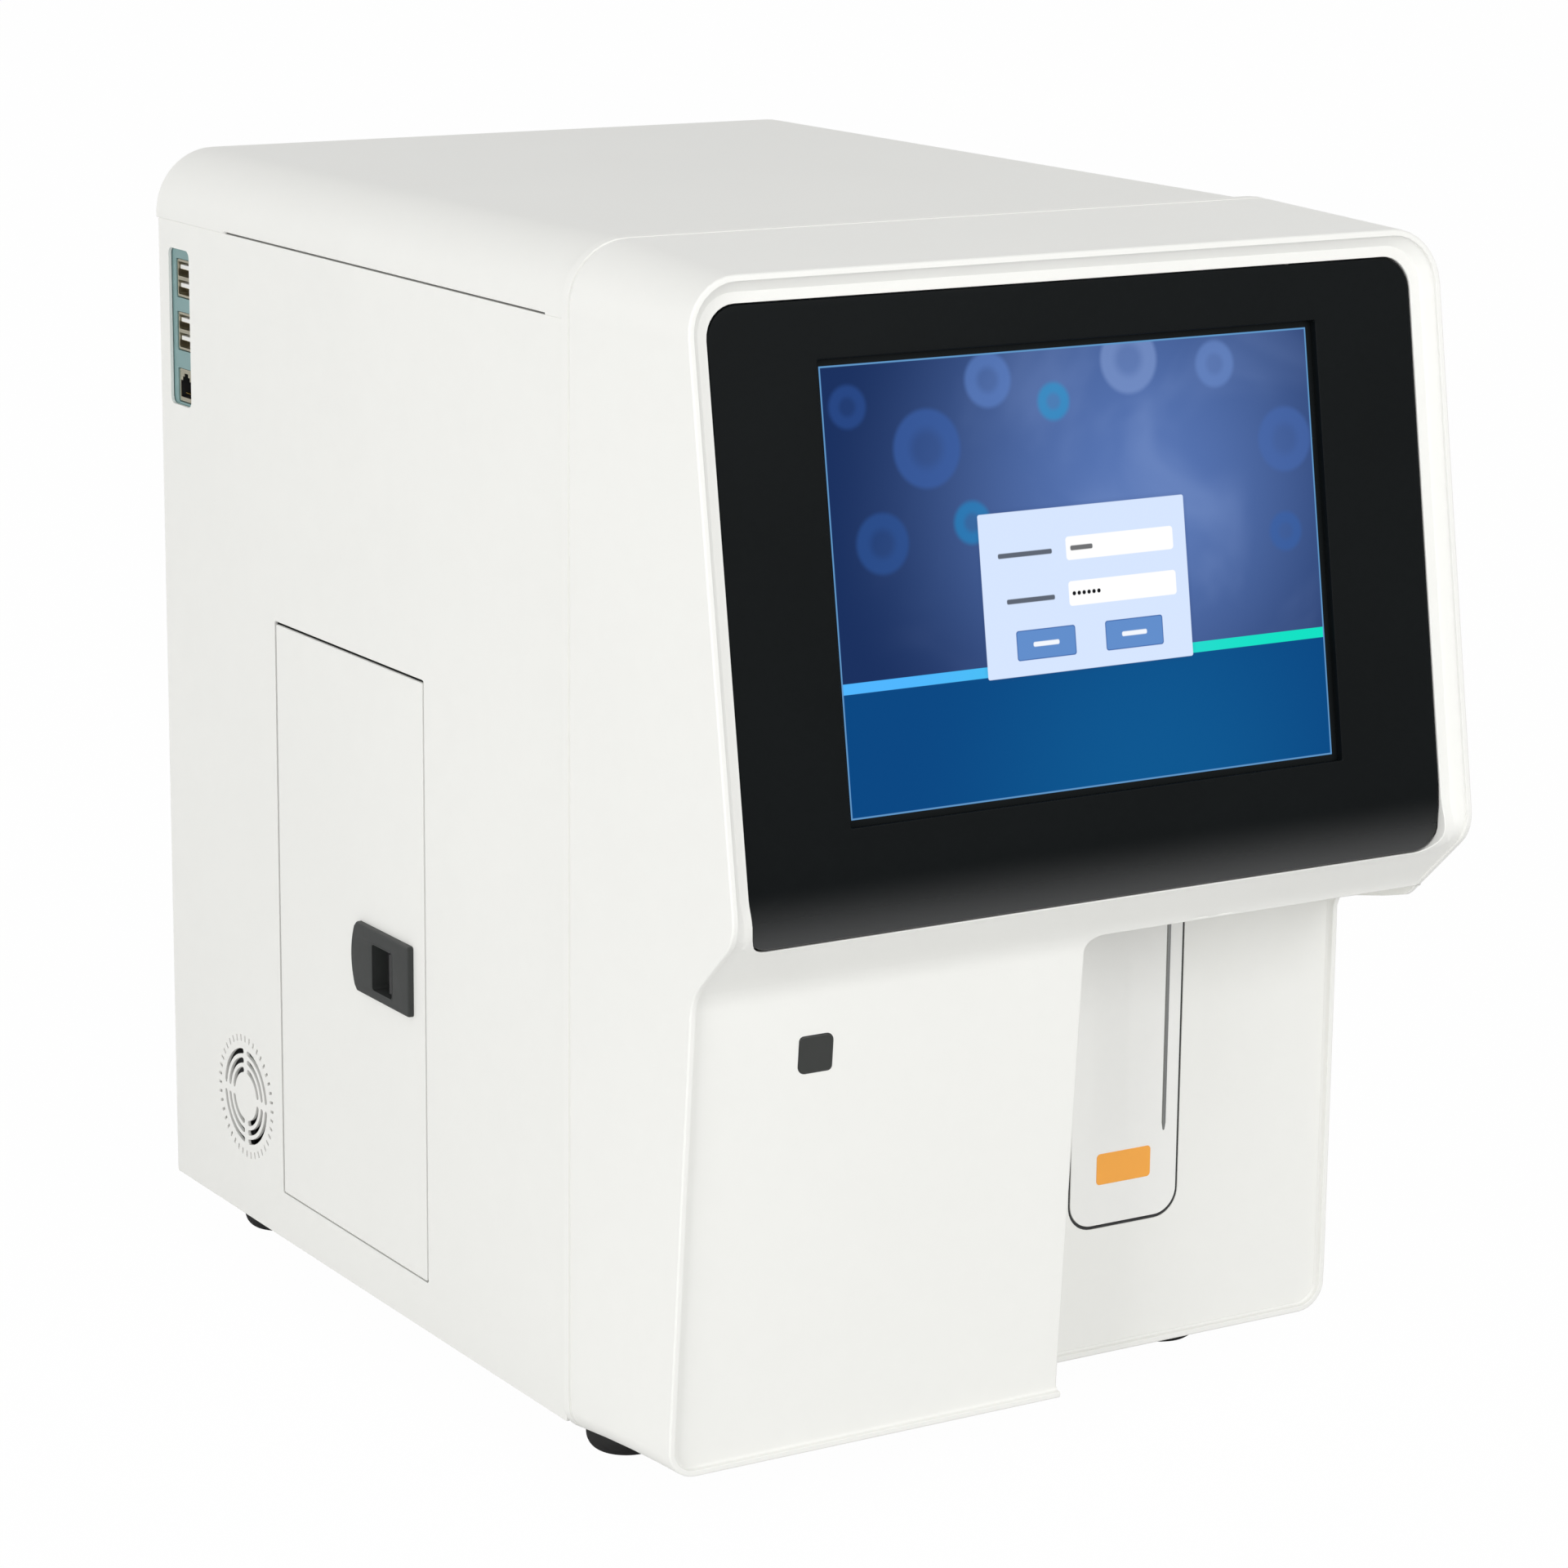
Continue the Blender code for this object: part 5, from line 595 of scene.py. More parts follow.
class Graph:
    """Node graph of a material, or of the world."""

    def __init__(self, owner: Union[bpy.types.Material, bpy.types.World]) -> None:
        """Empty the owner's graph and give it an output.

        Args:
            owner: Material or world that it belongs to.
        """
        owner.use_nodes = True
        self.owner = owner
        self.tree = owner.node_tree
        self.tree.nodes.clear()
        kind = "World" if isinstance(owner, bpy.types.World) else "Material"
        self.end = self.tree.nodes.new("ShaderNodeOutput" + kind)

    def feed(self, node: bpy.types.Node, key: Union[int, str], value: Value) -> None:
        """Link a socket to a node's input, or set the input's value.

        Args:
            node: The node.
            key: The input's name or number.
            value: The socket or the value.
        """
        target = node.inputs[key]
        if isinstance(value, Socket):
            self.tree.links.new(value.output, target)
        elif target.type == "RGBA":
            target.default_value = (*value, 1.0)
        else:
            target.default_value = value

    def node(self, kind: str, settings: Optional[dict] = None, values: Optional[dict] = None,
             output: Union[int, str] = 0) -> Socket:
        """Add a node.

        Args:
            kind: The node's type.
            settings: Its properties.
            values: Values or sockets for its inputs, by name or number.
            output: Which output to give back.

        Returns:
            The output.
        """
        made = self.tree.nodes.new(kind)
        for key, value in (settings or {}).items():
            setattr(made, key, value)
        for key, value in (values or {}).items():
            self.feed(made, key, value)
        return Socket(self, made.outputs[output])

    def show(self, shader: Socket) -> None:
        """Link a shader to the graph's output."""
        self.feed(self.end, "Surface", shader)

    def principled(self, **values: Value) -> Socket:
        """Add a Principled shader, with underscores for the blanks in its inputs' names."""
        named = {key.replace("_", " "): value for key, value in values.items()}
        return self.node("ShaderNodeBsdfPrincipled", None, named)

    def point(self) -> Socket:
        """Give the object's own coordinates."""
        return self.node("ShaderNodeTexCoord", output="Object")

    def parts(self, vector: Socket) -> list[Socket]:
        """Split a vector into its three coordinates."""
        split = self.node("ShaderNodeSeparateXYZ", None, {0: vector}).output.node
        return [Socket(self, output) for output in split.outputs]

    def noise(self, scale: float, detail: float = 2.0, vector: Optional[Socket] = None,
              distortion: float = 0.0) -> Socket:
        """Give a soft noise from 0 to 1.

        Args:
            scale: Waves a metre.
            detail: How many finer layers it has.
            vector: Where it is read, if not at the object's own coordinates.
            distortion: How far it is warped.

        Returns:
            The noise.
        """
        values = {"Vector": vector or self.point(), "Scale": scale, "Detail": detail,
                  "Distortion": distortion}
        return self.node("ShaderNodeTexNoise", {"normalize": True}, values)

    def mix(self, share: Value, first: Value, second: Value) -> Socket:
        """Mix two colours by a share."""
        return self.node("ShaderNodeMix", {"data_type": "RGBA"}, {0: share, 6: first, 7: second}, 2)


class Grain(Enum):
    """Kinds of surface texture."""

    MOULDED = "moulded"
    PAINTED = "painted"
    BRUSHED = "brushed"
    SMOOTH = "smooth"
    WOVEN = "woven"


@dataclass(frozen=True)
class Finish:
    """One finish of the machine: its colour, gloss and fine texture."""

    name: str
    colour: Triple
    roughness: float
    metallic: float = 0.0
    grain: Grain = Grain.MOULDED
    depth: float = 0.00002
    scale: float = 1500.0
    drift: float = 0.025
    drift_scale: float = 9.0
    gloss_drift: float = 0.06
    specular: float = 0.5
    clear: float = 0.0
    gloss_low: float = 0.0
    brush: Triple = (60.0, 60.0, 1.0)

    @lru_cache(maxsize=None)
    def material(self) -> bpy.types.Material:
        """Build the finish's material once.

        The colour drifts slowly between a darker and a lighter tone, the roughness drifts with a
        finer noise, and a bump of the grain's own kind breaks up the highlights.

        Returns:
            The material.
        """
        graph = Graph(bpy.data.materials.new(self.name))
        fine = graph.noise(self.drift_scale * 23)
        shade_of = (graph.noise(self.drift_scale, 3.0) * 0.75 + fine * 0.25).ramp(0.32, 0.68)
        dark = tuple(part * (1 - self.drift) for part in self.colour)
        light = tuple(min(1.0, part * (1 + self.drift * 0.6)) for part in self.colour)
        height = self.grain_height(graph)
        roughness = self.roughness + (fine - 0.5) * (2 * self.gloss_drift)
        if self.grain is Grain.BRUSHED:
            roughness = roughness + (height - 0.5) * 0.10
        normal = graph.node("ShaderNodeBump", None,
                            {"Height": height, "Distance": self.depth, "Strength": 1.0})
        values = {"Base_Color": graph.mix(shade_of, dark, light), "Roughness": roughness,
                  "Metallic": self.metallic, "Normal": normal, "Specular_IOR_Level": self.specular}
        if self.gloss_low > 0:
            level = graph.parts(graph.point())[2]
            values |= {"Coat_Weight": level.ramp(self.gloss_low, self.gloss_low - 0.028),
                       "Coat_Roughness": 0.24, "Coat_IOR": 1.78}
        if self.clear > 0:
            values |= {"Transmission_Weight": self.clear, "IOR": 1.49}
        graph.show(graph.principled(**values))
        return graph.owner

    def grain_height(self, graph: Graph) -> Socket:
        """Give the height of the surface texture, from 0 to 1.

        Args:
            graph: Graph to add to.

        Returns:
            Two noises for moulded and painted skins, one drawn out along the brush, a product of
            three sines for a weave, or a slow noise for a smooth skin.
        """
        if self.grain is Grain.MOULDED:
            return graph.noise(self.scale) * 0.7 + graph.noise(self.scale * 0.24, 1.0) * 0.3
        if self.grain is Grain.PAINTED:
            return graph.noise(self.scale * 0.3) * 0.6 + graph.noise(self.scale, 1.0) * 0.4
        if self.grain is Grain.BRUSHED:
            drawn_out = graph.node("ShaderNodeMapping", {"vector_type": "TEXTURE"},
                                   {"Vector": graph.point(), "Scale": tuple(1 / f for f in self.brush)})
            return graph.noise(self.scale, 3.0, drawn_out)
        if self.grain is Grain.WOVEN:
            first, second, third = ((part * self.scale).sine() for part in graph.parts(graph.point()))
            return first * second * third * 0.5 + 0.5
        return graph.noise(self.scale * 0.05)


PANEL_PAINT = Finish("panel_paint", srgb(238, 238, 234), 0.46, grain=Grain.PAINTED, depth=0.00003,
                     drift=0.012, drift_scale=5.0)
COVER_PLASTIC = Finish("cover_plastic", srgb(239, 239, 235), 0.42, drift=0.010, drift_scale=5.0)
KEY_PLASTIC = Finish("key_plastic", srgb(240, 240, 237), 0.40, drift=0.010)
BEZEL_PLASTIC = Finish("bezel_plastic", srgb(15, 18, 19), 0.30, depth=0.000006, drift=0.10,
                       drift_scale=14.0, gloss_drift=0.03, specular=0.05, gloss_low=0.252)
BLACK_PLASTIC = Finish("black_plastic_grain", srgb(50, 52, 51), 0.48, depth=0.00003, drift=0.06,
                       specular=0.35)
LAMP_PLASTIC = Finish("lamp_plastic", srgb(48, 50, 48), 0.22, grain=Grain.SMOOTH, depth=0.000004,
                      specular=0.4)
ZINC = Finish("zinc_plate", srgb(190, 193, 192), 0.34, 1.0, Grain.BRUSHED, 0.000008, 700.0, 0.06, 22.0)
STAINLESS = Finish("stainless_steel", srgb(205, 205, 203), 0.20, 1.0, Grain.BRUSHED, 0.000004, 900.0,
                   0.03, 30.0, brush=(30.0, 30.0, 400.0))
SHELL_METAL = Finish("socket_shell", srgb(196, 190, 170), 0.30, 1.0, Grain.BRUSHED, 0.000006, 900.0,
                     0.05, 60.0)
TEAL_PLATE = Finish("port_plate_teal", srgb(134, 166, 166), 0.40, 0.35, Grain.PAINTED, 0.00001, 1600.0,
                    0.05, 30.0)
GOLD = Finish("gold_contact", srgb(214, 178, 96), 0.25, 1.0, Grain.SMOOTH, 0.000002)
WHITE_TONGUE = Finish("white_tongue", srgb(232, 232, 228), 0.45, depth=0.00001)
MOTOR_BLACK = Finish("motor_case", srgb(42, 43, 44), 0.50, 0.2, drift=0.08)
FAN_BLACK = Finish("fan_plastic", srgb(38, 39, 40), 0.45, drift=0.06)
BOARD_GREEN = Finish("board_green", srgb(34, 104, 66), 0.35, grain=Grain.WOVEN, depth=0.000004,
                     scale=5200.0, drift=0.10, drift_scale=40.0)
CLEAR_ACRYLIC = Finish("clear_acrylic", srgb(232, 236, 238), 0.06, grain=Grain.SMOOTH, depth=0.000004,
                       clear=0.85, gloss_drift=0.02)
BOTTLE_HDPE = Finish("bottle_hdpe", srgb(231, 232, 226), 0.42, drift=0.02)
BLUE_CAP = Finish("blue_cap_plastic", srgb(44, 92, 164), 0.40, depth=0.00001, drift=0.05)
RED_CAP = Finish("red_cap_plastic", srgb(168, 48, 44), 0.40, depth=0.00001, drift=0.05)
# Dark grey for the door's folded edge: painted shade in the gap round the door.
PAINTED_GAP_SHADE = Finish("painted_gap_shade", srgb(62, 62, 62), 0.80, depth=0.00004, drift=0.10, specular=0.2)
NEEDLE_STEEL = Finish("needle_steel", srgb(140, 141, 140), 0.20, 1.0, Grain.SMOOTH, 0.000002)
RUBBER = Finish("foot_rubber", srgb(36, 36, 36), 0.66, depth=0.00005, drift=0.12, specular=0.3)
GREY_PLASTIC = Finish("grey_liner", srgb(168, 170, 170), 0.48, depth=0.00003, drift=0.03)
CHIP_BLACK = Finish("chip_black", srgb(34, 34, 35), 0.42, depth=0.00001, drift=0.05)
ORANGE_MARK = Finish("orange_print", srgb(248, 170, 66), 0.42, depth=0.000006, drift=0.02)


@dataclass(frozen=True)
class ScreenPicture:
    """Finish of the lit glass: a plain sign-in window over a soft blue field of round cells.

    Places are shares of the picture's width, and it reads the piece's own UV map, whose height is
    scaled like its width.
    """

    tall: float = 0.75
    window: Four = (0.290, 0.715, 0.203, 0.4815)
    strip: Pair = (0.2075, 0.2255)
    fields: tuple[Four, ...] = ((0.465, 0.688, 0.390, 0.430), (0.465, 0.689, 0.312, 0.354))
    buttons: tuple[Four, ...] = ((0.352, 0.473, 0.229, 0.280), (0.535, 0.655, 0.229, 0.280))
    labels: tuple[Triple, ...] = ((0.326, 0.436, 0.4085), (0.338, 0.436, 0.3305),
                                  (0.474, 0.520, 0.4100))
    first_dot: Pair = (0.476, 0.333)
    dots: int = 6
    border: float = 0.0028
    cells: tuple[tuple, ...] = (
        ((0.20, 0.60), 0.060, srgb(58, 96, 168)), ((0.33, 0.705), 0.040, srgb(92, 128, 196)),
        ((0.10, 0.45), 0.045, srgb(44, 84, 152)), ((0.62, 0.72), 0.052, srgb(126, 152, 206)),
        ((0.80, 0.70), 0.034, srgb(104, 136, 198)), ((0.94, 0.56), 0.050, srgb(70, 104, 172)),
        ((0.46, 0.66), 0.026, srgb(30, 150, 205)), ((0.28, 0.47), 0.030, srgb(26, 134, 196)),
        ((0.93, 0.40), 0.028, srgb(54, 96, 166)), ((0.05, 0.68), 0.030, srgb(42, 78, 146)))

    def material(self) -> bpy.types.Material:
        """Build the material, one layer of the picture over the other.

        A field of navy to mid blue holds large blurred discs, a bright strip parts it from a
        darker band, and a pale window holds two white fields, bars for words and two buttons.

        Returns:
            The material.
        """
        graph = Graph(bpy.data.materials.new("lit_screen"))
        map_point = graph.node("ShaderNodeTexCoord", output="UV")
        across, up, _ = graph.parts(map_point)

        def box(left: float, right: float, low: float, high: float, blur: float,
                corner: float = 0.0) -> Socket:
            """Give 1 within a rectangle and 0 outside it.

            The distance from the rectangle, drawn in by its corner radius, is the length of the
            parts of |point - middle| - half that are above zero, less the radius.

            Args:
                left, right, low, high: Its edges.
                blur: Width of the soft edge.
                corner: Radius of the corners.

            Returns:
                The mask.
            """
            corner = max(corner, 1.5 * blur)
            side = (abs(across - (left + right) / 2) - ((right - left) / 2 - corner)).most(0.0)
            rise = (abs(up - (low + high) / 2) - ((high - low) / 2 - corner)).most(0.0)
            return ((side * side + rise * rise) ** 0.5 - corner).ramp(blur, -blur)

        def disc(middle: Pair, radius: float, blur: float) -> Socket:
            """Give 1 within a disc, falling to 0 over the blur outside it."""
            side, rise = across - middle[0], up - middle[1]
            return ((side * side + rise * rise) ** 0.5).ramp(radius + blur, radius)

        centre = disc((0.62, 0.50), 0.02, 0.62)
        cloud = graph.noise(3.2, 3.0, map_point, 0.6).ramp(0.45, 0.72)
        layers = [(centre, srgb(86, 116, 178)), (cloud * centre * 0.5, srgb(124, 150, 204))]
        for middle, radius, tone in self.cells:
            core = disc(middle, radius * 0.30, radius * 0.45)
            layers.append((disc(middle, radius, 0.012) * (0.62 - core * 0.34), tone))
        band = graph.mix(disc((0.62, 0.0), 0.04, 0.50), srgb(2, 70, 130), srgb(6, 86, 144))
        layers.append((up.ramp(self.strip[0] + 0.0008, self.strip[0] - 0.0008), band))
        bright = graph.mix(across.ramp(0.05, 0.95), srgb(80, 182, 255), srgb(14, 226, 196))
        layers += [(box(-0.1, 1.1, *self.strip, 0.0006), bright),
                   (box(*self.window, 0.010, 0.008) * 0.3, srgb(20, 44, 96)),
                   (box(*self.window, 0.0008, 0.004), srgb(215, 230, 255))]
        layers += [(box(*place, 0.0008, 0.006), WHITE) for place in self.fields]
        layers += [(box(left, right, level - 0.0042, level + 0.0042, 0.0010, 0.0030) * 0.85,
                    srgb(30, 34, 44)) for left, right, level in self.labels]
        first, level = self.first_dot
        layers += [(disc((first + 0.0102 * dot, level), 0.0030, 0.0012), srgb(16, 18, 22))
                   for dot in range(self.dots)]
        edge, beside, above = 0.0016, 0.034, 0.0215
        for left, right, low, high in self.buttons:
            inner = (left + edge, right - edge, low + edge, high - edge)
            word = (left + beside, right - beside, low + above, high - above)
            layers += [(box(left, right, low, high, 0.0008, 0.005), srgb(58, 100, 168)),
                       (box(*inner, 0.0008, 0.004), srgb(98, 142, 204)),
                       (box(*word, 0.0010, 0.003), srgb(244, 248, 255))]
        picture = srgb(22, 46, 94)
        for share, tone in layers:
            picture = graph.mix(share, picture, tone)
        border = self.border
        inside = box(border, 1 - border, border, self.tall - border, 0.0006)
        picture = graph.mix(inside, srgb(96, 150, 200), picture)
        lit = box(0.0, 1.0, 0.0, self.tall, 0.0004)
        graph.show(graph.principled(
            Base_Color=graph.mix(lit, srgb(24, 27, 28), srgb(4, 5, 6)),
            Roughness=0.22 + (graph.noise(400.0) - 0.5) * 0.04, Specular_IOR_Level=0.02,
            Emission_Color=graph.mix(lit, (0.0, 0.0, 0.0), picture), Emission_Strength=1.0))
        return graph.owner


@dataclass(frozen=True)
class FrontForm:
    """Lines that the front moulding, the display and the lamp share, in millimetres."""

    half: float = 162.5
    rear: float = -120.7
    top: float = 465.5
    top_fall: float = 0.046
    bottom: float = 18.2
    bottom_rise: float = 0.137
    bottom_bend: float = 0.00062
    low_radius: float = 12.0
    high_radii: Pair = (24.0, 20.5)
    radius_run: float = 86.3
    lean: float = math.radians(9.16)
    nose: Pair = (-243.0, 237.3)
    throat: Pair = (-214.0, 210.4)
    foot_lean: float = math.radians(4.59)
    right_throat: Pair = (-207.0, 203.9)
    right_shoulder: Pair = (-163.0, 194.2)
    screen_sink: float = 1.42
    chin_sink: float = 1.15
    block_sink: float = 2.51
    screen_middle: float = 428.5

    def leaning_y(self, z: float) -> float:
        """Give the y of the lip's leaning line at a height."""
        return self.nose[0] + (z - self.nose[1]) * math.tan(self.lean)

    def line(self, right: bool) -> Array:
        """Give the profile of the lip on one side, as rows of y and z from the bottom up.

        Args:
            right: Whether it is the right side.

        Returns:
            Points in order, one row each.
        """
        high = 480.0
        start = (self.leaning_y(high), high)
        if right:
            shoulder = self.right_shoulder
            corners = (start, self.nose, self.right_throat, shoulder, (shoulder[0], 0.0))
            return rounded(corners, (0, 15, 15, 6, 0), 14)[::-1]
        foot = (self.throat[0] + self.throat[1] * math.tan(self.foot_lean), 0.0)
        return rounded((start, self.nose, self.throat, foot), (0, 15, 18, 0), 14)[::-1]

    def reach(self, z: Array, right: Union[bool, Array] = False) -> Array:
        """Give how far forward the lip stands at a height, as a y coordinate."""
        left_y, right_y = (np.interp(z, *self.line(side).T[::-1]) for side in (False, True))
        return np.where(right, right_y, left_y)

    def sink(self, z: Array) -> Array:
        """Give how far the face lies behind the lip at a height, along y."""
        chin = self.chin_sink + (self.screen_sink - self.chin_sink) * ease(z, 232, 241)
        return self.block_sink + (chin - self.block_sink) * ease(z, 204, 215)

    def face(self, z: Array) -> Array:
        """Give the y of the face inside the lip at a height."""
        return self.reach(z) + self.sink(z)


FORM = FrontForm()


def screen_place() -> Place:
    """Give the leaning place of the display.

    Returns:
        The place, whose origin is the middle of the display's height.
    """
    middle, sine, cosine = FORM.screen_middle, math.sin(FORM.lean), math.cos(FORM.lean)
    origin = (0, FORM.leaning_y(middle) * MM, middle * MM)
    return Place((1, 0, 0), (0, sine, cosine), (0, -cosine, sine), origin)


@dataclass
class FrontMoulding:
    """One-piece front cover with a proud lip, a leaning screen face, a chin and the sampling bay.

    Its lengths are millimetres.
    """

    lip_edge: float = 0.8
    lip_width: float = 2.4
    lip_inner_edge: float = 0.35
    chin_top: float = 226.5
    opening: Triple = (152.5, 228.9, 451.4)
    opening_shift: float = -0.65
    opening_radii: Pair = (9.0, 12.0)
    slope_share: float = 0.50
    screen_drop: float = 4.56
    chin_drop: float = 0.8
    wall: float = 0.5
    slot: Four = (60.0, 68.0, -192.0, -166.5)
    bay_back: float = -160.5
    bay_top_left: float = 7.4
    bay_low_left: float = 9.2
    bay_ceiling: float = 209.5
    bay_corner: float = 6.5
    bay_edge: float = 1.2

    @property
    def corner_level(self) -> float:
        """Height at which the bay's rounded upper corner starts."""
        return self.bay_ceiling - self.bay_corner

    def bay_left(self, z: Array, low: float) -> Array:
        """Give the x of the bay's left wall at a height below its rounded corner."""
        share = np.clip((self.corner_level - z) / (self.corner_level - low), 0, 1)
        return self.bay_top_left + (self.bay_low_left - self.bay_top_left) * share

    def outline(self, kind: Array, share: Array, forward: Array) -> tuple[Array, Array, Array, Array]:
        """Give points and normals of the rim's outline.

        Runs are straight and corners are quarter circles: a point is a middle plus the radius times
        the normal. The upper radius and both level lines change with the distance forward.

        Args:
            kind: Part of the outline: 0, 2, 4, 6 and 8 are runs, and 1, 3, 5 and 7 are corners.
            share: Share of that part, going clockwise as seen from the front.
            forward: Distance forward of the rear edge.

        Returns:
            x, z and the normal's x and z.
        """
        small, (back_radius, front_radius) = FORM.low_radius, FORM.high_radii
        large = back_radius + (front_radius - back_radius) * forward / FORM.radius_run
        low = FORM.bottom + (FORM.bottom_rise - FORM.bottom_bend * forward) * forward + small
        high = FORM.top - FORM.top_fall * forward - large
        low_x, high_x = FORM.half - small, FORM.half - large
        start, side = self.bay_low_left, low + share * (high - low)
        sine, cosine = np.sin(math.pi / 2 * share), np.cos(math.pi / 2 * share)
        which = [kind == number for number in range(9)]
        across = np.select(which, [0, -sine, -1, -cosine, 0, sine, 1, cosine, 0])
        upward = np.select(which, [-1, -cosine, 0, sine, 1, cosine, 0, -sine, -1])
        radius = np.select(which, [small, small, 0, large, large, large, 0, small, small])
        x = np.select(which, [start + share * (-low_x - start), -low_x, -FORM.half, -high_x,
                              (2 * share - 1) * high_x, high_x, FORM.half, low_x,
                              low_x + share * (start - low_x)])
        z = np.select(which, [low, low, side, high, high, high, high + low - side, low, low])
        return x + radius * across, z + radius * upward, across, upward

    def end_line(self, z: Array, extra: Array) -> Array:
        """Give the y at which the rim meets the face, or the bay's back where extra is no number."""
        return np.where(np.isnan(extra), self.bay_back, FORM.face(z) + np.nan_to_num(extra))

    def side_share(self, z: Array, extra: Array, right: bool) -> Array:
        """Give the share of a side's run whose point on the last ring lies at a height.

        Args:
            z: Heights.
            extra: What is added to the face's y, as rim() takes it.
            right: Whether the side is the right one, which runs down.

        Returns:
            The shares.
        """
        forward = FORM.rear - self.end_line(z, extra)
        run = np.full(len(z), 2)
        low, high = (self.outline(run, run * 0 + end, forward)[1] for end in (0, 1))
        share = (z - low) / (high - low)
        return 1 - share if right else share

    def rim(self, kind: Array, share: Array, extra: Array) -> Array:
        """Work out the rim: a profile of inset and y carried round the outline.

        From the rear the profile has a return, a bead, a groove and a smooth skin, then turns over
        a fillet onto the flat lip and down into a hollow fillet, which is smaller above the block.
        As a row's y hangs on its own height, the step is repeated: y gives the outline, the
        outline gives z, and z gives y.

        Args:
            kind: Part of the outline for each column.
            share: Share of that part for each column.
            extra: What is added to the face's y, or not a number for the bay's back.

        Returns:
            Rows by columns by three coordinates, in millimetres.
        """
        rows = [(inward, 0, forward, 0, 0, 0) for inward, forward in (
            (3.0, 0.0), (0.5, 0.0), (0.15, 0.15), (0, 0.5), (0, 4.0), (0.1, 4.35), (0.95, 4.7),
            (1.0, 5.1), (0.95, 5.5), (0.2, 5.85), (0.05, 6.3), (0, 6.8))]
        rows += [(0, step, 6.8, self.lip_edge, 0, 0) for step in (0.25, 0.5, 0.75, 0.92)]
        rows += [(c, 1, 0, s, 0, 0) for c, s in turning(5, self.lip_edge)]
        rows += [(self.lip_width - s, 1, 0, c, 0, 0) for c, s in turning(3, self.lip_inner_edge)]
        rows += [(self.lip_width, 1, 0, 0, c, s) for c, s in turning(4)]
        inward, blend, forward, offset, spread, back = np.array(rows, float).T[:, :, None]
        last = (np.arange(len(rows)) >= len(rows) - 5)[:, None]
        kind, share, extra = (np.broadcast_to(row, (len(rows), len(row))) for row in (kind, share, extra))
        y = np.full(kind.shape, -200.0)
        for _ in range(9):
            x, z, across, upward = self.outline(kind, share, FORM.rear - y)
            hollow = 1.2 - 0.8 * ease(z, 195, 215)
            way = inward + spread * hollow
            x, z = x - way * across, z - way * upward
            lip = blend * (FORM.reach(z, kind >= 5) + offset) + (1 - blend) * (FORM.rear - forward)
            y = np.where(last, self.end_line(z, extra) - back * hollow, lip)
        return np.stack([x, y, z], -1)

    def build(self) -> Piece:
        """Make the whole moulding: the rim, and the chin, faces and bay that end on its last ring.

        Returns:
            The new object.
        """
        shell = Shell("front_moulding")
        bend_z = self.corner_level + (self.bay_corner + self.bay_edge) * np.cos(quarter(7))
        high_z = np.hstack([np.linspace(440, 262, 10), np.linspace(256, self.chin_top, 13)])
        chin_z = np.linspace(self.chin_top, bend_z[0], 8)
        low_z = np.hstack([np.linspace(self.corner_level, 180, 8)[1:], np.linspace(170, 42, 9)])
        face_z = np.hstack([high_z, chin_z[1:]])
        edge_y, edge_z = turning(4, self.bay_edge).T
        open_z = np.hstack([np.linspace(self.bay_ceiling, self.corner_level, 6), low_z])
        left_z = np.hstack([face_z, bend_z[1:], low_z])
        right_z = np.hstack([face_z, self.bay_ceiling + edge_z[1:], open_z])
        right_extra = np.hstack([0 * face_z, edge_y[1:], np.full(len(open_z), np.nan)])
        turn_row = len(right_z) - len(open_z)
        flank = self.side_share(right_z, right_extra, True)
        flank[turn_row] = flank[turn_row - 1] + 0.00005
        corner = np.linspace(0, 1, 9)
        left_shares = np.hstack([np.linspace(0, 0.095, 8), np.linspace(0.095, 1, 12)[1:]])
        right_shares = np.hstack([np.linspace(0, 0.887, 12), np.linspace(0.887, 1, 8)[1:]])
        start, low_left = self.bay_low_left, FORM.low_radius - FORM.half
        run_x = low_left + left_shares[::-1] * (start - self.bay_edge - low_left)
        bottom = np.hstack([[0.0], (start - run_x[:-1]) / (start - low_left)])
        left_side = self.side_share(left_z[::-1], 0 * left_z, False)
        parts = (bottom, corner[:-1], left_side, corner, corner[1:-1], corner, flank, corner[1:],
                 np.linspace(0, 1, 14)[1:])
        kind = np.repeat(np.arange(9), [len(shares) for shares in parts])
        extra = np.where(kind >= 7, np.nan, 0.0)
        extra[kind == 6] = right_extra
        rim = self.rim(kind, np.concatenate(parts), extra)
        shell.grid(rim * MM, wrap_columns=True)
        ends = [rim[-1][kind == number] for number in range(9)]
        left, right, lower = ends[2][::-1], ends[6], ends[1][::-1]
        chin_row = len(high_z) - 1
        block_row = len(face_z) - 1
        chin = self.chin_rows(left[chin_row:block_row + 1], right[chin_row:block_row + 1, :1],
                              left_shares, right_shares)
        shell.grid(chin * MM)
        self.add_screen_ring(shell, ends, chin[0])
        self.add_block(shell, np.vstack([left[block_row:], lower]), left_shares)
        wall_z = np.hstack([left_z[block_row + len(bend_z) - 1:], lower[:, 2]])[::-1]
        self.add_bay(shell, wall_z, (ends[8][-1], right[turn_row]), chin[-1])
        item = shell.build(38.0, 0.00002)
        step = item.modifiers.new("wall", "SOLIDIFY")
        step.thickness = self.wall * MM
        step.offset = -1.0
        return item

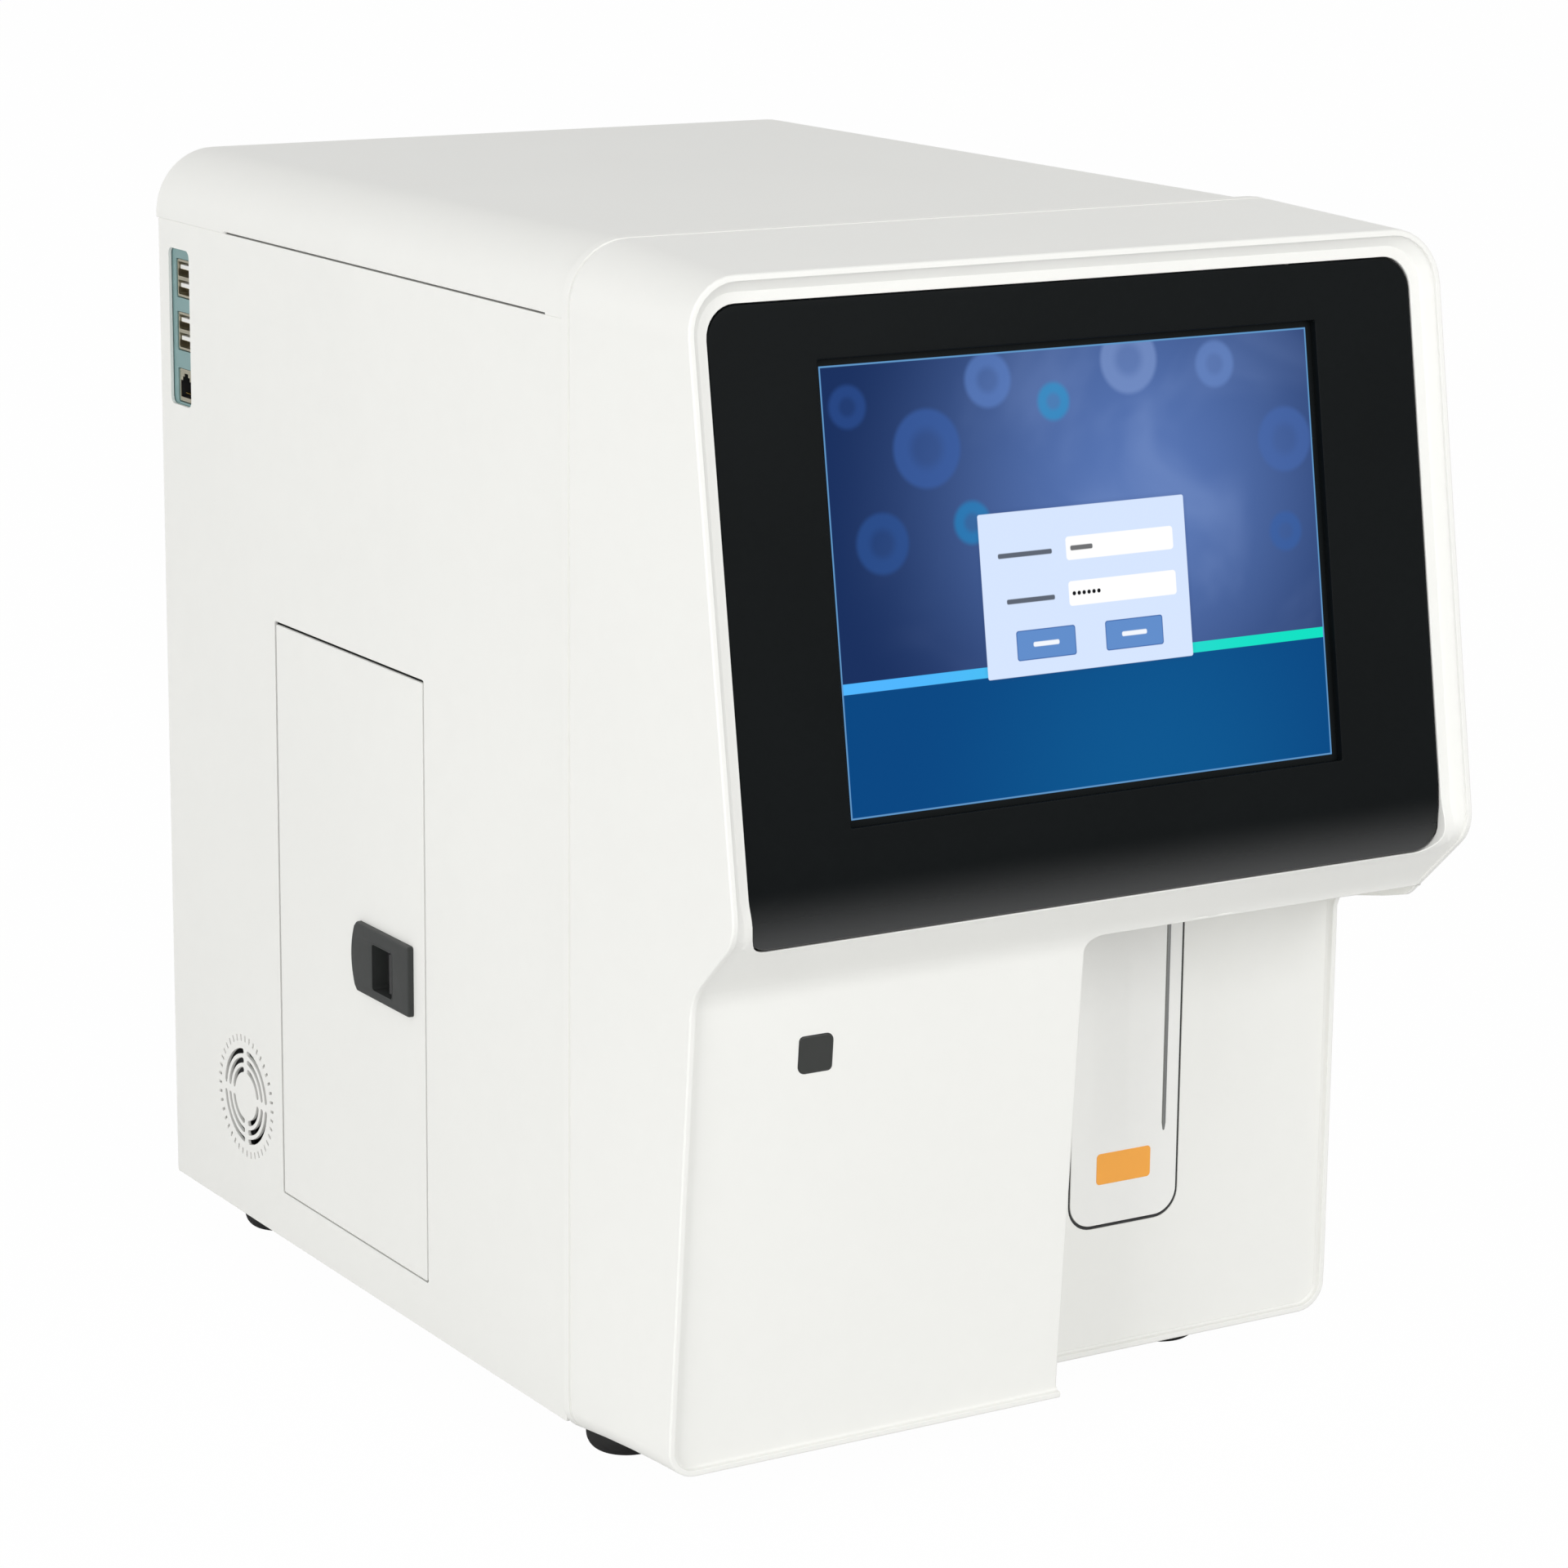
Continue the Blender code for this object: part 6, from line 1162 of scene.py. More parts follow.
    def chin_rows(self, low: Array, high: Array, left_shares: Array, right_shares: Array) -> Array:
        """Work out the chin: level rows between the two sides, split where the bay's arc ends.

        Args:
            low: Points of the left side's end.
            high: The right side's x, one row for each of these points.
            left_shares, right_shares: Shares of the way on either side of the split.

        Returns:
            Rows by columns by three coordinates, in millimetres.
        """
        bend_x = self.bay_top_left + self.bay_corner
        x = np.hstack([low[:, :1] + left_shares * (bend_x - low[:, :1]),
                       bend_x + right_shares[1:] * (high - bend_x)])
        heights = np.linspace(self.chin_top, self.corner_level + self.bay_corner + self.bay_edge, len(x))
        z = np.broadcast_to(heights[:, None], x.shape)
        return np.stack([x, FORM.face(z), z], -1)

    def add_screen_ring(self, shell: Shell, ends: Sequence[Array], line: Array) -> None:
        """Add the face round the display: a slope and a flat band between the lip and the opening.

        A row lies a share of the way from the rim to the opening, and its y is the lip's profile
        plus a sink that grows over the first half. The opening's edge turns in over a quarter
        circle and runs back.

        Args:
            shell: Shell to add to.
            ends: The rim's last ring, by part of the outline.
            line: The chin's upper row.
        """
        half, low, high = self.opening
        small, large = self.opening_radii
        sides = [ends[part][ends[part][:, 2] > self.chin_top - 0.01] for part in (2, 6)]
        outer = np.vstack([sides[0], ends[3], ends[4], ends[5], sides[1], line[::-1][1:-1]])[:, [0, 2]]
        upright = []
        for sign, side in zip((-1, 1), sides):
            z = side[:, 2]
            share = (z - z.min()) / (z.max() - z.min())
            level = low + small + share * (high - large - low - small)
            upright.append(np.stack([np.full(len(z), sign * half), level], 1))
        left_corner = (-half, high) + turning(len(ends[3]) - 1, large) * (1, -1)
        top_x = ends[4][:, 0] * (half - large) / (FORM.half - FORM.high_radii[1])
        top = np.stack([top_x, np.full(len(top_x), high)], 1)
        base = line[::-1][1:-1, 0]
        straight = half - small
        bend = np.clip((abs(base) - straight) / (abs(base).max() - straight), 0, 1) * math.pi / 2
        bottom = np.stack([np.clip(base, -straight, straight) + np.sign(base) * small * np.sin(bend),
                           low + small * (1 - np.cos(bend))], 1)
        inner = np.vstack([upright[0], left_corner, top, left_corner[::-1] * (-1, 1), upright[1], bottom])
        inner = inner + (self.opening_shift, 0.0)
        shares = np.array([0, 0.12, 0.25, 0.38, self.slope_share, 0.56, 0.75, 1.0])[:, None]
        x, z = np.moveaxis(outer + shares[:, :, None] * (inner - outer), -1, 0)
        outside = FORM.sink(outer[:, 1])
        target = self.chin_drop + (self.screen_drop - self.chin_drop) * ease(z, 232, 250)
        y = FORM.reach(z) + outside + (target - outside) * np.minimum(shares / self.slope_share, 1)
        rows = [*np.stack([x, y, z], -1)]
        inward = unit(np.array([0.0, (low + high) / 2]) - inner)
        edge = 0.4
        for angle in (0.4, 0.8, 1.2, math.pi / 2):
            x, z = (inner + inward * edge * math.sin(angle)).T
            rows.append(np.stack([x, y[-1] + edge * (1 - math.cos(angle)), z], -1))
        rows.append(rows[-1] + (0, 4.0, 0))
        shell.grid(np.stack(rows) * MM, wrap_columns=True)

    def add_block(self, shell: Shell, edge: Array, shares: Array) -> None:
        """Add the sample block's face: rows from the left lip to the rounded edge of the bay.

        Args:
            shell: Shell to add to.
            edge: Points of the lip's end, from the chin down.
            shares: Shares of the way across.
        """
        z = edge[:, 2]
        radius = self.bay_corner + self.bay_edge
        rise = np.clip(z - self.corner_level, 0, radius)
        bend = self.bay_top_left + self.bay_corner - np.sqrt(radius ** 2 - rise ** 2)
        end = np.where(z > self.corner_level, bend, self.bay_left(z, z[-1]) - self.bay_edge)
        x = edge[:, :1] + shares * (end[:, None] - edge[:, :1])
        heights = np.broadcast_to(z[:, None], x.shape)
        shell.grid(np.stack([x, FORM.face(heights), heights], -1) * MM)

    def add_bay(self, shell: Shell, wall_z: Array, ends: Sequence[Array], line: Array) -> None:
        """Add the bay's left wall, rounded corner and ceiling as one profile carried along a path.

        The profile turns over a rounded edge, runs back and ends in a hollow fillet. The path
        climbs the wall, follows a quarter circle and crosses the ceiling, and its first and last
        column drop to the points where they meet the rim.

        Args:
            shell: Shell to add to.
            wall_z: Heights of the left wall's points, from the bottom up.
            ends: Points of the rim that the first and the last column meet.
            line: The chin's lowest row.
        """
        turn = math.pi - quarter(7)[1:]
        centre = np.array([self.bay_top_left + self.bay_corner, self.corner_level])
        left_of, right_of, slot_front, slot_back = self.slot
        across = np.unique([*line[line[:, 0] > centre[0] + 0.5, 0], left_of, right_of,
                            FORM.half - self.lip_width])
        ceiling = np.stack([across, np.full(len(across), self.bay_ceiling)], 1)
        wall = np.stack([self.bay_left(wall_z, wall_z[0]), wall_z], 1)
        path = np.vstack([wall, centre + polar(self.bay_corner, turn), ceiling])
        outward = np.vstack([np.broadcast_to((-1.0, 0.0), wall.shape), polar(1.0, turn),
                             np.broadcast_to((0.0, 1.0), ceiling.shape)])
        front = FORM.face(path[:, 1] + self.bay_edge * outward[:, 1])
        hollow = 2.0
        rows = [(s, front + c) for c, s in turning(4, self.bay_edge)]
        rows += [(0.0, y) for y in (slot_front, (slot_front + slot_back) / 2, slot_back)]
        rows += [(-c, self.bay_back - s) for c, s in turning(4, hollow)]
        grid = np.stack([np.insert(path + outward * lift, 1, y, axis=1) for lift, y in rows])
        for column, level, end in ((-1, self.bay_ceiling, ends[1]), (0, wall_z[0], ends[0])):
            depth = (grid[:, column, 1] - grid[0, column, 1]) / (end[1] - grid[0, column, 1])
            grid[:, column, 2] -= (level - end[2]) * depth
        keep = np.ones((len(rows) - 1, len(path) - 1), bool)
        middle = (path[:-1, 0] + path[1:, 0]) / 2
        over = (middle > left_of) & (middle < right_of) & (path[:-1, 1] > self.bay_ceiling - 0.01)
        keep[5:7, over] = False
        shell.grid(grid * MM, keep=keep)
        tip = (self.bay_low_left, *grid[0, 0, 1:])
        shell.cap(np.vstack([grid[:5, 0], tip]) * MM)

    def make(self) -> None:
        """Build the moulding and the flat wall behind the bay, with the slit round the start key.

        The slit runs round the key's sides and lower edge, and a dark strip behind it is painted shade.
        """
        put(self.build(), COVER_PLASTIC, "front_cover", "cover_white")
        gap, top, neck_top, narrow, steps = 0.9, 193.6, 197.6, 0.1, 10
        left, right, low = 39.0, 89.0, 74.8
        slit = rectangle(left - gap, right + gap, low - gap, top, (10.9, 10.9, 0.45, 0.45), steps)
        neck = [(right + narrow, top), (right + narrow, neck_top), (left - narrow, neck_top),
                (left - narrow, top)]
        upper = 3 * (steps + 1)
        hole = np.vstack([slit[:upper], neck, slit[upper:]])
        outline = rectangle(4.5, 159.3, 25.9, 210.6, (1.0, 9.3, 0.5, 0.5))
        back = -self.bay_back * MM
        wall = plate("bay_back", outline * MM, FRONT, back - 0.0025, back, 0.0003, (hole * MM,))
        put(wall, COVER_PLASTIC, "front_cover", "cover_white")
        # Dark strip behind the slit: painted shade for the inside of the slit.
        outer = rectangle(left - 1.1, right + 1.1, low - 1.1, top, (11.1, 11.1, 0.1, 0.1), steps)
        inner = rectangle(left - 0.1, right + 0.1, low, top, (10.2, 10.2, 0.1, 0.1), steps)
        lower = 2 * (steps + 1)
        gap_shade_outline = np.vstack([[(left - 1.1, top)], outer[:lower], [(right + 1.1, top), (right + 0.1, top)],
                          inner[:lower][::-1], [(left - 0.1, top)]])
        strip = plate("key_gap_painted_shade", gap_shade_outline * MM, FRONT, back - 0.0022, back - 0.0004, 0.0)
        put(strip, CHIP_BLACK, "", "rubber")


def flat_uv(item: Piece, place: Place, start: Pair, width: float) -> None:
    """Give a piece a flat UV map: (point - start) / width along the place's across and up.

    Args:
        item: The piece.
        place: Where it lies.
        start: Coordinates of the map's origin.
        width: Length that becomes 1.
    """
    mesh = item.data
    points = np.zeros(len(mesh.vertices) * 3)
    mesh.vertices.foreach_get("co", points)
    flat = (points.reshape(-1, 3) - place.origin) @ np.array([place.across, place.up], float).T
    corner = np.zeros(len(mesh.loops), np.int32)
    mesh.loops.foreach_get("vertex_index", corner)
    uv = ((flat - start) / width)[corner].astype(np.float32)
    mesh.uv_layers.new(name="UVMap").data.foreach_set("uv", uv.ravel())


@dataclass
class Display:
    """Black bezel with a rolled lower edge, and the lit glass behind its window."""

    place: Place = field(default_factory=screen_place)
    half: float = 0.1519
    shift: float = -0.00065
    top: float = 0.0234
    straight_low: float = -0.1739
    roll: float = 0.060
    roll_length: float = 0.0268
    radii: Four = (0.0095, 0.0095, 0.0125, 0.0125)
    front: float = -0.0050
    thickness: float = 0.0030
    edge: float = 0.0007
    inner_edge: float = 0.0004
    active_middle: float = -0.0013
    active_width: float = 0.2112
    active_height: float = 0.1584
    margin: float = 0.0024
    glass_front: float = -0.0083
    glass_thickness: float = 0.0018
    glass_margin: float = 0.0080

    def rolled(self, flat: Array, lift: float) -> Array:
        """Lay points on the bezel's surface.

        Above the roll the surface is flat. Past it, an arc length s turns by s / R, so the point
        goes down by R sin(s / R) and back by R (1 - cos(s / R)). The lift is along the normal.

        Args:
            flat: Coordinates across the display and along the surface, one row each.
            lift: Height above the surface.

        Returns:
            World points.
        """
        across, down = flat.T
        turn = np.maximum(self.straight_low - down, 0) / self.roll
        up = np.where(turn > 0, self.straight_low - self.roll * np.sin(turn), down)
        back = self.roll * (1 - np.cos(turn))
        return self.place.at(across, up - lift * np.sin(turn), self.front - back + lift * np.cos(turn))

    def window(self, margin: float) -> Four:
        """Give the left, right, low and high edges of the lit area, grown by a margin.

        Args:
            margin: How far each edge moves out.

        Returns:
            The four edges.
        """
        half = self.active_width / 2 + margin
        return (self.active_middle - half, self.active_middle + half, -self.active_height - margin,
                margin)

    def bezel(self) -> Piece:
        """Make the bezel: a profile of share, lift and rounding carried round the window.

        Returns:
            The new object.
        """
        low = self.straight_low - self.roll_length
        left, right = self.shift - self.half, self.shift + self.half
        outer = framed(rectangle(left, right, low, self.top, self.radii), 24)
        inner = framed(rectangle(*self.window(self.margin), 0.0008), 24)
        edge, lip = self.edge, self.inner_edge
        rows = [(outer, -self.thickness)]
        rows += [(inset(outer, c), -s) for c, s in turning(4, edge)]
        start, end = inset(outer, edge), inset(inner, -lip)
        rows += [(start + share * (end - start), 0.0)
                 for share in (0.08, 0.2, 0.32, 0.44, 0.56, 0.68, 0.8, 0.92)]
        rows += [(inset(inner, -s), -c) for c, s in turning(4, lip)]
        rows.append((inner, -self.thickness))
        return Shell("bezel").loop(np.stack([self.rolled(flat, lift) for flat, lift in rows])).build()

    def glass(self) -> Piece:
        """Make the touch glass, whose UV map starts at the lower left corner of the lit area.

        Returns:
            The new object.
        """
        outline = rectangle(*self.window(self.glass_margin), 0.001, 3)
        back = self.glass_front - self.glass_thickness
        item = Shell("screen_glass").slab(outline, self.place, back, self.glass_front, 0.0002,
                                          0.0002).build()
        start = (self.active_middle - self.active_width / 2, -self.active_height)
        flat_uv(item, self.place, start, self.active_width)
        return item

    def make(self) -> None:
        """Build the display and dress it."""
        put(self.bezel(), BEZEL_PLASTIC, "display_bezel", "bezel_black")
        put(self.glass(), ScreenPicture(), "touch_glass", "screen_glass")
        put_copies(("lcd_module", 0.0006, ZINC, "zinc_steel"), ("screen_pan", 0.0003, ZINC, "zinc_steel"))


@dataclass
class StatusLamp:
    """Dark lamp window in the block's face, with a hair gap round it."""

    x: float = -0.108
    z: float = 0.181
    size: float = 0.0140
    radii: Four = (0.0030, 0.0015, 0.0030, 0.0015)
    proud: float = 0.0003
    gap: float = 0.0003

    def make(self) -> None:
        """Build the lamp and dress it."""
        sine, cosine = math.sin(FORM.foot_lean), math.cos(FORM.foot_lean)
        place = Place((1, 0, 0), (0, -sine, cosine), (0, -cosine, -sine),
                      (self.x, float(FORM.face(self.z / MM)) * MM, self.z))
        half, wide = self.size / 2, self.size / 2 + self.gap
        outline = centred((0, 0), (half, half), self.radii, 8)
        rim = centred((0, 0), (wide, wide), [radius + self.gap for radius in self.radii], 8)
        put(Shell("status_lamp").slab(outline, place, -0.0045, self.proud, 0.0004, 0.0002).build(),
            LAMP_PLASTIC, "status_lamp_lens", "black_plastic")
        put(Shell("status_lamp_gap").slab(rim, place, -0.0040, 0.00004, 0.00002, 0.0002).build(),
            CHIP_BLACK)


@dataclass
class Cabinet:
    """Sheet cabinet: two side panels, rear panel, arched top cover, base tray and front frame."""

    half: float = 0.160
    sheet: float = 0.0015
    front: float = -0.1195
    rear: float = 0.2305
    bottom: float = 0.0215
    panel_top: float = 0.4365
    cover_half: float = 0.161
    cover_top: float = 0.4645
    cover_corner: float = 0.026
    cover_wall: float = 0.0018
    notch: Pair = (-0.106, 0.1648)
    notch_rise: float = 0.0008
    door: Four = (-0.0069, 0.1244, 0.0417, 0.2843)
    port_slot: Four = (0.2012, 0.2212, 0.3602, 0.4252)
    side_fan: Pair = (0.1598, 0.0738)
    rear_fan: Pair = (-0.060, 0.330)
    dashes: int = 40
    dash_ring: float = 0.0252
    edge: float = 0.00035

    def panel(self, name: str, place: Place, edge: float, holes: Iterable[Array]) -> Piece:
        """Make a side panel with its holes."""
        outline = rectangle(self.front, self.rear, self.bottom, self.panel_top, 0.0008, 3)
        return plate(name, outline, place, self.half - self.sheet, self.half, edge, holes)

    def left_panel(self) -> Piece:
        """Make the left panel with its door opening, port slot, fan grille and ring of dashes.

        A dash lies along the radius, so it is turned by its own angle round the fan's middle.

        Returns:
            The new object.
        """
        holes = [rectangle(*self.door, 0.0012, 4), rectangle(*self.port_slot, 0.003, 6)]
        holes += grille((0.0115, 0.0155, 0.0195), 0.0022, 0.0030, self.side_fan)
        dash = centred((0, 0), (0.00055, 0.0014), 0.0003, 2)
        for turn in np.arange(self.dashes) * 2 * math.pi / self.dashes:
            out = np.array([math.sin(turn), math.cos(turn)])
            along = np.array([math.cos(turn), -math.sin(turn)])
            holes.append(self.side_fan + self.dash_ring * out + dash @ np.array([along, out]))
        return self.panel("side_panel_left", LEFT, 0.0002, holes)

    def right_panel(self) -> Piece:
        """Make the right panel with its row of vents.

        Returns:
            The new object.
        """
        rear, low = self.rear - 0.030, self.bottom + 0.025 + 0.0085 * np.arange(8)
        holes = [rectangle(rear - 0.060, rear, z, z + 0.003, 0.0014, 5) for z in low]
        return self.panel("side_panel_right", RIGHT, self.edge, holes)

    def fold(self, name: str, left: float, right: float) -> Piece:
        """Make a side panel's folded edge, which stands inwards along its top."""
        low = (left, self.front + 0.004, self.panel_top - self.sheet)
        return Shell(name).block(low, (right, self.rear - 0.004, self.panel_top)).build()

    def rear_panel(self) -> Piece:
        """Make the rear panel with its fan grille and the opening for the power inlet.

        Returns:
            The new object.
        """
        outline = rectangle(-0.1582, 0.1582, self.bottom, 0.4627, (0.001, 0.001, 0.0245, 0.0245), 10)
        holes = grille((0.012, 0.020, 0.028), 0.0045, 0.0040, self.rear_fan, math.pi / 4)
        holes.append(rectangle(0.082, 0.118, 0.055, 0.085, 0.002, 4))
        return plate("panel_rear", outline, REAR, self.rear - self.sheet, self.rear, self.edge, holes)

    def top_cover(self) -> Piece:
        """Make the arched top cover: a bent sheet section carried from front to rear.

        The section climbs the left flank, turns over a quarter circle, crosses the top and goes
        down the right flank, and comes back on the inside. Along the notch its lower edges stand
        higher, which leaves the dark line above the side panels.

        Returns:
            The new object.
        """
        low, lip = self.panel_top + 0.00012, 0.0004
        lines = []
        for wall in (0.0, self.cover_wall):
            half, top = self.cover_half - wall, self.cover_top - wall
            corners = ((-half, low), (-half, top), (half, top), (half, low))
            radius = self.cover_corner - wall
            lines.append(rounded(corners, (0, radius, radius, 0), 14))
        outer, inner = lines
        section = np.vstack([outer[:1] + (lip, 0), outer[:1] + (0, lip), outer[1:-1],
                             outer[-1:] + (0, lip), outer[-1:] + (-lip, 0), inner[::-1]])
        raised = (section[:, 1] < low + 0.001) * self.notch_rise
        step, (start, end) = 0.00005, self.notch
        rows = [(self.front, 0.0, lip), (self.front + 0.0005, 0.0, 0.0), (start - step, 0.0, 0.0),
                (start + step, 1.0, 0.0), (0.03, 1.0, 0.0), (end - step, 1.0, 0.0),
                (end + step, 0.0, 0.0), (self.rear - 0.0004, 0.0, 0.0), (self.rear, 0.0, lip)]
        rings = []
        for y, lift, draw in rows:
            x, z = (section + ((0.0, low) - section) * draw / self.cover_half).T
            rings.append(np.stack([x, np.full(len(x), y), z + raised * lift], 1))
        return Shell("cover_top").tube(np.stack(rings)).build()

    def screws(self) -> Piece:
        """Make the domed screws of the rear panel and the rear fan, each with a cross recess.

        A head is a profile of radius against depth. The points near two crossed lines stand
        lower, which makes the recess.

        Returns:
            The new object.
        """
        radius, height = 0.0030, 0.0012
        angle = np.linspace(0, 2 * math.pi, 24, endpoint=False)
        reach = np.array([1.0, 1.0, 0.93, 0.78, 0.58, 0.42, 0.25, 0.1])[:, None] * radius
        depth = np.array([0.0, 0.45, 0.75, 0.93, 1.0, 1.0, 1.0, 1.0])[:, None] * height
        near = np.minimum(abs(np.cos(angle)), abs(np.sin(angle))) * reach < radius * 0.12
        depth = depth - np.where(near & (reach < radius * 0.5), height * 0.5, 0)
        x, z = self.rear_fan
        places = [(side * 0.148, level) for side in (-1, 1) for level in (0.034, 0.16, 0.30, 0.43)]
        places += [(x + a * 0.0358, z + b * 0.0358) for a in (-1, 1) for b in (-1, 1)]
        shell = Shell("rear_screws")
        for x, z in places:
            rings = REAR.moved(x, self.rear, z).at(reach * np.cos(angle), reach * np.sin(angle), depth)
            shell.grid(rings, wrap_columns=True).cap(rings[-1]).cap(rings[0])
        return shell.build()

    def make(self) -> None:
        """Build the cabinet and dress it."""
        white = "panel_white"
        put(self.left_panel(), PANEL_PAINT, "left_side_panel", white)
        put(self.right_panel(), PANEL_PAINT, "right_side_panel", white)
        inner, outer = 0.1455, 0.1585
        put(self.fold("panel_return_left", -outer, -inner), PANEL_PAINT, "left_side_panel", white)
        put(self.fold("panel_return_right", inner, outer), PANEL_PAINT, "right_side_panel", white)
        put(self.rear_panel(), PANEL_PAINT, "rear_panel", white)
        put(self.top_cover(), PANEL_PAINT, "top_cover", white)
        put(self.screws(), STAINLESS, "", "stainless")
        put_copies(("base_tray", 0.0004, PANEL_PAINT, white), ("front_frame", 0.0, ZINC, "zinc_steel"))


@dataclass
class Door:
    """Service door: a folded pan on two hinge pins, with a black sliding latch."""

    bounds: Four = (-0.0057, 0.1232, 0.0422, 0.2831)
    face: float = 0.160
    sheet: float = 0.0015
    flange: float = 0.0085
    flange_wall: float = 0.0012
    latch_hole: Four = (0.0062, 0.0473, 0.1507, 0.1738)
    latch: Four = (0.0035, 0.0500, 0.1480, 0.1765)
    latch_corner: float = 0.0012
    bulge: float = 0.0038
    proud: float = 0.1625
    window: Four = (0.0178, 0.0348, 0.1518, 0.1705)
    grip: float = 0.0215

    def skin(self) -> Piece:
        """Make the door's flat face, with the opening that the latch sits in.

        Returns:
            The new object.
        """
        hole = rectangle(*self.latch_hole, 0.001, 3)
        return plate("door_skin", rectangle(*self.bounds, 0.0009, 4), LEFT, self.face - self.sheet,
                     self.face, 0.0005, (hole,))

    def folds(self) -> Piece:
        """Make the door's folded edge: a thin wall carried round its outline.

        Returns:
            The new object.
        """
        front = self.face - self.sheet
        back, wall, edge = front - self.flange, self.flange_wall, 0.0003
        rows = [(0.0, front), (0.0, back + edge), (edge, back), (wall - edge, back),
                (wall, back + edge), (wall, front)]
        outline = rectangle(*self.bounds, 0.0009, 4)
        return Shell("door_folds").loop(carried(outline, LEFT, rows)).build()

    def latch_frame(self) -> Piece:
        """Make the latch's frame, whose rear side bulges along a shallow arc.

        The rear side's point at the share s from -1 to 1 stands out by the bulge times
        1 - s squared.

        Returns:
            The new object.
        """
        front, rear, low, high = self.latch
        share = np.linspace(-1, 1, 15)
        level = (low + high) / 2 + (high - low) / 2 * share
        arc = np.stack([rear + self.bulge * (1 - share ** 2), level], 1)
        arc[[0, -1], 0] -= self.latch_corner
        radii = [self.latch_corner, *[0] * len(arc), self.latch_corner]
        outline = rounded([(front, low), *arc, (front, high)], radii, 4)
        hole = rectangle(*self.window, 0.0012, 4)
        return plate("latch_bezel", outline, LEFT, 0.1519, self.proud, 0.0009, (hole,))

    def latch_border(self) -> Piece:
        """Make the fine raised border round the latch's window.

        Returns:
            The new object.
        """
        rows = [(0.0, self.proud - 0.0006), (-0.0006, self.proud - 0.0004), (-0.0006, self.proud),
                (-0.0003, self.proud), (0.0, self.proud - 0.0001)]
        outline = rectangle(*self.window, 0.0012, 4)
        return Shell("latch_border").loop(carried(outline, LEFT, rows)).build()

    def slider(self) -> Piece:
        """Make the slide: a thin plate with its bolt, an upright grip and fine ribs on it.

        Returns:
            The new object.
        """
        shell = Shell("latch_slider")
        _, _, low, high = self.window
        bolt = rectangle(-0.0054, 0.042, 0.1559, 0.1664, 0.0006, 3)
        shell.slab(bolt, LEFT, 0.1537, 0.1553, 0.0003, 0.0003, 3)
        body = rectangle(0.0069, 0.042, 0.1532, 0.1713, 0.0006, 3)
        shell.slab(body, LEFT, 0.1535, 0.1555, 0.0003, 0.0003, 3)
        grip = rectangle(self.grip - 0.0009, self.grip + 0.0009, low + 0.0012, high - 0.0012, 0.0004, 3)
        shell.slab(grip, LEFT, 0.1548, 0.1612, 0.0004, 0.0001, 3)
        for middle in self.grip + 0.0032 + 0.0020 * np.arange(5):
            outline = rectangle(middle - 0.0004, middle + 0.0004, low + 0.002, high - 0.002, 0.0002, 2)
            shell.slab(outline, LEFT, 0.1550, 0.1561, 0.0002, 0.0001, 2)
        return shell.build()

    def make(self) -> None:
        """Build the door and dress it."""
        put(self.skin(), PANEL_PAINT, "service_door", "panel_white", "door")
        # The folded edge takes a dark grey finish, which paints the shade in the gap round the door.
        put(self.folds(), PAINTED_GAP_SHADE, "service_door", "rubber", "door")
        put(self.latch_frame(), BLACK_PLASTIC, "latch_frame", "black_plastic", "door")
        put(self.latch_border(), BLACK_PLASTIC, body="door")
        put(self.slider(), CHIP_BLACK, "latch_slide", "black_plastic", "latch")
        put_copies(("door_hinge_lower", 0.0003, ZINC, "zinc_steel"),
                   ("door_hinge_upper", 0.0003, ZINC, "zinc_steel"))


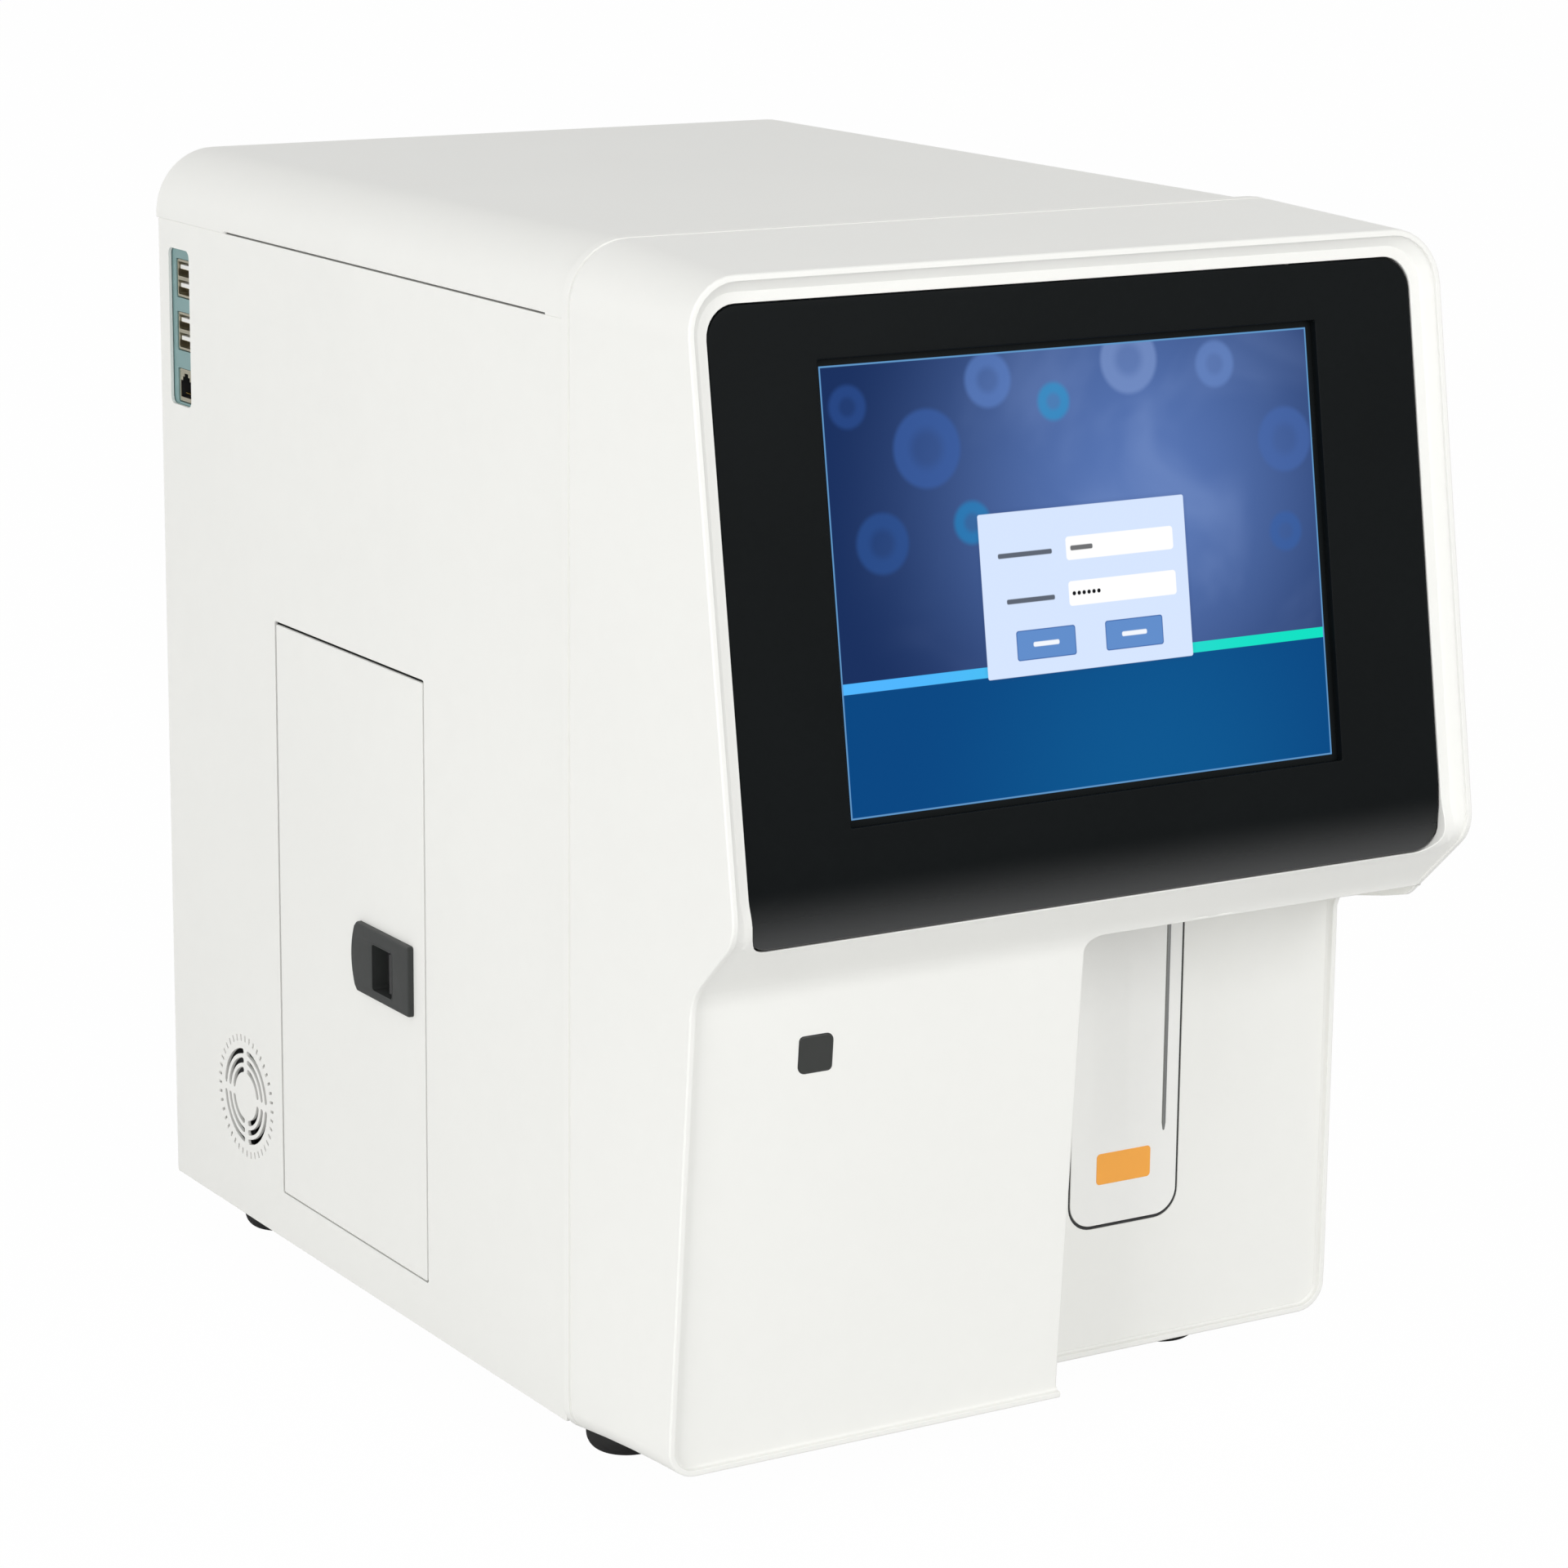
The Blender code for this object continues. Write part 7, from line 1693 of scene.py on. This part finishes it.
@dataclass
class Reagents:
    """Liner behind the door with its two bottles and their caps."""

    width: float = 0.056
    depth: float = 0.054
    shoulder: float = 0.145
    corner: float = 0.008
    neck: float = 0.0130
    neck_height: float = 0.012
    cap_radius: float = 0.0165
    cap_height: float = 0.018

    def bottle(self, reagent: str) -> Piece:
        """Make a bottle: rounded squares that turn into the neck's circle over the shoulder.

        A ring is (1 - m) times the square's outline plus m times the circle's, with m growing from
        0 to 1 over the shoulder. A label panel is drawn in slightly round the middle.

        Args:
            reagent: What it holds.

        Returns:
            The new object.
        """
        low, middle, _ = node_box(reagent + "_bottle")
        square = centred((0, 0), (self.depth / 2, self.width / 2), self.corner, 9)
        disc = unit(square) * self.neck
        rows = [(0.0, 0.0030, 0.0), (0.0008, 0.0010, 0.0), (0.003, 0.0, 0.0), (0.014, 0.0, 0.0),
                (0.0155, 0.0008, 0.0), (0.100, 0.0008, 0.0), (0.1015, 0.0, 0.0), (0.115, 0.0, 0.0),
                (0.124, 0.0005, 0.02), (0.131, 0.002, 0.16), (0.137, 0.003, 0.42),
                (0.142, 0.002, 0.74), (0.1445, 0.0, 0.94), (self.shoulder, 0.0, 1.0),
                (self.shoulder + self.neck_height, 0.0, 1.0)]
        place = TOP.moved(middle[0], middle[1], low[2])
        rings = [place.at(*(inset(square, draw) * (1 - share) + disc * share).T, z)
                 for z, draw, share in rows]
        return Shell("bottle_" + reagent).tube(np.stack(rings)).build()

    def cap(self, reagent: str) -> Piece:
        """Make a ribbed cap with a tube stub: the radius waves with the angle along its skirt.

        Args:
            reagent: What its bottle holds.

        Returns:
            The new object.
        """
        low, middle, size = node_box(reagent + "_cap")
        place = TOP.moved(middle[0], middle[1], low[2])
        angle = np.linspace(0, 2 * math.pi, 144, endpoint=False)
        wave = np.where(np.cos(36 * angle) > 0, 0.0, -0.0006)
        radius, height, top = self.cap_radius, self.cap_height, size[2]
        reach, rise, ribbed = np.array([
            (radius - 0.0004, 0.0, 0.0), (radius, 0.0006, 1.0), (radius, height - 0.0020, 1.0),
            (radius - 0.0006, height - 0.0008, 0.3), (radius - 0.0022, height, 0.0),
            (0.0045, height, 0.0), (0.0040, height + 0.0035, 0.0),
            (0.0030, height + 0.0042, 0.0)]).T[:, :, None]
        reach = reach + wave * ribbed
        rings = place.at(reach * np.cos(angle), reach * np.sin(angle), rise)
        stub = [(0.0020, height + 0.004), (0.0020, top - 0.0003), (0.0017, top), (0.0011, top),
                (0.0011, top - 0.004)]
        return Shell("cap_" + reagent).tube(rings).lathe(stub, place, 24).build()

    def make(self) -> None:
        """Build the reagent compartment and dress it."""
        put_copies(("reagent_compartment", 0.0005, GREY_PLASTIC, "grey_plastic"))
        for reagent in ("lyse", "cleaner"):
            put(self.bottle(reagent), BOTTLE_HDPE, reagent + "_bottle", "bottle_plastic")
        put(self.cap("lyse"), BLUE_CAP, "lyse_cap", "blue_cap")
        put(self.cap("cleaner"), RED_CAP, "cleaner_cap", "red_cap")


@dataclass
class Ports:
    """Teal plate with two double sockets and a network socket."""

    middle: float = 0.2108
    doubles: tuple[tuple, ...] = (("upper", 0.4128), ("lower", 0.3908))
    double_half: Pair = (0.00655, 0.0078)
    network: float = 0.3682
    network_half: Pair = (0.0064, 0.0068)
    face: float = 0.1582
    shell_front: float = 0.1577
    depth: float = 0.015
    fold: float = 0.0004

    def opening(self, z: float, half: Pair, grow: float = 0.0) -> Array:
        """Give a socket's outline, grown by a margin."""
        return centred((self.middle, z), (half[0] + grow, half[1] + grow), 0.0008, 3)

    def port_plate(self) -> Piece:
        """Make the plate, with an opening for each socket.

        Returns:
            The new object.
        """
        holes = [self.opening(z, self.double_half, 0.0003) for _, z in self.doubles]
        holes.append(self.opening(self.network, self.network_half, 0.0003))
        outline = rectangle(0.1945, 0.2287, 0.3544, 0.4303, 0.0008, 3)
        return plate("port_backplate", outline, LEFT, 0.1567, self.face, 0.0002, holes)

    def tunnel(self, shell: Shell, mouth: Array, back: float, front: float) -> None:
        """Add the thin wall of a mouth: its outline carried back, outwards and forward again."""
        rows = [(0.0, front), (0.0, back), (-self.fold, back), (-self.fold, front)]
        shell.loop(carried(mouth, LEFT, rows))

    def double_socket(self, level: str, z: float) -> None:
        """Build a double socket: a folded shell with two mouths, white tongues and contacts.

        Args:
            level: Whether it is the upper or the lower one.
            z: Height of its middle.
        """
        node, name, metal = "usb_socket_" + level, "double_" + level, "socket_metal"
        levels = (z - 0.0038, z + 0.0038)
        mouths = [centred((self.middle, middle), (0.0059, 0.0030), 0.0005, 3) for middle in levels]
        front = plate(name + "_face", self.opening(z, self.double_half), LEFT, 0.1571,
                      self.shell_front, 0.00015, mouths)
        put(front, SHELL_METAL, node, metal)
        shell = Shell(name + "_tunnels")
        for mouth in mouths:
            self.tunnel(shell, mouth, 0.1480, 0.1574)
            shell.slab(inset(mouth, -self.fold), LEFT, 0.1474, 0.1480, 0.0001, 0.0001, 2)
        shell.slab(self.opening(z, self.double_half, -self.fold / 2), LEFT,
                   self.shell_front - self.depth, 0.1474, 0.0003, 0.0003, 3)
        put(shell.build(), SHELL_METAL, node, metal)
        tongues, contacts = Shell(name + "_tongues"), Shell(name + "_contacts")
        for middle in levels:
            tongue = middle + 0.0008
            tongues.slab(centred((self.middle, tongue), (0.0053, 0.0009), 0.0002, 2), LEFT, 0.1478,
                         0.1569, 0.0002, 0.0001, 2)
            for y in self.middle + np.array([-0.0035, -0.0012, 0.0012, 0.0035]):
                contacts.block((-0.1566, y - 0.0005, tongue - 0.0011),
                               (-0.1490, y + 0.0005, tongue - 0.0008), 0.00008)
        put(tongues.build(), WHITE_TONGUE, node, metal)
        put(contacts.build(), GOLD, node, metal)

    def network_socket(self) -> None:
        """Build the network socket: a shell, a stepped dark mouth and eight spring contacts."""
        z, node, metal = self.network, "network_socket", "socket_metal"
        right = np.array([(0.0054, -0.0050), (0.0054, 0.0020), (0.0034, 0.0020), (0.0034, 0.0036),
                          (0.0018, 0.0036), (0.0018, 0.0050)])
        left = right[::-1] * (-1, 1)
        mouth = np.vstack([left[-1:], right, left[:-1]]) + (self.middle, z)
        front = plate("network_face", self.opening(z, self.network_half), LEFT, 0.1570,
                      self.shell_front, 0.00015, (mouth,))
        put(front, SHELL_METAL, node, metal)
        shell = Shell("network_well")
        self.tunnel(shell, mouth, 0.1467, 0.1573)
        shell.slab(self.opening(z, (0.0062, 0.0066)), LEFT, 0.1427, 0.1467, 0.0003, 0.0003, 3)
        put(shell.build(), CHIP_BLACK, node, metal)
        contacts = Shell("network_contacts")
        for y in self.middle + (np.arange(8) - 3.5) * 0.00102:
            contacts.block((-0.1562, y - 0.00018, z - 0.0036), (-0.1470, y + 0.00018, z - 0.0033), 0.00005)
        put(contacts.build(), GOLD, node, metal)

    def make(self) -> None:
        """Build the ports and dress them."""
        put(self.port_plate(), TEAL_PLATE, "port_plate", "port_plate")
        for level, z in self.doubles:
            self.double_socket(level, z)
        self.network_socket()
        put_copies(("io_board", 0.0002, BOARD_GREEN, "green_board"))


@dataclass
class StartKey:
    """Large key in the bay's back wall, hung from a pin, with its orange mark."""

    left: float = 0.039
    right: float = 0.089
    low: float = 0.0752
    high: float = 0.197
    corner: float = 0.010
    edge: float = 0.0003
    face: float = 0.1605
    thickness: float = 0.0025
    arms: Pair = (0.0460, 0.0790)
    pivot: Pair = (-0.150, 0.186)
    mark: Four = (0.051, 0.0764, 0.0915, 0.1040)

    def make(self) -> None:
        """Build the key and what carries it: arms with a turned pin, the bracket and the switch."""
        radii = (self.corner, self.corner, 0.001, 0.001)
        outline = rectangle(self.left, self.right, self.low, self.high, radii, 12)
        key = Shell("key_plate").slab(outline, FRONT, self.face - self.thickness, self.face, self.edge,
                                      0.0002, 6)
        put(key.build(), KEY_PLASTIC, "start_key", "cover_white", "start_key")
        y, z = self.pivot
        arms = Shell("key_arms")
        for x in self.arms:
            arms.block((x, -0.1583, z - 0.0045), (x + 0.0030, y + 0.0040, z + 0.0045), 0.0005)
        pin = rounded([(0, 0), (0.0015, 0), (0.0015, 0.0518), (0, 0.0518)], (0, 0.0002, 0.0002, 0), 5)
        arms.lathe(pin, RIGHT.moved(0.0381, y, z), 24)
        put(arms.build(), KEY_PLASTIC, "start_key", "cover_white", "start_key")
        mark = Shell("key_mark").slab(rectangle(*self.mark, 0.0016, 6), FRONT, self.face - 0.0006,
                                      self.face + 0.00022, 0.0002, 0.0001, 3)
        put(mark.build(), ORANGE_MARK, "start_key", body="start_key")
        put_copies(("key_bracket", 0.0003, ZINC, "zinc_steel"),
                   ("start_switch", 0.0004, BLACK_PLASTIC, "black_plastic"))


@dataclass
class Sampler:
    """Sampling needle with its carriage, lift screw, guide rod, motor and wash block."""

    x: float = 0.064
    y: float = -0.1855
    tip: float = 0.119
    needle: float = 0.00078
    hub: float = 0.0028
    pitch: float = 0.0020
    thread: float = 0.0009

    def probe(self) -> Piece:
        """Make the needle: a closed lathe with a slim tip, a long shaft and a stepped hub.

        Returns:
            The new object.
        """
        profile = [(0.0, 0.0), (0.00030, 0.0), (0.00040, 0.0003), (self.needle, 0.0030),
                   (self.needle, 0.168), (0.0011, 0.1695), (0.0011, 0.1720), (self.hub, 0.1730),
                   (self.hub, 0.1795), (0.0021, 0.1802), (0.0021, 0.1850), (self.hub, 0.1856),
                   (self.hub, 0.1895), (0.0018, 0.1900), (0.0, 0.1900)]
        return Shell("needle").lathe(profile, TOP.moved(self.x, self.y, self.tip), 32).build()

    def screw_thread(self) -> Piece:
        """Make the lift screw: a helix of rings whose radius waves along the thread.

        The radius at height z and angle a is the core's plus half the depth times
        1 + cos(2 pi z / pitch - a).

        Returns:
            The new object.
        """
        low, middle, (width, _, length) = node_box("lift_screw")
        angle = np.linspace(0, 2 * math.pi, 24, endpoint=False)
        z = np.linspace(0, length, int(length / self.pitch * 8))[:, None]
        near_end = np.minimum(np.minimum(z, length - z) / 0.004, 1)
        wave = (1 + np.cos(2 * math.pi * z / self.pitch - angle)) / 2
        reach = width / 2 - self.thread + self.thread * wave * near_end
        place = TOP.moved(middle[0], middle[1], low[2])
        rings = place.at(reach * np.cos(angle), reach * np.sin(angle), z)
        return Shell("screw_thread").tube(rings).build(60)

    def make(self) -> None:
        """Build the sampler and dress it."""
        put(self.probe(), NEEDLE_STEEL, "sample_probe", "stainless", "probe")
        put(self.screw_thread(), STAINLESS, "lift_screw", "stainless", "lift_screw")
        put_copies(("probe_carriage", 0.0004, BLACK_PLASTIC, "", "probe"),
                   ("sampler_frame", 0.0004, ZINC), ("lift_motor", 0.0004, MOTOR_BLACK),
                   ("probe_wash_block", 0.0004, CLEAR_ACRYLIC))
        node = "probe_guide_rod"
        low, middle, (width, _, length) = node_box(node)
        radius = width / 2
        rod = rounded([(0, 0), (radius, 0), (radius, length), (0, length)], (0, 0.0005, 0.0005, 0), 5)
        shell = Shell("guide_rod").lathe(rod, TOP.moved(middle[0], middle[1], low[2]), 32)
        put(shell.build(), STAINLESS, node, "stainless")


@dataclass
class Fan:
    """Axial fan: a frame that keeps its shape, and a rotor of swept blades."""

    name: str
    node: str
    body: str
    side: bool
    blades: int = 7
    hub_share: float = 0.40

    def rotor(self) -> Piece:
        """Make the rotor: a turned hub with its blades.

        A blade is a grid of radius and share along its chord: the angle grows with the share and
        sweeps with the radius, and the depth falls with the share, more at the hub than outside.

        Returns:
            The new object.
        """
        low, middle, size = node_box(self.node + "_rotor")
        if self.side:
            place, length, radius = LEFT.moved(low[0] + size[0], middle[1], middle[2]), size[0], size[2] / 2
        else:
            place, length, radius = REAR.moved(middle[0], low[1], middle[2]), size[1], size[0] / 2
        hub = radius * self.hub_share
        profile = rounded([(0, 0.0), (hub, 0.0), (hub, length), (0, length)], (0, 0.0004, 0.0018, 0), 5)
        shell = Shell(self.name).lathe(profile, place, 48)
        reach = np.linspace(hub * 0.96, radius, 7)[:, None]
        share = np.linspace(0, 1, 9)
        outward = (reach - hub) / (radius - hub)
        depth = length * (0.90 - 0.78 * share * (1 - 0.25 * outward) - 0.04 * outward)
        depth = depth + 0.0012 * np.sin(math.pi * share)
        thick = 0.0005 * (1 - 0.6 * (2 * share - 1) ** 2)
        sweep = share * (0.72 - 0.10 * outward) + 0.30 * outward
        for start in np.arange(self.blades) * 2 * math.pi / self.blades:
            x, y = reach * np.cos(start + sweep), reach * np.sin(start + sweep)
            both = np.hstack([place.at(x, y, depth - thick), place.at(x, y, depth + thick)[:, ::-1]])
            shell.tube(both)
        return shell.build()

    def make(self) -> None:
        """Build the frame and the rotor."""
        put_copies((self.node + "_frame", 0.0003, FAN_BLACK, "fan_black"))
        put(self.rotor(), FAN_BLACK, self.node + "_rotor", "fan_black", self.body)


@dataclass
class RearFittings:
    """Power inlet with its switch, the hose bulkhead, and the four feet."""

    barbs: Triple = (-0.100, -0.070, -0.040)
    level: float = 0.070
    face: float = 0.2305
    foot_radius: float = 0.0155
    foot_face: float = 0.0105
    foot_height: float = 0.0212

    def barb(self, shell: Shell, x: float) -> None:
        """Add a hose barb: a nut, a collar and two cones, as one turned profile.

        Args:
            shell: Shell to add to.
            x: Place of its middle line.
        """
        shell.lathe([(0.0, -0.0130), (0.0058, -0.0130), (0.0058, 0.0), (0.0062, 0.0002),
                     (0.0062, 0.0014), (0.0045, 0.0020), (0.0024, 0.0024), (0.0024, 0.0034),
                     (0.0035, 0.0040), (0.0024, 0.0062), (0.0035, 0.0064), (0.0022, 0.0086),
                     (0.0013, 0.0086), (0.0013, 0.0020), (0.0, 0.0020)],
                    REAR.moved(x, self.face + 0.0026, self.level), 32)

    def foot(self, corner: str) -> Piece:
        """Make a rubber foot: a lathe with a domed flank and a hollow sole.

        Args:
            corner: Corner of the machine that it stands under.

        Returns:
            The new object.
        """
        radius, sole, tall = self.foot_radius, self.foot_face, self.foot_height
        profile = [(0.0, 0.0016), (sole * 0.55, 0.0014), (sole * 0.70, 0.0002), (sole * 0.75, 0.0)]
        profile += [(sole + (radius - sole) * math.sin(a), 0.0062 * (1 - math.cos(a))) for a in quarter(8)]
        profile += [(radius, tall - 0.0030), (radius - 0.0008, tall - 0.0010), (radius - 0.0020, tall),
                    (0.0, tall)]
        middle = node_box("foot_" + corner)[1]
        return Shell("pad_" + corner).lathe(profile, TOP.moved(middle[0], middle[1], 0.0), 48).build()

    def make(self) -> None:
        """Build the rear fittings and the feet."""
        black, node, grey = "black_plastic", "hose_bulkhead", "grey_plastic"
        put_copies(("power_inlet", 0.0006, BLACK_PLASTIC, black),
                   ("power_rocker", 0.0007, CHIP_BLACK, black, "power_rocker"))
        base = Shell("hose_plate").block((-0.111, self.face - 0.0002, 0.059),
                                         (-0.029, self.face + 0.0028, 0.081), 0.0006)
        put(base.build(), GREY_PLASTIC, node, grey)
        shell = Shell("hose_barbs")
        for x in self.barbs:
            self.barb(shell, x)
        put(shell.build(), GREY_PLASTIC, node, grey)
        for corner in ("front_left", "front_right", "rear_left", "rear_right"):
            put(self.foot(corner), RUBBER, "foot_" + corner, "rubber")


class InnerWorks:
    """Fluidics and electrics inside the cabinet, as rounded copies of their solids."""

    def make(self) -> None:
        """Build the inner works and dress them."""
        put_copies(
            ("fluidics_plate", 0.0003, ZINC, "zinc_steel"),
            ("white_cell_bath", 0.0004, CLEAR_ACRYLIC, "clear_plastic"),
            ("red_cell_bath", 0.0004, CLEAR_ACRYLIC, "clear_plastic"),
            ("valve_bank", 0.0004, FAN_BLACK, "fan_black"),
            ("syringe_barrel", 0.0003, CLEAR_ACRYLIC, "clear_plastic"),
            ("syringe_clamp", 0.0003, ZINC, "zinc_steel"),
            ("syringe_motor", 0.0006, MOTOR_BLACK, "motor_black"),
            ("syringe_plunger", 0.0003, STAINLESS, "stainless", "syringe_plunger"),
            ("main_board", 0.0002, BOARD_GREEN, "green_board"),
            ("power_supply", 0.0008, ZINC, "zinc_steel"),
            ("waste_pump", 0.0006, MOTOR_BLACK, "fan_black"),
            ("diluent_pump", 0.0006, MOTOR_BLACK, "fan_black"))


@dataclass
class Setting:
    """Pale floor, soft lamps and the camera of the photograph."""

    eye: Triple = (-0.9727, -1.5932, 0.6692)
    turn: float = 31.567
    dip: float = 13.421
    roll: float = 0.5516
    sensor: float = 36.0
    focal_pixels: float = 5833.2
    picture_pixels: int = 1920
    floor: float = 14.0
    ambient: float = 0.535

    def camera(self) -> None:
        """Create the camera and make it the scene's own.

        The camera looks along (sin t cos d, cos t cos d, -sin d) for the turn t and the dip d, and
        its right and up directions are turned about that line by the roll.
        """
        turn, dip, roll = (math.radians(angle) for angle in (self.turn, self.dip, self.roll))
        forward = Vector((math.sin(turn) * math.cos(dip), math.cos(turn) * math.cos(dip), -math.sin(dip)))
        right = forward.cross(Vector((0, 0, 1))).normalized()
        upward = right.cross(forward)
        level = right * math.cos(roll) + upward * math.sin(roll)
        high = upward * math.cos(roll) - right * math.sin(roll)
        data = bpy.data.cameras.new("camera")
        data.sensor_fit = "HORIZONTAL"
        data.sensor_width = self.sensor
        data.lens = self.sensor * self.focal_pixels / self.picture_pixels
        data.clip_start, data.clip_end = 0.02, 60.0
        item = link("camera", data)
        turned = Matrix((level, high, -forward)).transposed().to_4x4()
        item.matrix_world = Matrix.Translation(self.eye) @ turned
        bpy.context.scene.camera = item

    def world(self) -> None:
        """Light the scene evenly, and show white to the camera, glossy and transmission rays."""
        graph = Graph(bpy.data.worlds.new("studio"))
        camera, through, glossy = (graph.node("ShaderNodeLightPath", output=f"Is {kind} Ray")
                                   for kind in ("Camera", "Transmission", "Glossy"))
        light, shown = (graph.node("ShaderNodeBackground", None, {0: WHITE, 1: strength})
                        for strength in (self.ambient, 1.0))
        seen = camera.most(through).most(glossy)
        graph.show(graph.node("ShaderNodeMixShader", None, {0: seen, 1: light, 2: shown}))
        bpy.context.scene.world = graph.owner

    def lamp(self, name: str, place: Triple, aim: Triple, size: float, power: float) -> None:
        """Add a large square lamp.

        Args:
            name: Name of the lamp.
            place: Where it hangs.
            aim: Point that it faces.
            size: Length of its side.
            power: Its power in watts.
        """
        data = bpy.data.lights.new(name, "AREA")
        data.shape, data.size, data.energy = "SQUARE", size, power
        way = Vector(aim) - Vector(place)
        turned = way.to_track_quat("-Z", "Y").to_matrix().to_4x4()
        link(name, data).matrix_world = Matrix.Translation(place) @ turned

    def ground(self) -> None:
        """Add the pale floor, which looks white but keeps the object's soft shadow."""
        side = np.linspace(-self.floor, self.floor, 5)
        x, y = np.meshgrid(side, side, indexing="ij")
        item = Shell("floor").grid(np.stack([x, y, 0 * x], -1)).build()
        graph = Graph(bpy.data.materials.new("floor_white"))
        pale = graph.mix(graph.noise(2.0), (0.86, 0.86, 0.86), (0.88, 0.88, 0.88))
        paint = graph.principled(Base_Color=pale, Roughness=0.9, Specular_IOR_Level=0.1)
        glow = graph.node("ShaderNodeEmission", None, {0: WHITE, 1: 1.0})
        share = graph.node("ShaderNodeLightPath") * 0.985
        graph.show(graph.node("ShaderNodeMixShader", None, {0: share, 1: paint, 2: glow}))
        dress(item, graph.owner)

    def make(self) -> None:
        """Set up the camera, the lamps, the world and the floor."""
        self.camera()
        self.world()
        self.lamp("left_lamp", (-3.5, -1.4, 1.0), (0.0, 0.0, 0.2), 2.2, 67)
        self.lamp("right_lamp", (1.0, -3.6, 2.1), (0.0, 0.0, 0.25), 2.2, 56)
        self.ground()
        bpy.context.scene.view_settings.view_transform = "Standard"


def main() -> None:
    """Build the whole object and its setting, one sub-assembly after the other."""
    logging.basicConfig(level=logging.INFO, format="%(message)s")
    assemblies = (
        Setting(), FrontMoulding(), Display(), StatusLamp(), Cabinet(), Door(), Reagents(), Ports(),
        StartKey(), Sampler(), Fan("side_blades", "side_fan", "side_fan_rotor", True),
        Fan("rear_blades", "rear_fan", "rear_fan_rotor", False), RearFittings(), InnerWorks())
    for assembly in assemblies:
        assembly.make()
        LOG.info("%s is ready", type(assembly).__name__)


if __name__ == "__main__":
    main()
